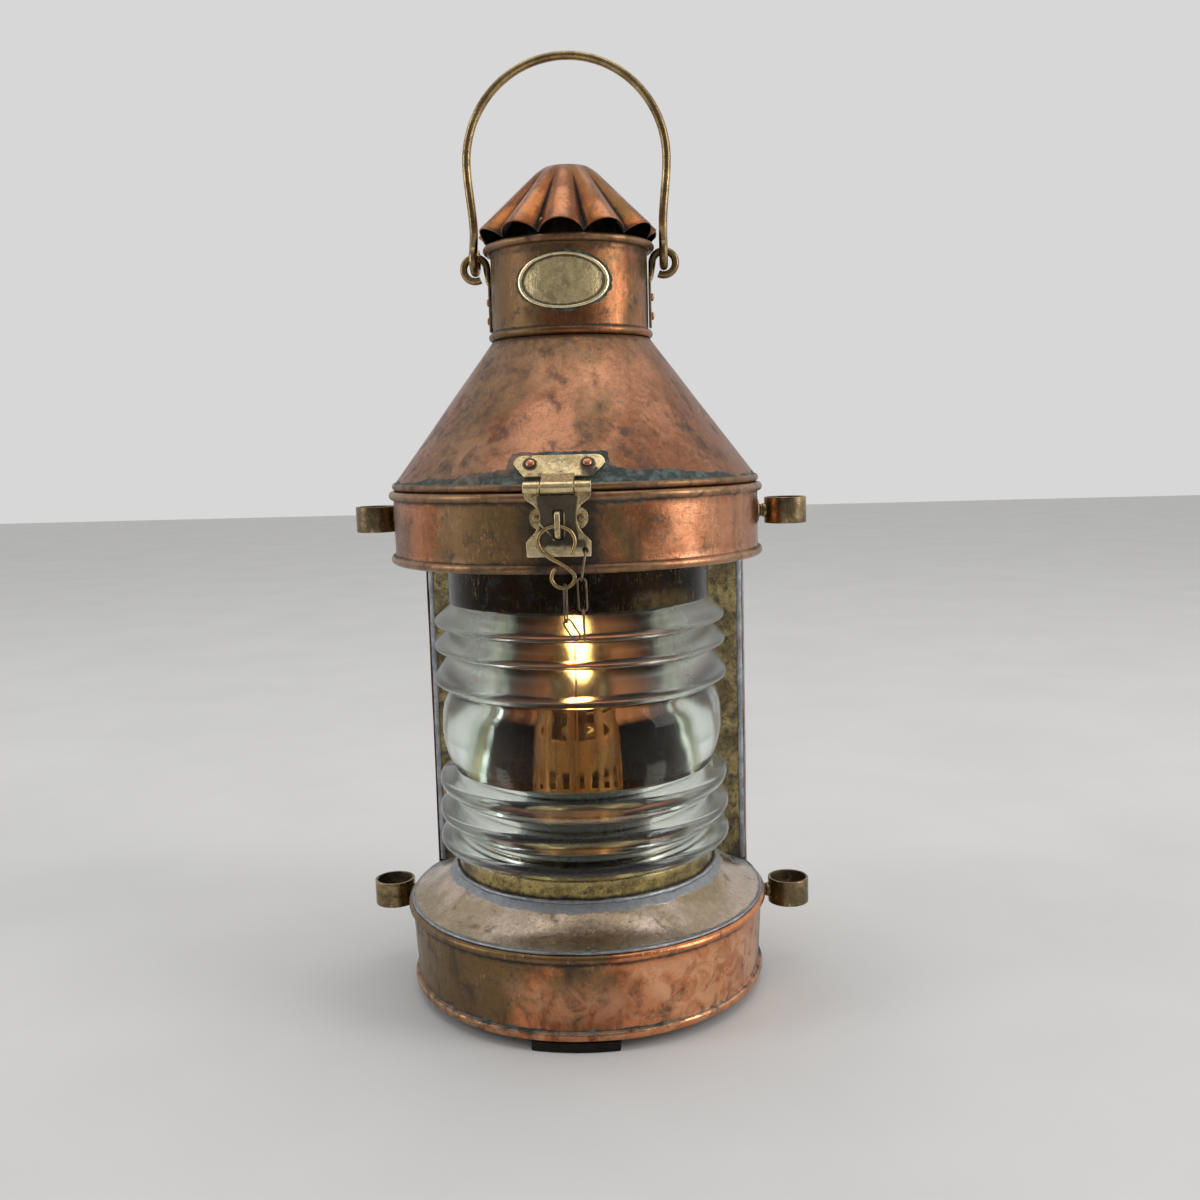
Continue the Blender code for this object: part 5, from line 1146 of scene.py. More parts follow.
def make_strip(side, name):
    """The solder strip along a screen's outer edge."""
    azimuth = side * WING_AZIMUTH
    radial = wall_point(1, azimuth, 0)
    face = wall_point(1, azimuth - side * math.pi / 2, 0)
    bm = bmesh.new()
    rows = 60
    rings = []
    for i in range(rows + 1):
        height = cove_low + SHEET + 0.001 + (drum_low - cove_low - SHEET - 0.0014) * i / rows
        wave = 1 + 0.22 * noise.noise(Vector((side * 3.0, 0, height * 60)))
        ring = []
        for k in range(9):
            angle = math.pi * k / 8
            out = shell_radius - 0.0016 - STRIP_WIDTH / 2 + STRIP_WIDTH / 2 * wave * math.cos(angle)
            lift = SHEET / 2 + 0.0007 * wave * math.sin(angle)
            ring.append(bm.verts.new(radial * out + face * lift + Vector((0, 0, height))))
        rings.append(ring)
    for ring, following in zip(rings, rings[1:]):
        for k in range(len(ring)):
            j = (k + 1) % len(ring)
            bm.faces.new((ring[k], ring[j], following[j], following[k]))
    bm.faces.new(rings[0])
    bm.faces.new(rings[-1])
    return settle(mesh_piece(name, bm), tin_solder, "lantern", "aged_brass")


def make_shell():
    """The copper back shell, from one screen round the back to the other, with rounded upper and lower
    edges.
    """
    start = WING_AZIMUTH - (GAP + SHEET / 2) / shell_radius
    steps = 100
    heights = [shell_low + (shell_high - shell_low) * i / 40 for i in range(41)]
    outer = [(shell_radius, z) for z in heights]
    inner = [(shell_radius - SHEET, z) for z in reversed(heights)]
    outline = round_corners(outer + inner, 0.0004)
    bm = bmesh.new()
    rows = []
    for i in range(steps + 1):
        azimuth = start + (TAU - 2 * start) * i / steps
        rows.append([bm.verts.new(wall_point(r, azimuth, z)) for r, z in outline])
    count = len(outline)
    for row, following in zip(rows, rows[1:]):
        for k in range(count):
            j = (k + 1) % count
            bm.faces.new((row[k], row[j], following[j], following[k]))
    bm.faces.new(rows[0])
    bm.faces.new(rows[-1])
    dent(bm, 0.0006, 0.045, 7.0)
    piece = mesh_piece("copper_back_shell", bm)
    glow_height = wick_top + 0.056

    # Painted flame light on the shell's inside, behind the flame, high up and low down.
    def glow_rule(co):
        behind = soft_band(math.pi - abs(azimuth_of(co)), 0.0, 0.06, 1.05) ** 1.6
        high = soft_band(co.z, shell_high, shell_high - glow_height, 0.012)
        low = 0.8 * soft_band(co.z, shell_low, lens_low + 0.010 - shell_low, 0.016)
        return behind * max(high, low)

    paint(piece, glow=glow_rule,
          solder=lambda co: 0.75 * soft_band(abs(azimuth_of(co)), start, 0.014, 0.02),
          grime=lambda co: 0.5 * soft_band(co.z, shell_low, 0.002, 0.012),
          stain=lambda co: 0.5 * soft_band(co.z, shell_low, 0.001, 0.006))
    settle(piece, shell_copper, "lantern", "copper", "back_shell")
    piece.data.materials.append(shaded_inside_copper)
    for face in piece.data.polygons:
        face.material_index = int(face.center.to_2d().length < shell_radius - SHEET * 0.8)
    return piece


make_wing(1, "right_screen", "right_wing_plate")
make_wing(-1, "left_screen", "left_wing_plate")
make_strip(1, "right_solder_strip")
make_strip(-1, "left_solder_strip")
shell = make_shell()
print("shell radius %.4f" % shell_radius)

# %% [markdown]
# The upper drum is a copper band with a bead at its top and another at its foot. It hides the
# floor plate that the upper lens ring hangs from. Painted shade darkens it behind the hasp, under
# the top bead, above the foot bead and on its left. Painted highlights lie at its left edge and its right,
# and the bead tops are worn bright.

# %% The upper drum
def make_drum():
    """The upper drum with its two beads."""
    inner = drum_radius - SHEET
    outline = [(inner, drum_high)]
    outline += arc(drum_radius, drum_high - BEAD, BEAD, 90, -90)
    outline += arc(drum_radius, drum_low + BEAD, BEAD, 90, -90)
    outline += [(inner, drum_low)]
    piece = turned("copper_drum", outline, dents=0.0005, seed=9.0)

    # Painted shade behind the hasp, under the top bead and above the foot bead.
    def grime_rule(co):
        azimuth = azimuth_of(co)
        latch = soft_band(azimuth, 0.03, 0.12, 0.16) * 0.72
        under_bead = 0.62 * soft_band(co.z, drum_high - 2 * BEAD, 0.0008, 0.0035)
        above_foot = 0.5 * soft_band(co.z, drum_low + 2 * BEAD, 0.0004, 0.002)
        return max(latch, under_bead, above_foot)

    def stain_rule(co):
        azimuth = azimuth_of(co)
        right = soft_band(azimuth, 0.38, 0.22, 0.15) * soft_band(
            co.z, drum_high - 2 * BEAD, 0.001, 0.005)
        return 0.55 * right

    # A painted highlight on the right; the bead tops are worn bright.
    def shine_rule(co):
        bead_top = soft_band(math.hypot(co.x, co.y), drum_radius + BEAD, 0.0012, 0.001)
        patch = soft_band(azimuth_of(co), 0.9, 0.2, 0.3) * 0.6
        return max(0.3 * bead_top, patch)

    # Darker beads; painted shade on the left, and painted highlights at the left edge and on the right.
    def tarnish_rule(co):
        azimuth = azimuth_of(co)
        left = soft_band(azimuth, -0.35, 0.30, 0.25)
        bead = 1.1 if math.hypot(co.x, co.y) > drum_radius + GAP * 2 else 0.0
        return bead + 0.9 * left - 0.8 * soft_band(azimuth, -0.78, 0.10, 0.12) - 0.7 * soft_band(
            azimuth, 0.95, 0.25, 0.3)

    paint(piece, grime=grime_rule, stain=stain_rule, shine=shine_rule, tarnish=tarnish_rule)
    return settle(piece, drum_copper, "lantern", "copper", "upper_drum")


drum = make_drum()
print("drum vertices:", len(drum.data.vertices))

# %% [markdown]
# The lid is a copper cone with a bead that rests on the drum and a skirt inside it. The cone
# shows the most patina of all: pink patches, brown clouds, dark runs, and a blue grey
# crust that crept up from the bead and round the latch plate. Its far left and far right are painted
# darker as shade, and its upper right is painted lighter as light.

# %% The cone of the lid
SKIRT_DEPTH = 0.0072
SKIRT_CLEARANCE = 0.0013
COLLAR_HEIGHT = 0.007
NECK_STEP = 0.0007
RIM_OUTSET = 0.0020
chimney_radius = reach("chimney") - RIM - RIM_OUTSET
neck_radius = chimney_radius + NECK_STEP
lid_bottom = skirt_low + SKIRT_DEPTH
cone_top = collar_high - COLLAR_HEIGHT
cone_bottom = lid_bottom + 2 * LID_BEAD
cone_run = lid_radius - neck_radius
cone_rise = cone_top - cone_bottom
cone_length = math.hypot(cone_run, cone_rise)
slope_down = (cone_run / cone_length, -cone_rise / cone_length)
slope_out = (cone_rise / cone_length, cone_run / cone_length)


def on_cone(along, across, stand=0.0):
    """A point on the cone: along the slope from its foot, and across from the front."""
    radius = lid_radius - slope_down[0] * along + slope_out[0] * stand
    height = cone_bottom - slope_down[1] * along + slope_out[1] * stand
    return wall_point(radius, across / radius, height)


LATCH_LENGTH = 0.0145
LATCH_START = 0.0032
LATCH_HALF_WIDTH = 0.0255


def make_cone():
    """The lid's cone with its bead, skirt and collar."""
    skirt = drum_radius - SHEET - SKIRT_CLEARANCE
    collar = chimney_radius - SHEET - GAP
    outer = [(collar, collar_high), (collar, cone_top), (neck_radius, cone_top)]
    outer += arc(lid_radius, lid_bottom + LID_BEAD, LID_BEAD, 90, -90)
    outer += [(skirt, lid_bottom), (skirt, skirt_low)]
    inner = [(skirt - SHEET, skirt_low), (skirt - SHEET, lid_bottom + SHEET),
             (lid_radius - SHEET * slope_out[0], cone_bottom - SHEET * slope_out[1]),
             (collar - SHEET, cone_top - SHEET), (collar - SHEET, collar_high)]
    piece = turned("copper_cone", outer + inner, dents=0.0006, spacing=0.035, seed=3.0)

    def crust_rule(co):
        azimuth = azimuth_of(co)
        along = (co.z - cone_bottom) / -slope_down[1]
        across = azimuth * math.hypot(co.x, co.y)
        wave = 0.0025 * noise.noise(Vector((azimuth * 6, 0, 2)))
        crest = 0.0085 * soft_band(azimuth, 0.06, 0.25, 0.75) + wave + 0.0012
        above_bead = along - crest
        side = max(abs(across) - LATCH_HALF_WIDTH, 0.0)
        up = max(along - LATCH_START - LATCH_LENGTH, 0.0)
        near_latch = math.hypot(side, up) - 0.0028
        away = min(above_bead, near_latch)
        if along < -0.0006 or along > 0.05:
            return 0.0
        return min(max(0.5 - away / 0.006, 0.0), 1.0)

    # Painted shade on both far sides and in the corner under the collar.
    def grime_rule(co):
        azimuth = azimuth_of(co)
        left = 0.42 * soft_band(azimuth, -0.75, 0.25, 0.5)
        right = 0.28 * soft_band(azimuth, 1.15, 0.25, 0.4)
        neck = 0.5 * soft_band(co.z, cone_top, 0.001, 0.012)
        return max(left, right, neck)

    def shine_rule(co):
        azimuth = azimuth_of(co)
        patch = soft_band(azimuth, -0.42, 0.16, 0.3) * soft_band(co.z, 0.345, 0.006, 0.014)
        top = soft_band(azimuth, -0.15, 0.3, 0.5) * soft_band(co.z, 0.392, 0.010, 0.02)
        return max(0.5 * patch, 0.32 * top)

    # Painted shade: a dark band on the left and a darker far right. Painted light: a cleaner upper right.
    # A salmon patch low on the left and a darker bead.
    def tarnish_rule(co):
        azimuth = azimuth_of(co)
        band = soft_band(azimuth, -0.62, 0.16, 0.22)
        salmon = soft_band(azimuth, -0.22, 0.16, 0.2) * soft_band(co.z, 0.352, 0.012, 0.012)
        glow = soft_band(azimuth, 0.62, 0.22, 0.3) * soft_band(co.z, 0.37, 0.02, 0.02)
        bead = 0.9 if co.z < cone_bottom else 0.0
        return 1.1 * band - 1.1 * salmon - 0.3 * glow + 0.5 * soft_band(azimuth, 1.25, 0.2, 0.2) + bead

    paint(piece, stain=crust_rule, grime=grime_rule, shine=shine_rule, tarnish=tarnish_rule)
    return settle(piece, cone_copper, "lid", "copper", "lid_cone")


cone = make_cone()
print("cone slope %.1f degrees" % math.degrees(math.atan2(cone_rise, cone_run)))

# %% [markdown]
# The chimney is a short tube with a bead at its foot and a wired rim at its mouth. Verdigris
# grows round the nameplate, where solder flux was never washed off, and along the bead. Its rim,
# the band under the rim, its inside and its left side are painted darker as shade.

# %% The chimney
CHIMNEY_BEAD = 0.0026
PLATE_LENGTH = 0.0573
PLATE_WIDTH = 0.0325
PLATE_CENTRE = 0.0308
plate_height = chimney_low + PLATE_CENTRE


def plate_distance(co, radius):
    """How far a point on the chimney is outside the nameplate's oval."""
    along = azimuth_of(co) * radius / (PLATE_LENGTH / 2)
    up = (co.z - plate_height) / (PLATE_WIDTH / 2)
    return (math.hypot(along, up) - 1) * (PLATE_LENGTH + PLATE_WIDTH) / 4


def make_chimney():
    """The chimney with its bead and rim."""
    inner = chimney_radius - SHEET
    rim_centre = chimney_radius + RIM_OUTSET
    rim_height = chimney_high - RIM
    outline = [(inner, rim_height), (rim_centre - RIM, rim_height)]
    outline += arc(rim_centre, rim_height, RIM, 150, -130, 20)
    outline += [(chimney_radius, rim_height - 2 * RIM)]
    outline += arc(chimney_radius, chimney_low + CHIMNEY_BEAD, CHIMNEY_BEAD, 90, -90)
    outline += [(inner, chimney_low)]
    piece = turned("copper_chimney", outline, dents=0.0004, spacing=0.022, seed=11.0,
                   longest=0.002)

    def stain_rule(co):
        if co.y > 0:
            return 0.0
        ring = 0.9 - (plate_distance(co, chimney_radius) - 0.0004) / 0.0045
        side = 0.75 + 0.25 * soft_band(azimuth_of(co), 0.5, 0.25, 0.5)
        line = 0.52 * soft_band(co.z, chimney_low + 2 * CHIMNEY_BEAD + 0.0006, 0.0004, 0.0014)
        return max(min(max(ring * side, 0.0), 1.0) * 0.92, line)

    # Painted shade under the rim, inside the tube and on the rim beneath the cap; darker above the bead
    # too.
    def grime_rule(co):
        under_rim = 0.5 * soft_band(co.z, rim_height - 2 * RIM, 0.0008, 0.005)
        inside = 1.0 if math.hypot(co.x, co.y) < chimney_radius - SHEET / 2 else 0.0
        above_bead = 0.6 * soft_band(co.z, chimney_low + 2 * CHIMNEY_BEAD, 0.0005, 0.002)
        rim = 0.25 * soft_band(co.z, rim_height, RIM * 1.1, RIM * 0.2)
        return max(under_rim, inside, above_bead, rim)

    def shine_rule(co):
        return 0.4 * soft_band(math.hypot(co.x, co.y), rim_centre + RIM, 0.0006, 0.0006)

    # Painted shade: the rim darker beneath the cap, and the left side darker.
    def tarnish_rule(co):
        azimuth = azimuth_of(co)
        rim = 1.6 * soft_band(co.z, rim_height, RIM * 1.1, RIM * 0.2)
        return rim + soft_band(azimuth, -0.9, 0.45, 0.4)

    paint(piece, stain=stain_rule, grime=grime_rule, shine=shine_rule, tarnish=tarnish_rule)
    return settle(piece, chimney_copper, "lid", "copper", "chimney")


chimney = make_chimney()
print("chimney vertices:", len(chimney.data.vertices))

# %% [markdown]
# The cap keeps the rain out and lets the smoke leave. It is a cone whose skirt was drawn into
# twelve arches over a former. A turned cone with fine steps gets its flutes from
# one formula: a rounded crest between two sharp valleys, stronger towards the skirt.
# The two crests under the bail are knocked in a little, where the bail has worn on them.

# %% The fluted cap
FLUTES = 12
STEPS_A_FLUTE = 20
CAP_ROWS = 22
CAP_SHEET = 0.0009
CAP_TOP_RADIUS = 0.017
CAP_TOP_HEIGHT = 0.0456
CAP_CROWN = 0.0014
CAP_OVERHANG = 0.0006
CAP_FLARE = 0.0065
BAIL_DENT = 0.0030
CAP_LIFT = 0.0066
cap_valley = chimney_radius + RIM_OUTSET + CAP_OVERHANG
cap_seat = chimney_high + GAP + CAP_SHEET
cap_crown = chimney_high + CAP_TOP_HEIGHT


def cap_arch(azimuth):
    """How far a flute stands out at an azimuth: 1 at a crest, 0 in a valley."""
    return abs(math.cos(azimuth * FLUTES / 2)) ** 0.7


def make_cap():
    """The fluted cap from its crown down to its arches."""
    profile = [(0.0, cap_crown + CAP_CROWN), (CAP_TOP_RADIUS * 0.5, cap_crown + CAP_CROWN * 0.86),
               (CAP_TOP_RADIUS * 0.86, cap_crown + CAP_CROWN * 0.45)]
    for row in range(CAP_ROWS + 1):
        share = row / CAP_ROWS
        ease = 0.0009 * math.exp(-share * 16)
        profile.append((CAP_TOP_RADIUS + (cap_valley - CAP_TOP_RADIUS) * share,
                        cap_crown + (cap_seat - cap_crown) * share - ease))
    bm = bmesh.new()
    chain = [bm.verts.new((r, 0.0, z)) for r, z in profile]
    edges = [bm.edges.new(pair) for pair in zip(chain, chain[1:])]
    bmesh.ops.spin(bm, geom=chain + edges, cent=(0, 0, 0), axis=(0, 0, 1), dvec=(0, 0, 0),
                   angle=TAU, steps=FLUTES * STEPS_A_FLUTE, use_merge=True)
    bmesh.ops.remove_doubles(bm, verts=bm.verts, dist=GAP / 30)
    for vertex in bm.verts:
        radius = math.hypot(vertex.co.x, vertex.co.y)
        share = (radius - CAP_TOP_RADIUS) / (cap_valley - CAP_TOP_RADIUS)
        if share <= 0:
            continue
        arch = cap_arch(azimuth_of(vertex.co))
        knocked = BAIL_DENT * soft_band(abs(azimuth_of(vertex.co)), math.pi / 2, 0.06, 0.12)
        grown = radius + (CAP_FLARE * arch - knocked) * share
        vertex.co.x *= grown / radius
        vertex.co.y *= grown / radius
        vertex.co.z += CAP_LIFT * arch * share
    piece = mesh_piece("fluted_copper_cap", bm, 70)

    def grime_rule(co):
        radius = math.hypot(co.x, co.y)
        share = max(radius - CAP_TOP_RADIUS, 0.0) / (cap_valley - CAP_TOP_RADIUS)
        hollow = (1 - cap_arch(azimuth_of(co))) ** 2.4
        return min(1.0, 0.05 + hollow * (0.8 + 0.5 * share)) * min(1.0, share * 3)

    def stain_rule(co):
        hollow = 1 - cap_arch(azimuth_of(co))
        return 0.62 * max(0.0, hollow - 0.55) / 0.45 * soft_band(co.z, cap_seat, 0.010, 0.02)

    def shine_rule(co):
        return 0.5 * max(0.0, cap_arch(azimuth_of(co)) - 0.8) / 0.2

    paint(piece, grime=grime_rule, stain=stain_rule, shine=shine_rule)
    sheet = piece.modifiers.new("sheet", "SOLIDIFY")
    sheet.thickness = CAP_SHEET
    sheet.offset = -1.0
    sheet.material_offset = 1
    rounded = piece.modifiers.new("lip", "BEVEL")
    rounded.width = 0.0002
    rounded.segments = 2
    rounded.angle_limit = math.radians(60)
    settle(piece, cap_copper, "lid", "copper", "fluted_cap")
    piece.data.materials.append(soot_black)
    return piece


cap = make_cap()
if cap.data.polygons[0].normal.z < 0:
    cap.data.flip_normals()
print("cap from %.4f to %.4f" % (cap_seat, cap_crown))

# %% [markdown]
# Rivets hold the straps and hinges. A rivet head is a low dome, hammered a little flat, so each
# is turned from a five-point profile, then tipped to stand square on its plate. One helper
# makes them all.

# %% A rivet head
RIVET_RADIUS = 0.0025
RIVET_HEIGHT = 0.0016


def rivet(name, foot, direction, body, material, nodes=(), radius=RIVET_RADIUS,
          height=RIVET_HEIGHT):
    """A low dome on a plate at a point, facing a direction."""
    outline = [(0.0, height)]
    outline += [(radius * math.sin(a), height * (0.35 + 0.65 * math.cos(a)))
                for a in (math.radians(d) for d in range(15, 91, 15))]
    outline += [(radius * 0.98, 0.0), (0.0, 0.0)]
    piece = turned(name, outline, 24, closed=False, rounding=0.0001, longest=radius)
    paint(piece, grime=lambda co: 0.5 * soft_band(co.z, 0.0, height * 0.2, height * 0.4),
          shine=lambda co: 0.8 * soft_band(co.z, height, height * 0.3, height * 0.3))
    tip = Vector((0, 0, 1)).rotation_difference(Vector(direction)).to_matrix().to_4x4()
    piece.data.transform(Matrix.Translation(foot) @ tip)
    return settle(piece, material, body, "copper", *nodes)


cap_rivet_azimuth = -TAU / FLUTES / 2
cap_rivet_share = 0.84
cap_rivet_radius = CAP_TOP_RADIUS + (cap_valley - CAP_TOP_RADIUS) * cap_rivet_share
cap_rivet_height = cap_crown + (cap_seat - cap_crown) * cap_rivet_share
cap_steepness = math.atan2(cap_valley - CAP_TOP_RADIUS, cap_crown - cap_seat)
cap_rivet_foot = wall_point(cap_rivet_radius, cap_rivet_azimuth, cap_rivet_height)
cap_rivet_way = wall_point(math.cos(cap_steepness), cap_rivet_azimuth, math.sin(cap_steepness))
rivet("cap_rivet", cap_rivet_foot, cap_rivet_way, "lid", rivet_copper, radius=0.0017,
      height=0.0014)
print("cap rivet at %.4f" % cap_rivet_height)

# %% [markdown]
# The nameplate is an oval of brass with a raised rim, bent round the chimney. It is left blank.
# Its field is a little hollow and dark, and its rim is worn bright. A flat oval is spun
# from its profile first and then wrapped round the wall.

# %% The blank nameplate
PLATE_THICKNESS = 0.0008
PLATE_RIM = 0.0007


def make_nameplate():
    """The oval plate with its rim, wrapped round the chimney."""
    profile = [(0.0, 0.06), (0.2, 0.06), (0.4, 0.05), (0.6, 0.03), (0.75, 0.02), (0.85, 0.02),
               (0.895, 0.18), (0.92, 0.72), (0.94, 0.97), (0.957, 1.0), (0.975, 0.93),
               (0.99, 0.62), (1.0, 0.2)]
    seat = chimney_radius + GAP + PLATE_THICKNESS
    bm = bmesh.new()
    chain = [bm.verts.new((share, 0.0, PLATE_RIM * lift)) for share, lift in profile]
    edges = [bm.edges.new(pair) for pair in zip(chain, chain[1:])]
    bmesh.ops.spin(bm, geom=chain + edges, cent=(0, 0, 0), axis=(0, 0, 1), dvec=(0, 0, 0),
                   angle=TAU, steps=96, use_merge=True)
    bmesh.ops.remove_doubles(bm, verts=bm.verts, dist=GAP / 30)
    grades = []
    for vertex in bm.verts:
        along, up, lift = vertex.co
        grades.append(math.hypot(along, up))
        hammered = 0.00010 * noise.noise(Vector((along * 4, up * 3, 5)))
        azimuth = along * PLATE_LENGTH / 2 / seat
        vertex.co = wall_point(seat + lift + hammered, azimuth,
                               plate_height + up * PLATE_WIDTH / 2)
    piece = mesh_piece("blank_nameplate", bm, 60)
    if piece.data.polygons[0].normal.y > 0:
        piece.data.flip_normals()
    layer = piece.data.attributes.new("grime", "FLOAT", "POINT")
    layer.data.foreach_set("value", [0.12 + 0.62 * soft_band(g, 0.875, 0.02, 0.06)
                                     if g < 0.9 else 0.0 for g in grades])
    layer = piece.data.attributes.new("shine", "FLOAT", "POINT")
    layer.data.foreach_set("value", [0.9 * soft_band(g, 0.957, 0.02, 0.02) for g in grades])
    sheet = piece.modifiers.new("sheet", "SOLIDIFY")
    sheet.thickness = PLATE_THICKNESS
    sheet.offset = -1.0
    return settle(piece, plate_brass, "lid", "brass", "nameplate")


nameplate = make_nameplate()
print("nameplate %.1f x %.1f mm" % (PLATE_LENGTH * 1000, PLATE_WIDTH * 1000))

# %% [markdown]
# Each bail lug is a brass strap, riveted to the chimney and curled into an eye at its upper end.
# A row of sections, flat at the foot and round at the eye, is joined into one skin.
# The bail is a bent rod with a ring at each end, so it is a curve with a round section.

# %% Lugs and their rivets
EYE_WIRE = 0.0023
EYE_RADIUS = 0.0073
LUG_WIDTH = 0.0105
LUG_FOOT = 0.0066
LUG_BEND = 0.0345
LUG_THICKNESS = 0.0017
eye_offset = chimney_radius + 0.0005 + EYE_WIRE + EYE_RADIUS
eye_height = chimney_high - 2 * RIM - EYE_WIRE - 0.0048
bail_axis = eye_height + EYE_RADIUS - 0.0019


def skin(name, rings, sharp=40):
    """A closed skin over a row of rings with equal counts."""
    bm = bmesh.new()
    made = [[bm.verts.new(point) for point in ring] for ring in rings]
    for ring, following in zip(made, made[1:]):
        for k in range(len(ring)):
            j = (k + 1) % len(ring)
            bm.faces.new((ring[k], ring[j], following[j], following[k]))
    bm.faces.new(made[0])
    bm.faces.new(made[-1])
    return mesh_piece(name, bm, sharp)


def make_lug(side, tag):
    """A strap on the chimney's side, curled into an eye."""
    foot_x = chimney_radius + GAP + LUG_THICKNESS / 2
    foot = chimney_low + LUG_FOOT
    bend = chimney_low + LUG_BEND
    riser = eye_offset - EYE_RADIUS
    track = [(foot_x, foot + (bend - foot) * i / 6, 1.0) for i in range(7)]
    low_mid = (foot_x + (riser - foot_x) / 2, (bend + eye_height) / 2 - EYE_WIRE, 0.5)
    between = smooth_path([Vector(track[-2]), Vector(track[-1]), Vector(low_mid),
                           Vector((riser, eye_height, 0.0))], 5)[6:-1]
    track += [tuple(p) for p in between]
    for i in range(37):
        angle = math.radians(180 - i * 8.25)
        track.append((eye_offset + EYE_RADIUS * math.cos(angle),
                      eye_height + EYE_RADIUS * math.sin(angle), 0.0))
    rings = []
    for i, (x, z, flat) in enumerate(track):
        before = Vector(track[max(i - 1, 0)][:2])
        after = Vector(track[min(i + 1, len(track) - 1)][:2])
        heading = (after - before).normalized()
        across = Vector((heading.y, -heading.x))
        flat = min(max(flat, 0.0), 1.0)
        half_width = EYE_WIRE + (LUG_WIDTH / 2 - EYE_WIRE) * flat
        half_depth = EYE_WIRE + (LUG_THICKNESS / 2 - EYE_WIRE) * flat
        ring = []
        for k in range(20):
            angle = TAU * k / 20
            power = 1 - 0.6 * flat
            depth = math.copysign(abs(math.cos(angle)) ** power, math.cos(angle))
            width = math.copysign(abs(math.sin(angle)) ** power, math.sin(angle))
            ring.append((side * (x + across.x * half_depth * depth), half_width * width,
                         z + across.y * half_depth * depth))
        rings.append(ring)
    piece = skin("lug_" + tag, rings)
    paint(piece, grime=lambda co: 0.45 * soft_band(co.z, foot, 0.002, 0.004))
    settle(piece, bail_brass, "lid", "brass", "bail_lug_" + tag)
    face = side * (chimney_radius + GAP + LUG_THICKNESS + GAP / 3)
    for level, where in ((0.25, "lower"), (0.66, "upper")):
        height = foot + (bend - foot) * level
        node = "bail_lug_%s_rivet_%s" % (tag, where)
        rivet("lug_%s_%s_rivet" % (tag, where), (face, 0, height), (side, 0, 0), "lid",
              rivet_copper, (node,))


make_lug(1, "right")
make_lug(-1, "left")
print("bail axis at %.4f" % bail_axis)

# %% The bail
BAIL_WIRE = 0.00265
BAIL_RING = 0.0073
BAIL_SPREAD = 0.003
BAIL_SPRING = 0.0581
BAIL_NECK = 0.0165


def wire_piece(name, points, radius, closed=False, sides=5):
    """A round wire along a list of points."""
    data = bpy.data.curves.new(name, "CURVE")
    data.dimensions = "3D"
    data.bevel_depth = radius
    data.bevel_resolution = sides
    data.use_fill_caps = not closed
    spline = data.splines.new("POLY")
    spline.points.add(len(points) - 1)
    for point, place_at in zip(spline.points, points):
        point.co = (*place_at, 1.0)
    spline.use_cyclic_u = closed
    spline.use_smooth = True
    piece = bpy.data.objects.new(name, data)
    bpy.context.scene.collection.objects.link(piece)
    return piece


def bail_end(side):
    """The ring at a bail's end, from its tip round to where the wire rises."""
    points = []
    for i in range(41):
        angle = math.radians(415 - (415 - 132) * i / 40)
        points.append(Vector((side * eye_offset, BAIL_RING * math.cos(angle),
                              bail_axis + BAIL_RING * math.sin(angle))))
    return points


def make_bail():
    """The bail, from one ring over the arch to the other."""
    spring = bail_axis + BAIL_SPRING
    neck = bail_axis + BAIL_NECK
    half = eye_offset + BAIL_SPREAD
    arch = []
    for i in range(1, 10):
        share = i / 10
        ease = share * share * (3 - 2 * share)
        arch.append(Vector((eye_offset + (half - eye_offset) * ease, 0,
                            neck + (spring - neck) * share)))
    for i in range(49):
        angle = math.pi * i / 48
        arch.append(Vector((half * math.cos(angle), 0, spring + half * math.sin(angle))))
    arch += [Vector((-p.x, p.y, p.z)) for p in arch[:9][::-1]]
    right = bail_end(1)
    left = bail_end(-1)[::-1]
    bends = smooth_path([right[-3], right[-1], Vector((eye_offset, 0, neck)), arch[0]], 8)
    rise = bends[9:-8]
    fall = [Vector((-p.x, p.y, p.z)) for p in rise[::-1]]
    piece = wire_piece("brass_bail", right + rise + arch + fall + left, BAIL_WIRE)
    return settle(piece, bail_brass, "bail_body", "brass", "bail")


bail = make_bail()
print("bail top at %.4f" % (bail_axis + BAIL_SPRING + eye_offset + BAIL_SPREAD + BAIL_WIRE))

# %% [markdown]
# The latch is a brass plate on the cone, a hinged hasp that hangs over the drum, a staple whose eye
# comes through the hasp's slot, and a pin hook on a short chain. Curved plates are
# made as a grid that a small formula lays on the cone or the drum, then thickened.

# %% Helper for curved plates
def curved_plate(name, place, columns, rows, thickness, edge=0.00025):
    """A plate from a formula that places (across, up), each from -1 to 1."""
    bm = bmesh.new()
    bmesh.ops.create_grid(bm, x_segments=columns, y_segments=rows, size=1)
    for vertex in bm.verts:
        vertex.co = place(vertex.co.x, vertex.co.y)
    piece = mesh_piece(name, bm)
    out = piece.data.polygons[len(piece.data.polygons) // 2]
    if out.normal.dot(Vector((out.center.x, out.center.y, 0))) < 0:
        piece.data.flip_normals()
    sheet = piece.modifiers.new("sheet", "SOLIDIFY")
    sheet.thickness = thickness
    sheet.offset = 1.0
    soft = piece.modifiers.new("soft edges", "BEVEL")
    soft.width = edge
    soft.segments = 3
    soft.angle_limit = math.radians(40)
    return piece


def knuckle(name, radius, start, end, centre_y, centre_z):
    """A rolled knuckle along X, with rounded ends."""
    outline = [(0.0, end), (radius, end), (radius, start), (0.0, start)]
    piece = turned(name, outline, SMALL_STEPS, closed=False, rounding=0.0003)
    piece.data.transform(Matrix.Translation((0, centre_y, centre_z))
                         @ Matrix.Rotation(math.pi / 2, 4, "Y"))
    return piece


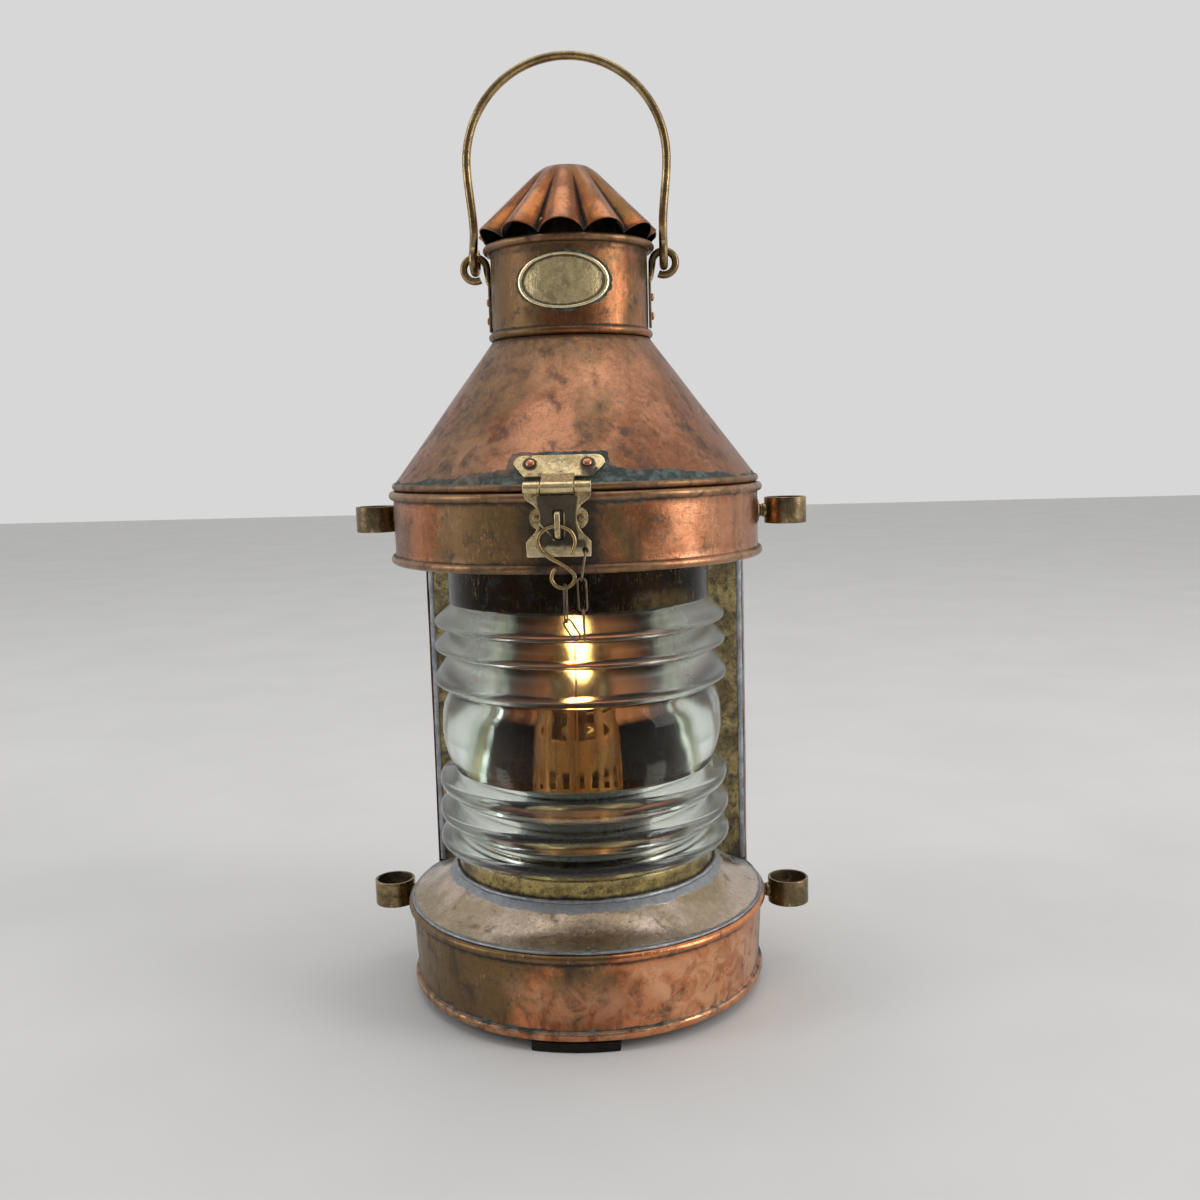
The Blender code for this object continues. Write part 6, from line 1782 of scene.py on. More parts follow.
# %% The latch plate
BARREL = 0.0036
BARREL_LENGTH = 0.037
MIDDLE_SHARE = 0.49
PLAY = 0.0004
PIN = 0.0012
LATCH_THICKNESS = 0.0014
barrel_y = -(lid_radius + LID_BEAD + PLAY + BARREL)
barrel_z = lid_bottom + LID_BEAD


def latch_half_width(up):
    """Half the latch plate's width at a level, with its upper corners rounded."""
    corner = max(0.0, (up - 0.62) / 0.38)
    half = LATCH_HALF_WIDTH * (0.74 + 0.26 * min(1.0, up / 0.62))
    return half * (1 - 0.22 * (1 - math.sqrt(max(0.0, 1 - corner * corner))))


def make_latch_plate():
    """The latch plate, its tongue and its middle knuckle."""
    def place(across, level):
        up = (level + 1) / 2
        return on_cone(LATCH_START + LATCH_LENGTH * up, across * latch_half_width(up), GAP)

    piece = curved_plate("brass_latch_plate", place, 40, 18, LATCH_THICKNESS)

    def grime_rule(co):
        across = azimuth_of(co) * math.hypot(co.x, co.y)
        along = (co.z - cone_bottom) / -slope_down[1] - LATCH_START
        spots = 0.0
        for side in (-1, 1):
            away = math.hypot(across - side * 0.0157, along - 0.6 * LATCH_LENGTH)
            spots = max(spots, 0.8 * soft_band(away, 0.0, 0.0035, 0.002))
        low_right = 0.7 * soft_band(across, 0.017, 0.004, 0.003) * soft_band(along, 0.003, 0.002, 0.003)
        return max(spots, low_right)

    paint(piece, grime=grime_rule)
    settle(piece, latch_brass, "lid", "brass", "latch_plate")
    half = BARREL_LENGTH * MIDDLE_SHARE / 2
    middle = knuckle("latch_knuckle", BARREL, -half, half, barrel_y, barrel_z)
    settle(middle, latch_brass, "lid", "brass")
    start = Vector((0, barrel_y + PIN / 2, barrel_z + BARREL - SHEET / 2))
    finish_point = on_cone(LATCH_START + LATCH_LENGTH * 0.12, 0, GAP + LATCH_THICKNESS / 2)
    rings = []
    for i in range(7):
        t = i / 6
        point = start.lerp(finish_point, t)
        rings.append([(x, point.y, point.z + h * LATCH_THICKNESS / 2)
                      for x, h in ((-half, -1), (half, -1), (half, 1), (-half, 1))])
    tongue = skin("latch_tongue", rings)
    settle(tongue, latch_brass, "lid", "brass")
    level = LATCH_START + LATCH_LENGTH * 0.6
    for side, tag in ((-1, "left"), (1, "right")):
        foot = on_cone(level, side * 0.01575, GAP + LATCH_THICKNESS + GAP / 3)
        way = wall_point(slope_out[0], azimuth_of(foot), slope_out[1])
        rivet("latch_plate_rivet_" + tag, foot, way, "lid", rivet_copper, ("latch_rivet_" + tag,))


make_latch_plate()
print("barrel at y %.4f, z %.4f" % (barrel_y, barrel_z))

# %% The hasp, its knuckles and its pin
HASP_THICKNESS = 0.0016
HASP_LENGTH = 0.0374
HASP_HALF_WIDTH = 0.0178
SLOT_WIDTH = 0.006
SLOT_HEIGHT = 0.0166
SLOT_DROP = 0.0116
CHAIN_HOLE = 0.0017
hasp_front = -0.1210
hasp_back = hasp_front + HASP_THICKNESS
HASP_SHARES = (
    (0.115, 1.02), (0.17, 0.96), (0.23, 0.78), (0.31, 0.63), (0.40, 0.575), (0.48, 0.575),
    (0.56, 0.62), (0.65, 0.74), (0.73, 0.9), (0.785, 1.0), (0.99, 0.985), (1.0, 0.96))


def hasp_outline():
    """The hasp's edge, with a notch for the middle knuckle."""
    notch = BARREL_LENGTH * MIDDLE_SHARE / 2 + PLAY
    notch_height = barrel_z - BARREL - PLAY
    top = barrel_z - PIN - 2 * PLAY
    side = BARREL_LENGTH / 2
    waist = [Vector((HASP_HALF_WIDTH * width, barrel_z - HASP_LENGTH * drop))
             for drop, width in HASP_SHARES[:10]]
    right = [(notch, notch_height), (notch, top), (side, top)]
    right += [(p.x, p.y) for p in smooth_path(waist, 4)]
    right += [(HASP_HALF_WIDTH * width, barrel_z - HASP_LENGTH * drop)
              for drop, width in HASP_SHARES[10:]]
    return right + [(-x, z) for x, z in right[::-1]]


def slot_outline():
    """The slot for the staple's eye, rounded at its corners."""
    half = SLOT_WIDTH / 2
    top = barrel_z - SLOT_DROP
    bottom = top - SLOT_HEIGHT
    corner = half * 0.6
    points = []
    for cx, cz, start in ((half - corner, top - corner, 0), (-half + corner, top - corner, 90),
                          (-half + corner, bottom + corner, 180),
                          (half - corner, bottom + corner, 270)):
        points += arc(cx, cz, corner, start, start + 90, 5)
    return points


def make_hasp():
    """The hasp plate with its two outer knuckles."""
    hole_x = HASP_HALF_WIDTH * 0.80
    hole_z = barrel_z - HASP_LENGTH * 0.905
    hole = [(hole_x + CHAIN_HOLE * math.cos(TAU * i / 20), hole_z + CHAIN_HOLE * math.sin(TAU * i / 20))
            for i in range(20)]
    piece = flat_cut("brass_hasp", [hasp_outline(), slot_outline(), hole], HASP_THICKNESS,
                     (hasp_back + hasp_front) / 2)

    def grime_rule(co):
        drop = (barrel_z - co.z) / HASP_LENGTH
        width = HASP_HALF_WIDTH * (0.62 + 0.3 * abs(drop - 0.45))
        inside = soft_band(abs(co.x), 0.0, width - 0.0028, 0.003)
        upper = inside * soft_band(drop, 0.26, 0.12, 0.10)
        middle = inside * soft_band(drop, 0.58, 0.2, 0.16)
        right = soft_band(co.x, 0.011, 0.003, 0.004) * soft_band(drop, 0.84, 0.06, 0.08)
        return 0.95 * max(upper, middle, 0.8 * right)

    def shine_rule(co):
        drop = (barrel_z - co.z) / HASP_LENGTH
        return 0.75 * soft_band(drop, 0.95, 0.06, 0.04)

    paint(piece, grime=grime_rule, shine=shine_rule)
    settle(piece, latch_brass, "hasp_body", "brass", "hasp")
    inner = BARREL_LENGTH * MIDDLE_SHARE / 2 + PLAY
    outer = BARREL_LENGTH / 2
    for start, end, tag in ((-outer, -inner, "left"), (inner, outer, "right")):
        side = knuckle("hasp_knuckle_" + tag, BARREL, start, end, barrel_y, barrel_z)
        settle(side, latch_brass, "hasp_body", "brass")


make_hasp()
refinish("hasp_pin", dark_wire)
print("hasp front at %.4f" % hasp_front)

# %% The staple's eye
STRIP_HALF_WIDTH = 0.0015
STRIP_THICKNESS = 0.0015
EYE_REACH = 0.0056
BACKING = 0.0008


def make_staple():
    """The bent eye in the slot, on its backing strip."""
    top = barrel_z - SLOT_DROP - STRIP_THICKNESS
    bottom = top - SLOT_HEIGHT + 2 * STRIP_THICKNESS
    back = hasp_back + GAP + BACKING / 2
    nose = hasp_front - EYE_REACH + STRIP_THICKNESS / 2
    bend = EYE_REACH * 0.45
    path = [(back, top), (nose + bend, top)]
    path += arc(nose + bend, top - bend, bend, 90, 180, 6)[1:]
    path += arc(nose + bend, bottom + bend, bend, 180, 270, 6)
    path += [(back, bottom)]
    rings = []
    for i, (y, z) in enumerate(path):
        before = Vector(path[max(i - 1, 0)])
        after = Vector(path[min(i + 1, len(path) - 1)])
        heading = (after - before).normalized()
        across = Vector((-heading.y, heading.x))
        ring = []
        for k in range(16):
            angle = TAU * (k + 0.5) / 16
            depth = math.copysign(abs(math.cos(angle)) ** 0.5, math.cos(angle))
            width = math.copysign(abs(math.sin(angle)) ** 0.5, math.sin(angle))
            shift = across * depth * STRIP_THICKNESS / 2
            ring.append((width * STRIP_HALF_WIDTH, y + shift.x, z + shift.y))
        rings.append(ring)
    piece = skin("staple_bend", rings)
    settle(piece, latch_brass, "hasp_body", "brass", "staple_eye")
    middle = (top + bottom) / 2
    half_w = SLOT_WIDTH * 0.8
    half_h = SLOT_HEIGHT * 0.56
    plate = flat_cut("staple_backing", [[(-half_w, middle - half_h), (half_w, middle - half_h),
                                         (half_w, middle + half_h), (-half_w, middle + half_h)]],
                     BACKING, back, 0.0002)
    # The backing is painted dark all over, as painted shade seen through the slot.
    paint(plate, grime=lambda co: 0.9)
    settle(plate, latch_brass, "hasp_body", "brass")


make_staple()
print("staple reaches %.4f" % (hasp_front - EYE_REACH))

# %% The keeper plate
KEEPER_WIDTH = 0.032
KEEPER_HEIGHT = 0.013
KEEPER_THICKNESS = 0.0012
keeper_low, keeper_high = levels("keeper_plate")
keeper_centre = (keeper_low + keeper_high) / 2


def make_keeper():
    """The keeper behind the hasp, with round ears and a rivet in each."""
    seat = drum_radius + GAP

    def place(across, level):
        ear = math.sqrt(max(0.0, 1 - level * level))
        half = KEEPER_WIDTH / 2 - KEEPER_HEIGHT / 2 * (1 - ear)
        return wall_point(seat, across * half / seat, keeper_centre + level * KEEPER_HEIGHT / 2)

    piece = curved_plate("brass_keeper", place, 36, 16, KEEPER_THICKNESS)
    # Painted shade across the middle, behind the hasp.
    paint(piece, grime=lambda co: 0.7 * soft_band(abs(co.x), 0.0, 0.009, 0.002))
    settle(piece, latch_brass, "lantern", "brass", "keeper_plate")
    radius = seat + KEEPER_THICKNESS
    for side, tag in ((-1, "left"), (1, "right")):
        azimuth = side * (KEEPER_WIDTH / 2 - 0.00375) / radius
        rivet("keeper_plate_rivet_" + tag, wall_point(radius, azimuth, keeper_centre),
              wall_point(1, azimuth, 0), "lantern", socket_brass, ("keeper_rivet_" + tag,),
              RIVET_RADIUS * 0.9, RIVET_HEIGHT * 0.5)


make_keeper()
print("keeper centre at %.4f" % keeper_centre)

# %% The pin hook
HOOK_WIRE = 0.00115
HOOK_HEIGHT = 0.0334
hook_plane = hasp_front - (EYE_REACH - STRIP_THICKNESS) / 2
hook_top = barrel_z - SLOT_DROP - SLOT_HEIGHT * 0.56
HOOK_SHARES = (
    (0.20, 0.455), (0.262, 0.32), (0.262, 0.185), (0.185, 0.062), (0.03, 0.0), (-0.14, 0.012),
    (-0.28, 0.10), (-0.33, 0.235), (-0.27, 0.39), (-0.15, 0.50), (0.0, 0.585), (0.145, 0.68),
    (0.25, 0.80), (0.22, 0.92), (0.09, 0.995), (-0.05, 0.96), (-0.125, 0.85), (-0.10, 0.73),
    (-0.055, 0.68))
hook_route = [Vector((x * HOOK_HEIGHT, hook_plane, hook_top - z * HOOK_HEIGHT))
              for x, z in HOOK_SHARES]
hook = wire_piece("brass_pin_hook", smooth_path(hook_route, 8), HOOK_WIRE)
settle(hook, bail_brass, "hook_body", "brass", "pin_hook")
hook_foot = min(hook_route, key=lambda point: point.z)
print("hook foot at %.4f" % hook_foot.z)

# %% The chain
LINK_WIRE = 0.00055
LINK_HALF_WIDTH = 0.0023


def make_link(name, start, end, turn, body, node):
    """A long wire link between two points, narrower at its middle."""
    start = Vector(start)
    end = Vector(end)
    along = (end - start).normalized()
    side = along.cross(Vector((0, 1, 0))).normalized()
    across = Matrix.Rotation(turn, 3, along) @ side
    setback = LINK_WIRE + GAP / 2 - LINK_HALF_WIDTH
    centre_a = start - along * setback
    centre_b = end + along * setback
    points = []
    for i in range(13):
        angle = math.pi * i / 12
        points.append(centre_a + across * LINK_HALF_WIDTH * math.cos(angle)
                      - along * LINK_HALF_WIDTH * math.sin(angle))
    for i in range(13):
        angle = math.pi * i / 12
        points.append(centre_b - across * LINK_HALF_WIDTH * math.cos(angle)
                      + along * LINK_HALF_WIDTH * math.sin(angle))
    piece = wire_piece(name, points, LINK_WIRE, closed=True, sides=3)
    return settle(piece, dark_wire, body, "steel_wire", node)


def make_chain():
    """Two links under the hook and three up to the hasp's corner."""
    fall = [Vector((hook_foot.x + x * HOOK_HEIGHT, hook_plane, hook_foot.z - z * HOOK_HEIGHT))
            for x, z in ((0.0, 0.0), (0.0, 0.545), (0.18, 0.835))]
    make_link("hook_link_1", fall[0] + Vector((0, 0, HOOK_WIRE + GAP)), fall[1],
              math.radians(66), "front_chain", "chain_link_1")
    make_link("hook_link_2", fall[1], fall[2], math.radians(-24), "front_chain", "chain_link_2")
    forward = hook_plane - HOOK_WIRE - LINK_WIRE
    rise = [Vector((hook_foot.x + x * HOOK_HEIGHT, forward, hook_foot.z - z * HOOK_HEIGHT))
            for x, z in ((0.30, 0.85), (0.29, 0.36), (0.275, -0.14))]
    hole_z = barrel_z - HASP_LENGTH * 0.905
    pivot = Vector((HASP_HALF_WIDTH * 0.80, (hasp_back + hasp_front) / 2,
                    (hole_z - CHAIN_HOLE + barrel_z - HASP_LENGTH) / 2))
    lead = (pivot - rise[2]).normalized()
    top = pivot + lead * (LINK_HALF_WIDTH - LINK_WIRE - GAP / 2)
    make_link("hasp_link_1", rise[0], rise[1], math.radians(90), "rear_chain", "chain_link_3")
    make_link("hasp_link_2", rise[1], rise[2], 0.0, "rear_chain", "chain_link_4")
    make_link("hasp_link_3", rise[2], top, math.radians(90), "rear_chain", "chain_link_5")


make_chain()
print("chain links:", 5)

# %% [markdown]
# The rear hinge lets the lid fall back. It doesn't show in the photograph, so it is a plain strap
# hinge: a leaf on the drum, a leaf on the cone, three knuckles and a pin. The
# leaves are bent strips, drawn as rings along a path and skinned.

# %% The rear hinge
HINGE_LENGTH = 0.040
HINGE_KNUCKLE = 0.0029
LEAF_THICKNESS = 0.0014
LEAF_REACH = 0.0265
hinge_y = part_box("hinge_pin")[0].y + PIN
hinge_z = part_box("hinge_pin")[0].z + PIN


def bent_strip(name, path, half_width, thickness):
    """A strip along X that follows a path of (y, z) points."""
    rings = []
    for i, (y, z) in enumerate(path):
        before = Vector(path[max(i - 1, 0)])
        after = Vector(path[min(i + 1, len(path) - 1)])
        heading = (after - before).normalized()
        across = Vector((-heading.y, heading.x)) * thickness / 2
        ring = []
        for x, way in ((-half_width, 1), (half_width, 1), (half_width, -1), (-half_width, -1)):
            ring.append((x, y + across.x * way, z + across.y * way))
        rings.append(ring)
    piece = skin(name, rings)
    soft = piece.modifiers.new("soft edges", "BEVEL")
    soft.width = 0.0003
    soft.segments = 2
    soft.angle_limit = math.radians(40)
    return piece


def make_rear_hinge():
    """Both leaves of the rear hinge, with their knuckles and rivets."""
    half = LEAF_THICKNESS / 2
    stand = hinge_y - HINGE_KNUCKLE + half
    clear = HINGE_KNUCKLE + PLAY
    wall = drum_radius + GAP + half
    below_bead = drum_high - 2 * BEAD
    drum_path = [(stand, hinge_z - clear), (stand, below_bead - half),
                 (wall, below_bead - half - (stand - wall)), (wall, hinge_z - LEAF_REACH)]
    leaf = bent_strip("rear_drum_leaf", drum_path, HINGE_LENGTH / 2, LEAF_THICKNESS)
    paint(leaf, grime=lambda co: 0.3)
    settle(leaf, ring_brass, "lantern", "aged_brass", "drum_hinge_leaf")
    cone_path = [(stand, hinge_z + clear)]
    for along in (0.36 * LEAF_REACH, LEAF_REACH):
        cone_path.append((lid_radius - slope_down[0] * along + slope_out[0] * (GAP + half),
                          cone_bottom - slope_down[1] * along + slope_out[1] * (GAP + half)))
    leaf = bent_strip("rear_lid_leaf", cone_path, HINGE_LENGTH / 2, LEAF_THICKNESS)
    settle(leaf, ring_brass, "lid", "aged_brass", "lid_hinge_leaf")
    middle = HINGE_LENGTH / 4
    edge = HINGE_LENGTH / 2
    for start, end, body, tag in ((-edge, -middle, "lantern", "left"),
                                  (middle, edge, "lantern", "right"),
                                  (-middle + PLAY, middle - PLAY, "lid", "middle")):
        piece = knuckle("rear_knuckle_" + tag, HINGE_KNUCKLE, start, end, hinge_y, hinge_z)
        settle(piece, ring_brass, body, "aged_brass")
        way = 1 if body == "lid" else -1
        tail = bent_strip("rear_tail_" + tag, [(stand, hinge_z), (stand, hinge_z + way * (clear + 0.001))],
                          (end - start) / 2, LEAF_THICKNESS)
        tail.data.transform(Matrix.Translation(((start + end) / 2, 0, 0)))
        settle(tail, ring_brass, body, "aged_brass")
    low = (hinge_z - LEAF_REACH + below_bead) / 2 - half
    along = LEAF_REACH * 0.7
    lift = GAP * 1.3 + LEAF_THICKNESS
    foot = (lid_radius - slope_down[0] * along + slope_out[0] * lift,
            cone_bottom - slope_down[1] * along + slope_out[1] * lift)
    for side, tag in ((-1, "left"), (1, "right")):
        x = side * HINGE_LENGTH * 0.3
        rivet("rear_drum_rivet_" + tag, (x, wall + half, low), (0, 1, 0), "lantern",
              rivet_copper, ("drum_hinge_rivet_" + tag,), RIVET_RADIUS * 0.9)
        rivet("rear_lid_rivet_" + tag, (x, *foot), (0, *slope_out), "lid", rivet_copper,
              ("lid_hinge_rivet_" + tag,), RIVET_RADIUS * 0.9)


make_rear_hinge()
refinish("hinge_pin", dark_wire)
print("hinge at y %.4f, z %.4f" % (hinge_y, hinge_z))

# %% [markdown]
# Four socket rings hang the lantern on the pegs of a bracket. Each is a short brass tube on a
# turned neck that is riveted through the wall. Ring and neck are both turned, the ring
# round an upright axis and the neck round an axis that points away from the lantern.

# %% The mounting rings
SOCKET_BORE = 0.01175
SOCKET_WALL = 0.00175
SOCKET_AZIMUTH = math.radians(98.3)
SOCKET_REACH = 0.0205
NECK_BAR = 0.0046
FLANGE = 0.0084
FLANGE_THICKNESS = 0.0021


def make_mounting_ring(side, hand, level_tag, wall, seat_offset):
    """One socket ring with its neck and flange."""
    node = "mounting_ring_%s_%s" % (level_tag, hand)
    low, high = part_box(node)
    outer = SOCKET_BORE + SOCKET_WALL
    azimuth = side * SOCKET_AZIMUTH
    centre_radius = drum_radius + SOCKET_REACH
    half = 0.0168 / 2
    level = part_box(node)[1].z - half
    centre = wall_point(centre_radius, azimuth, level)
    outline = [(outer, half), (outer, -half), (SOCKET_BORE, -half), (SOCKET_BORE, half)]
    ring = turned("socket_%s_%s" % (level_tag, hand), outline, 72, rounding=0.0006)
    ring.data.transform(Matrix.Translation(centre))
    paint(ring, grime=lambda co: 0.55 if (co - centre).to_2d().length < SOCKET_BORE + GAP else 0.1)
    settle(ring, socket_brass, "lantern", "aged_brass", node)
    length = centre_radius - SOCKET_BORE - SOCKET_WALL / 2 - wall - GAP
    neck = [(0.0, length), (NECK_BAR, length), (NECK_BAR * 0.98, length * 0.72),
            (NECK_BAR * 0.80, length * 0.52), (NECK_BAR, length * 0.36),
            (NECK_BAR, FLANGE_THICKNESS), (0.0, FLANGE_THICKNESS)]
    bar = turned("neck_%s_%s" % (level_tag, hand), neck, 40, closed=False, rounding=0.0006,
                 longest=0.002)
    flange_outline = [(0.0, FLANGE_THICKNESS), (FLANGE, FLANGE_THICKNESS * 0.8), (FLANGE, 0.0),
                      (0.0, 0.0)]
    flange = turned("flange_%s_%s" % (level_tag, hand), flange_outline, 48, closed=False,
                    rounding=0.0007, longest=0.002)
    way = Vector((0, 0, 1)).rotation_difference(wall_point(1, azimuth, 0)).to_matrix().to_4x4()
    for piece, lift in ((bar, 0.0), (flange, seat_offset)):
        foot = wall_point(wall + GAP, azimuth, level + lift)
        piece.data.transform(Matrix.Translation(foot) @ way)
        paint(piece, grime=lambda co: 0.25)
        settle(piece, socket_brass, "lantern", "aged_brass")


lower_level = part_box("mounting_ring_lower_left")[1].z - 0.0084
lower_wall = base_foot_radius + BASE_TAPER * (lower_level + NECK_BAR - base_low) / (base_high - base_low)
lower_seat = base_high - 2 * BEAD - GAP - FLANGE - lower_level
for side, hand in ((-1, "left"), (1, "right")):
    make_mounting_ring(side, hand, "upper", drum_radius, 0.0)
    make_mounting_ring(side, hand, "lower", lower_wall, lower_seat)
print("lower rings at %.4f" % lower_level)

# %% [markdown]
# Behind the glass stands an oil lamp: a font, a burner with a flat wick, a pierced gallery round
# the flame, and a knob outside it. It shows only as an amber column, bent and
# stretched by the lens, so its shapes matter less than their place and their light. A pierced
# copper screen keeps draughts off the flame, and its amber glow is painted flame light, an emission.

# %% The oil lamp
font_low, font_high = levels("font")
burner_low, burner_high = levels("burner_body")
gallery_low, gallery_high = levels("burner_gallery")
font_radius = reach("font")
COLLAR_RADIUS = 0.0165
BURNER_RADIUS = 0.0145
GALLERY_RADIUS = 0.022
GALLERY_WALL = 0.0012


def make_font():
    """The copper oil font with a rounded shoulder and a collar."""
    top = font_high - 0.008
    bend = font_radius / 4
    wall = 0.0014
    mouth = COLLAR_RADIUS - wall
    inside = [(0.0, font_low + wall), (font_radius - wall, font_low + wall)]
    inside += arc(font_radius - bend, top - bend, bend - wall, 0, 90, 8)
    inside += [(mouth, top - wall), (mouth, font_high)]
    outside = [(COLLAR_RADIUS, font_high), (COLLAR_RADIUS, top)]
    outside += arc(font_radius - bend, top - bend, bend, 90, 0, 8)
    outside += [(font_radius, font_low), (0.0, font_low)]
    piece = turned("oil_font", inside + outside, 72, closed=False, longest=0.008)
    return settle(piece, font_copper, "lantern", "copper", "font")


def make_gallery():
    """The pierced brass gallery with its prongs."""
    bm = bmesh.new()
    columns = 96
    heights = [gallery_low + (gallery_high - gallery_low) * i / 16 for i in range(17)]
    grid = [[bm.verts.new(wall_point(GALLERY_RADIUS, TAU * k / columns, z)) for k in range(columns)]
            for z in heights]
    for i in range(16):
        for k in range(columns):
            azimuth = TAU * (k + 0.5) / columns
            share = (i + 0.5) / 16
            hole_phase = (azimuth * 24 / TAU) % 1
            row = 0.18 < share < 0.45
            hole = row and abs(hole_phase - 0.5) < 0.22
            notch = share > 0.55 and abs((azimuth * 8 / TAU) % 1 - 0.5) < 0.24
            if hole or notch:
                continue
            j = (k + 1) % columns
            bm.faces.new((grid[i][k], grid[i][j], grid[i + 1][j], grid[i + 1][k]))
    loose = [v for v in bm.verts if not v.link_faces]
    bmesh.ops.delete(bm, geom=loose, context="VERTS")
    piece = mesh_piece("pierced_gallery", bm)
    sheet = piece.modifiers.new("sheet", "SOLIDIFY")
    sheet.thickness = GALLERY_WALL
    sheet.offset = -1.0
    settle(piece, inside_brass, "lantern", "brass", "burner_gallery")
    inner = BURNER_RADIUS * 0.8
    floor = turned("gallery_floor", [(inner, gallery_low + GALLERY_WALL),
                                     (GALLERY_RADIUS - GAP, gallery_low + GALLERY_WALL),
                                     (GALLERY_RADIUS - GAP, gallery_low), (inner, gallery_low)], 72)
    settle(floor, inside_brass, "lantern", "brass")


CAGE_RADIUS = 0.0285
CAGE_TOP = 0.176
CAGE_WALL = 0.0006
CAGE_SHIFT = -0.0042


def make_cage():
    """The pierced copper draught screen that stands on the font, round the burner."""
    foot = font_high - 0.008 + GAP
    bm = bmesh.new()
    columns = 160
    rows = 40
    heights = [foot + (CAGE_TOP - foot) * i / rows for i in range(rows + 1)]
    middle = Vector((CAGE_SHIFT, 0, 0))
    grid = [[bm.verts.new(wall_point(CAGE_RADIUS, TAU * k / columns, z) + middle)
             for k in range(columns)] for z in heights]
    for i in range(rows):
        share = (i + 0.5) / rows
        for k in range(columns):
            azimuth = TAU * (k + 0.5) / columns
            prong = abs((azimuth * 10 / TAU) % 1 - 0.5)
            slot = abs((azimuth * 20 / TAU) % 1 - 0.5)
            spindle = abs(azimuth - math.pi / 2) < 0.30 and abs(heights[i] - 0.1373) < 0.005
            gap_top = share > 0.74 and prong < 0.36 - 0.5 * abs(share - 0.86)
            low_slot = 0.34 < share < 0.44 and slot < 0.10
            hole = 0.52 < share < 0.58 and slot < 0.20
            if gap_top or low_slot or hole or spindle:
                continue
            j = (k + 1) % columns
            bm.faces.new((grid[i][k], grid[i][j], grid[i + 1][j], grid[i + 1][k]))
    bmesh.ops.delete(bm, geom=[v for v in bm.verts if not v.link_faces], context="VERTS")
    piece = mesh_piece("draught_screen", bm)
    sheet = piece.modifiers.new("sheet", "SOLIDIFY")
    sheet.thickness = CAGE_WALL
    sheet.offset = -1.0
    # Painted flame light, rising from the screen's foot to its top.
    paint(piece, glow=lambda co: (co.z - foot) / (CAGE_TOP - foot))
    return settle(piece, lit_copper, "lantern", "copper")


def make_wick():
    """The flat cotton wick with a charred top."""
    low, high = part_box("wick")
    bm = bmesh.new()
    bmesh.ops.create_cube(bm, size=1)
    bmesh.ops.subdivide_edges(bm, edges=bm.edges, cuts=7, use_grid_fill=True)
    size = high - low
    middle = (high + low) / 2
    for vertex in bm.verts:
        vertex.co = Vector((vertex.co.x * size.x, vertex.co.y * size.y * 0.96,
                            vertex.co.z * size.z)) + middle
    piece = mesh_piece("cotton_wick", bm)
    paint(piece, grime=lambda co: soft_band(co.z, high.z, 0.0015, 0.002))
    return settle(piece, wick_cotton, "lantern", "wick_cotton", "wick")


FLAME_HEIGHT = 0.046
FLAME_HALF_WIDTH = 0.0085
FLAME_HALF_DEPTH = 0.0042
FLAME_LEAN = 0.006


def make_flame():
    """A flat teardrop of light that stands on the wick."""
    rings = []
    rows = 24
    foot = wick_top - 0.0004
    for i in range(rows + 1):
        t = i / rows
        swell = math.sin(math.pi * t ** 0.62) ** 0.8 if 0 < t < 1 else 0.0
        swell = max(swell, 0.02)
        sway = 0.0006 * math.sin(t * 5) - FLAME_LEAN * t
        rings.append([(sway + FLAME_HALF_WIDTH * swell * math.cos(TAU * k / 24),
                       FLAME_HALF_DEPTH * swell * math.sin(TAU * k / 24),
                       foot + FLAME_HEIGHT * t) for k in range(24)])
    piece = skin("lamp_flame", rings, 80)
    paint(piece, shine=lambda co: soft_band(co.z, foot + FLAME_HEIGHT, 0.004, 0.012))
    return settle(piece, flame_light, "lantern", "wick_cotton")


make_font()
make_gallery()
make_cage()
make_wick()
flame = make_flame()
refinish("burner_body", inside_brass)
refinish("wick_tube", inside_brass)
refinish("wick_knob", inside_brass, 0.0002)
print("flame from %.4f to %.4f" % (wick_top, wick_top + FLAME_HEIGHT))

# %% [markdown]
# The studio is plain: a pale floor, a pale room, and three soft lamps. The room is a little
# brighter behind the lantern than in front of it, because metal needs something dark to
# reflect or it looks like paint. The camera sees the room in one pale tone, and metal and glass
# see the same pale room with its darker front.

# %% Floor
ROOM_TONE = 0.68


def make_floor():
    """A wide pale floor that keeps the lantern's shadow."""
    bm = bmesh.new()
    bmesh.ops.create_grid(bm, x_segments=8, y_segments=8, size=6)
    floor = mesh_piece("floor", bm)
    floor.location.z = -0.0002
    material = bpy.data.materials.new("pale floor")
    material.use_nodes = True
    tree = material.node_tree
    shader = tree.nodes["Principled BSDF"]
    tone = ramp(tree, cloud(tree, place_in_piece(tree), 6.0, 4), 0.3, 0.7)
    tree.links.new(blend(tree, tone, (0.66, 0.655, 0.645, 1), (0.69, 0.685, 0.675, 1)),
                   shader.inputs["Base Color"])
    shader.inputs["Roughness"].default_value = 0.8
    floor.data.materials.append(material)
    return floor


floor = make_floor()

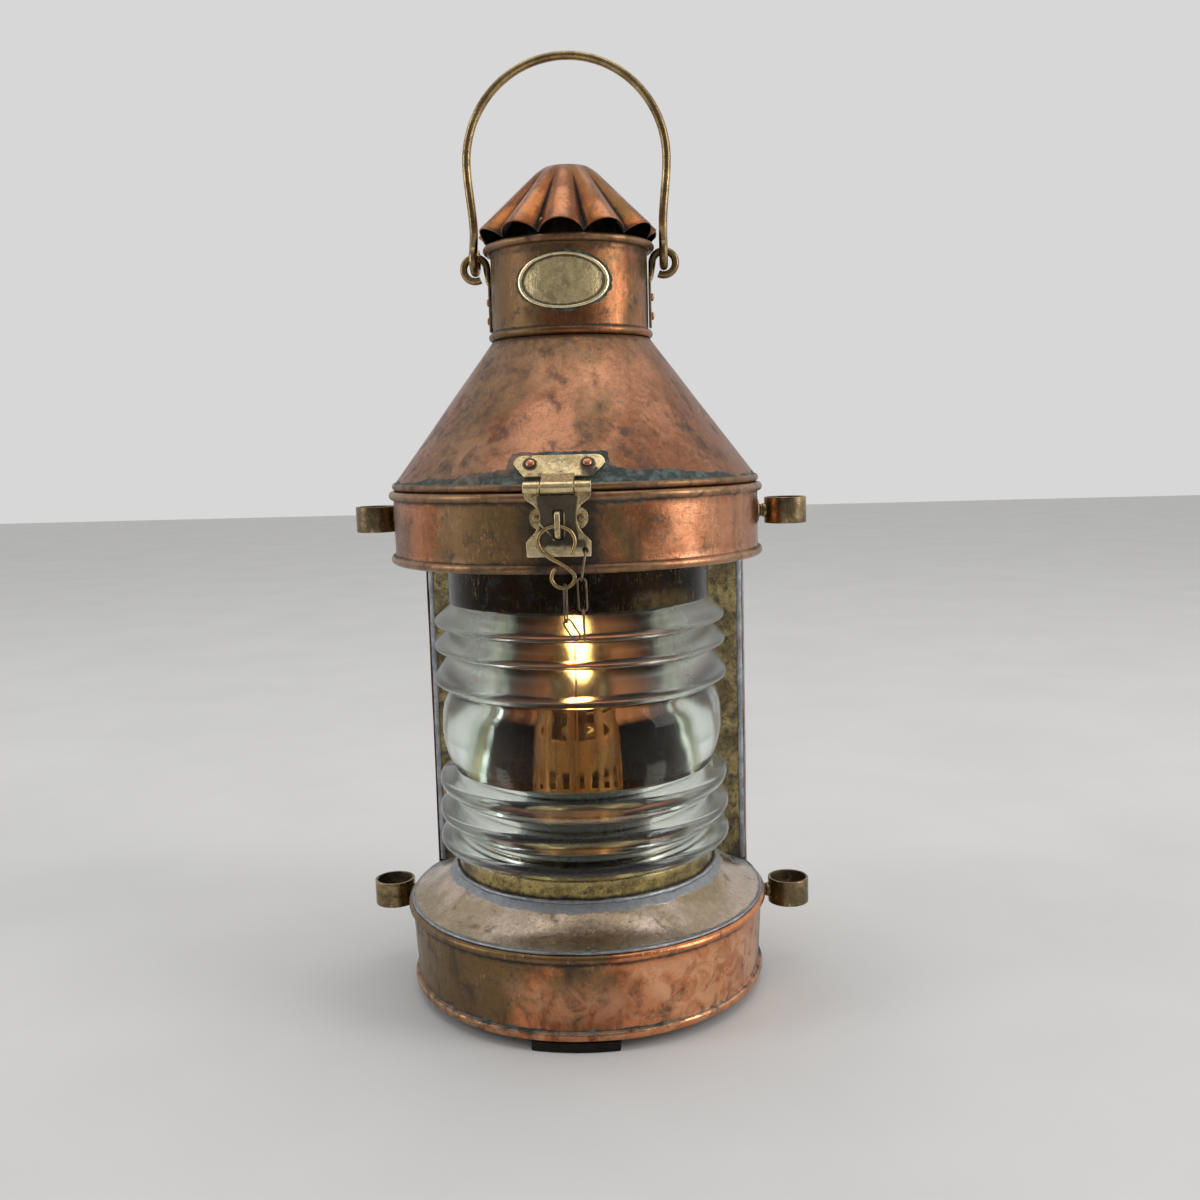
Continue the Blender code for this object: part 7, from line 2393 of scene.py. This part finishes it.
# %% Room light
def make_room():
    """A pale room, darker in front of the lantern, that the camera sees in one tone."""
    world = bpy.data.worlds.new("pale room")
    bpy.context.scene.world = world
    world.use_nodes = True
    tree = world.node_tree
    back = tree.nodes["Background"]
    rays = add(tree, "LightPath").outputs
    way = add(tree, "TexCoord").outputs["Generated"]
    parts = add(tree, "SeparateXYZ", {"Vector": way}).outputs
    behind = ramp(tree, parts["Y"], -0.55, 0.30)
    right = ramp(tree, parts["X"], 0.35, 0.95)
    left = ramp(tree, parts["X"], -0.60, -0.98)
    above = ramp(tree, parts["Z"], -0.1, 0.9)
    level = sums(tree, "ADD", sums(tree, "MULTIPLY", behind, 0.48), 0.12)
    level = sums(tree, "ADD", level, sums(tree, "MULTIPLY", right, 0.26))
    level = sums(tree, "ADD", level, sums(tree, "MULTIPLY", left, 0.22))
    level = sums(tree, "ADD", level, sums(tree, "MULTIPLY", above, 0.22))
    seen = blend_value(tree, rays["Is Camera Ray"], level, ROOM_TONE)
    tint = add(tree, "CombineXYZ", {0: seen, 1: seen, 2: seen}).outputs[0]
    tree.links.new(tint, back.inputs["Color"])
    back.inputs["Strength"].default_value = 1.0


def make_lamp(name, place, aim, size, power, tint=(1, 1, 1)):
    """A soft rectangular lamp."""
    data = bpy.data.lights.new(name, "AREA")
    data.shape = "RECTANGLE"
    data.size, data.size_y = size
    data.energy = power
    data.color = tint
    lamp = bpy.data.objects.new(name, data)
    bpy.context.scene.collection.objects.link(lamp)
    lamp.location = place
    lamp.rotation_euler = (Vector(aim) - Vector(place)).to_track_quat("-Z", "Y").to_euler()
    return lamp


make_room()
AIM = (0, 0, 0.28)
make_lamp("key", (2.4, -0.75, 1.15), AIM, (1.0, 2.0), 27.0, (1.0, 0.97, 0.94))
make_lamp("fill", (-2.4, -0.75, 1.15), AIM, (0.7, 1.8), 15.0, (0.95, 0.97, 1.0))
make_lamp("top", (0.0, 0.1, 2.6), (0, 0, 0.4), (2.0, 2.0), 12.0)
bpy.context.scene.view_settings.view_transform = "Standard"
print("lamps:", len(bpy.data.lights))
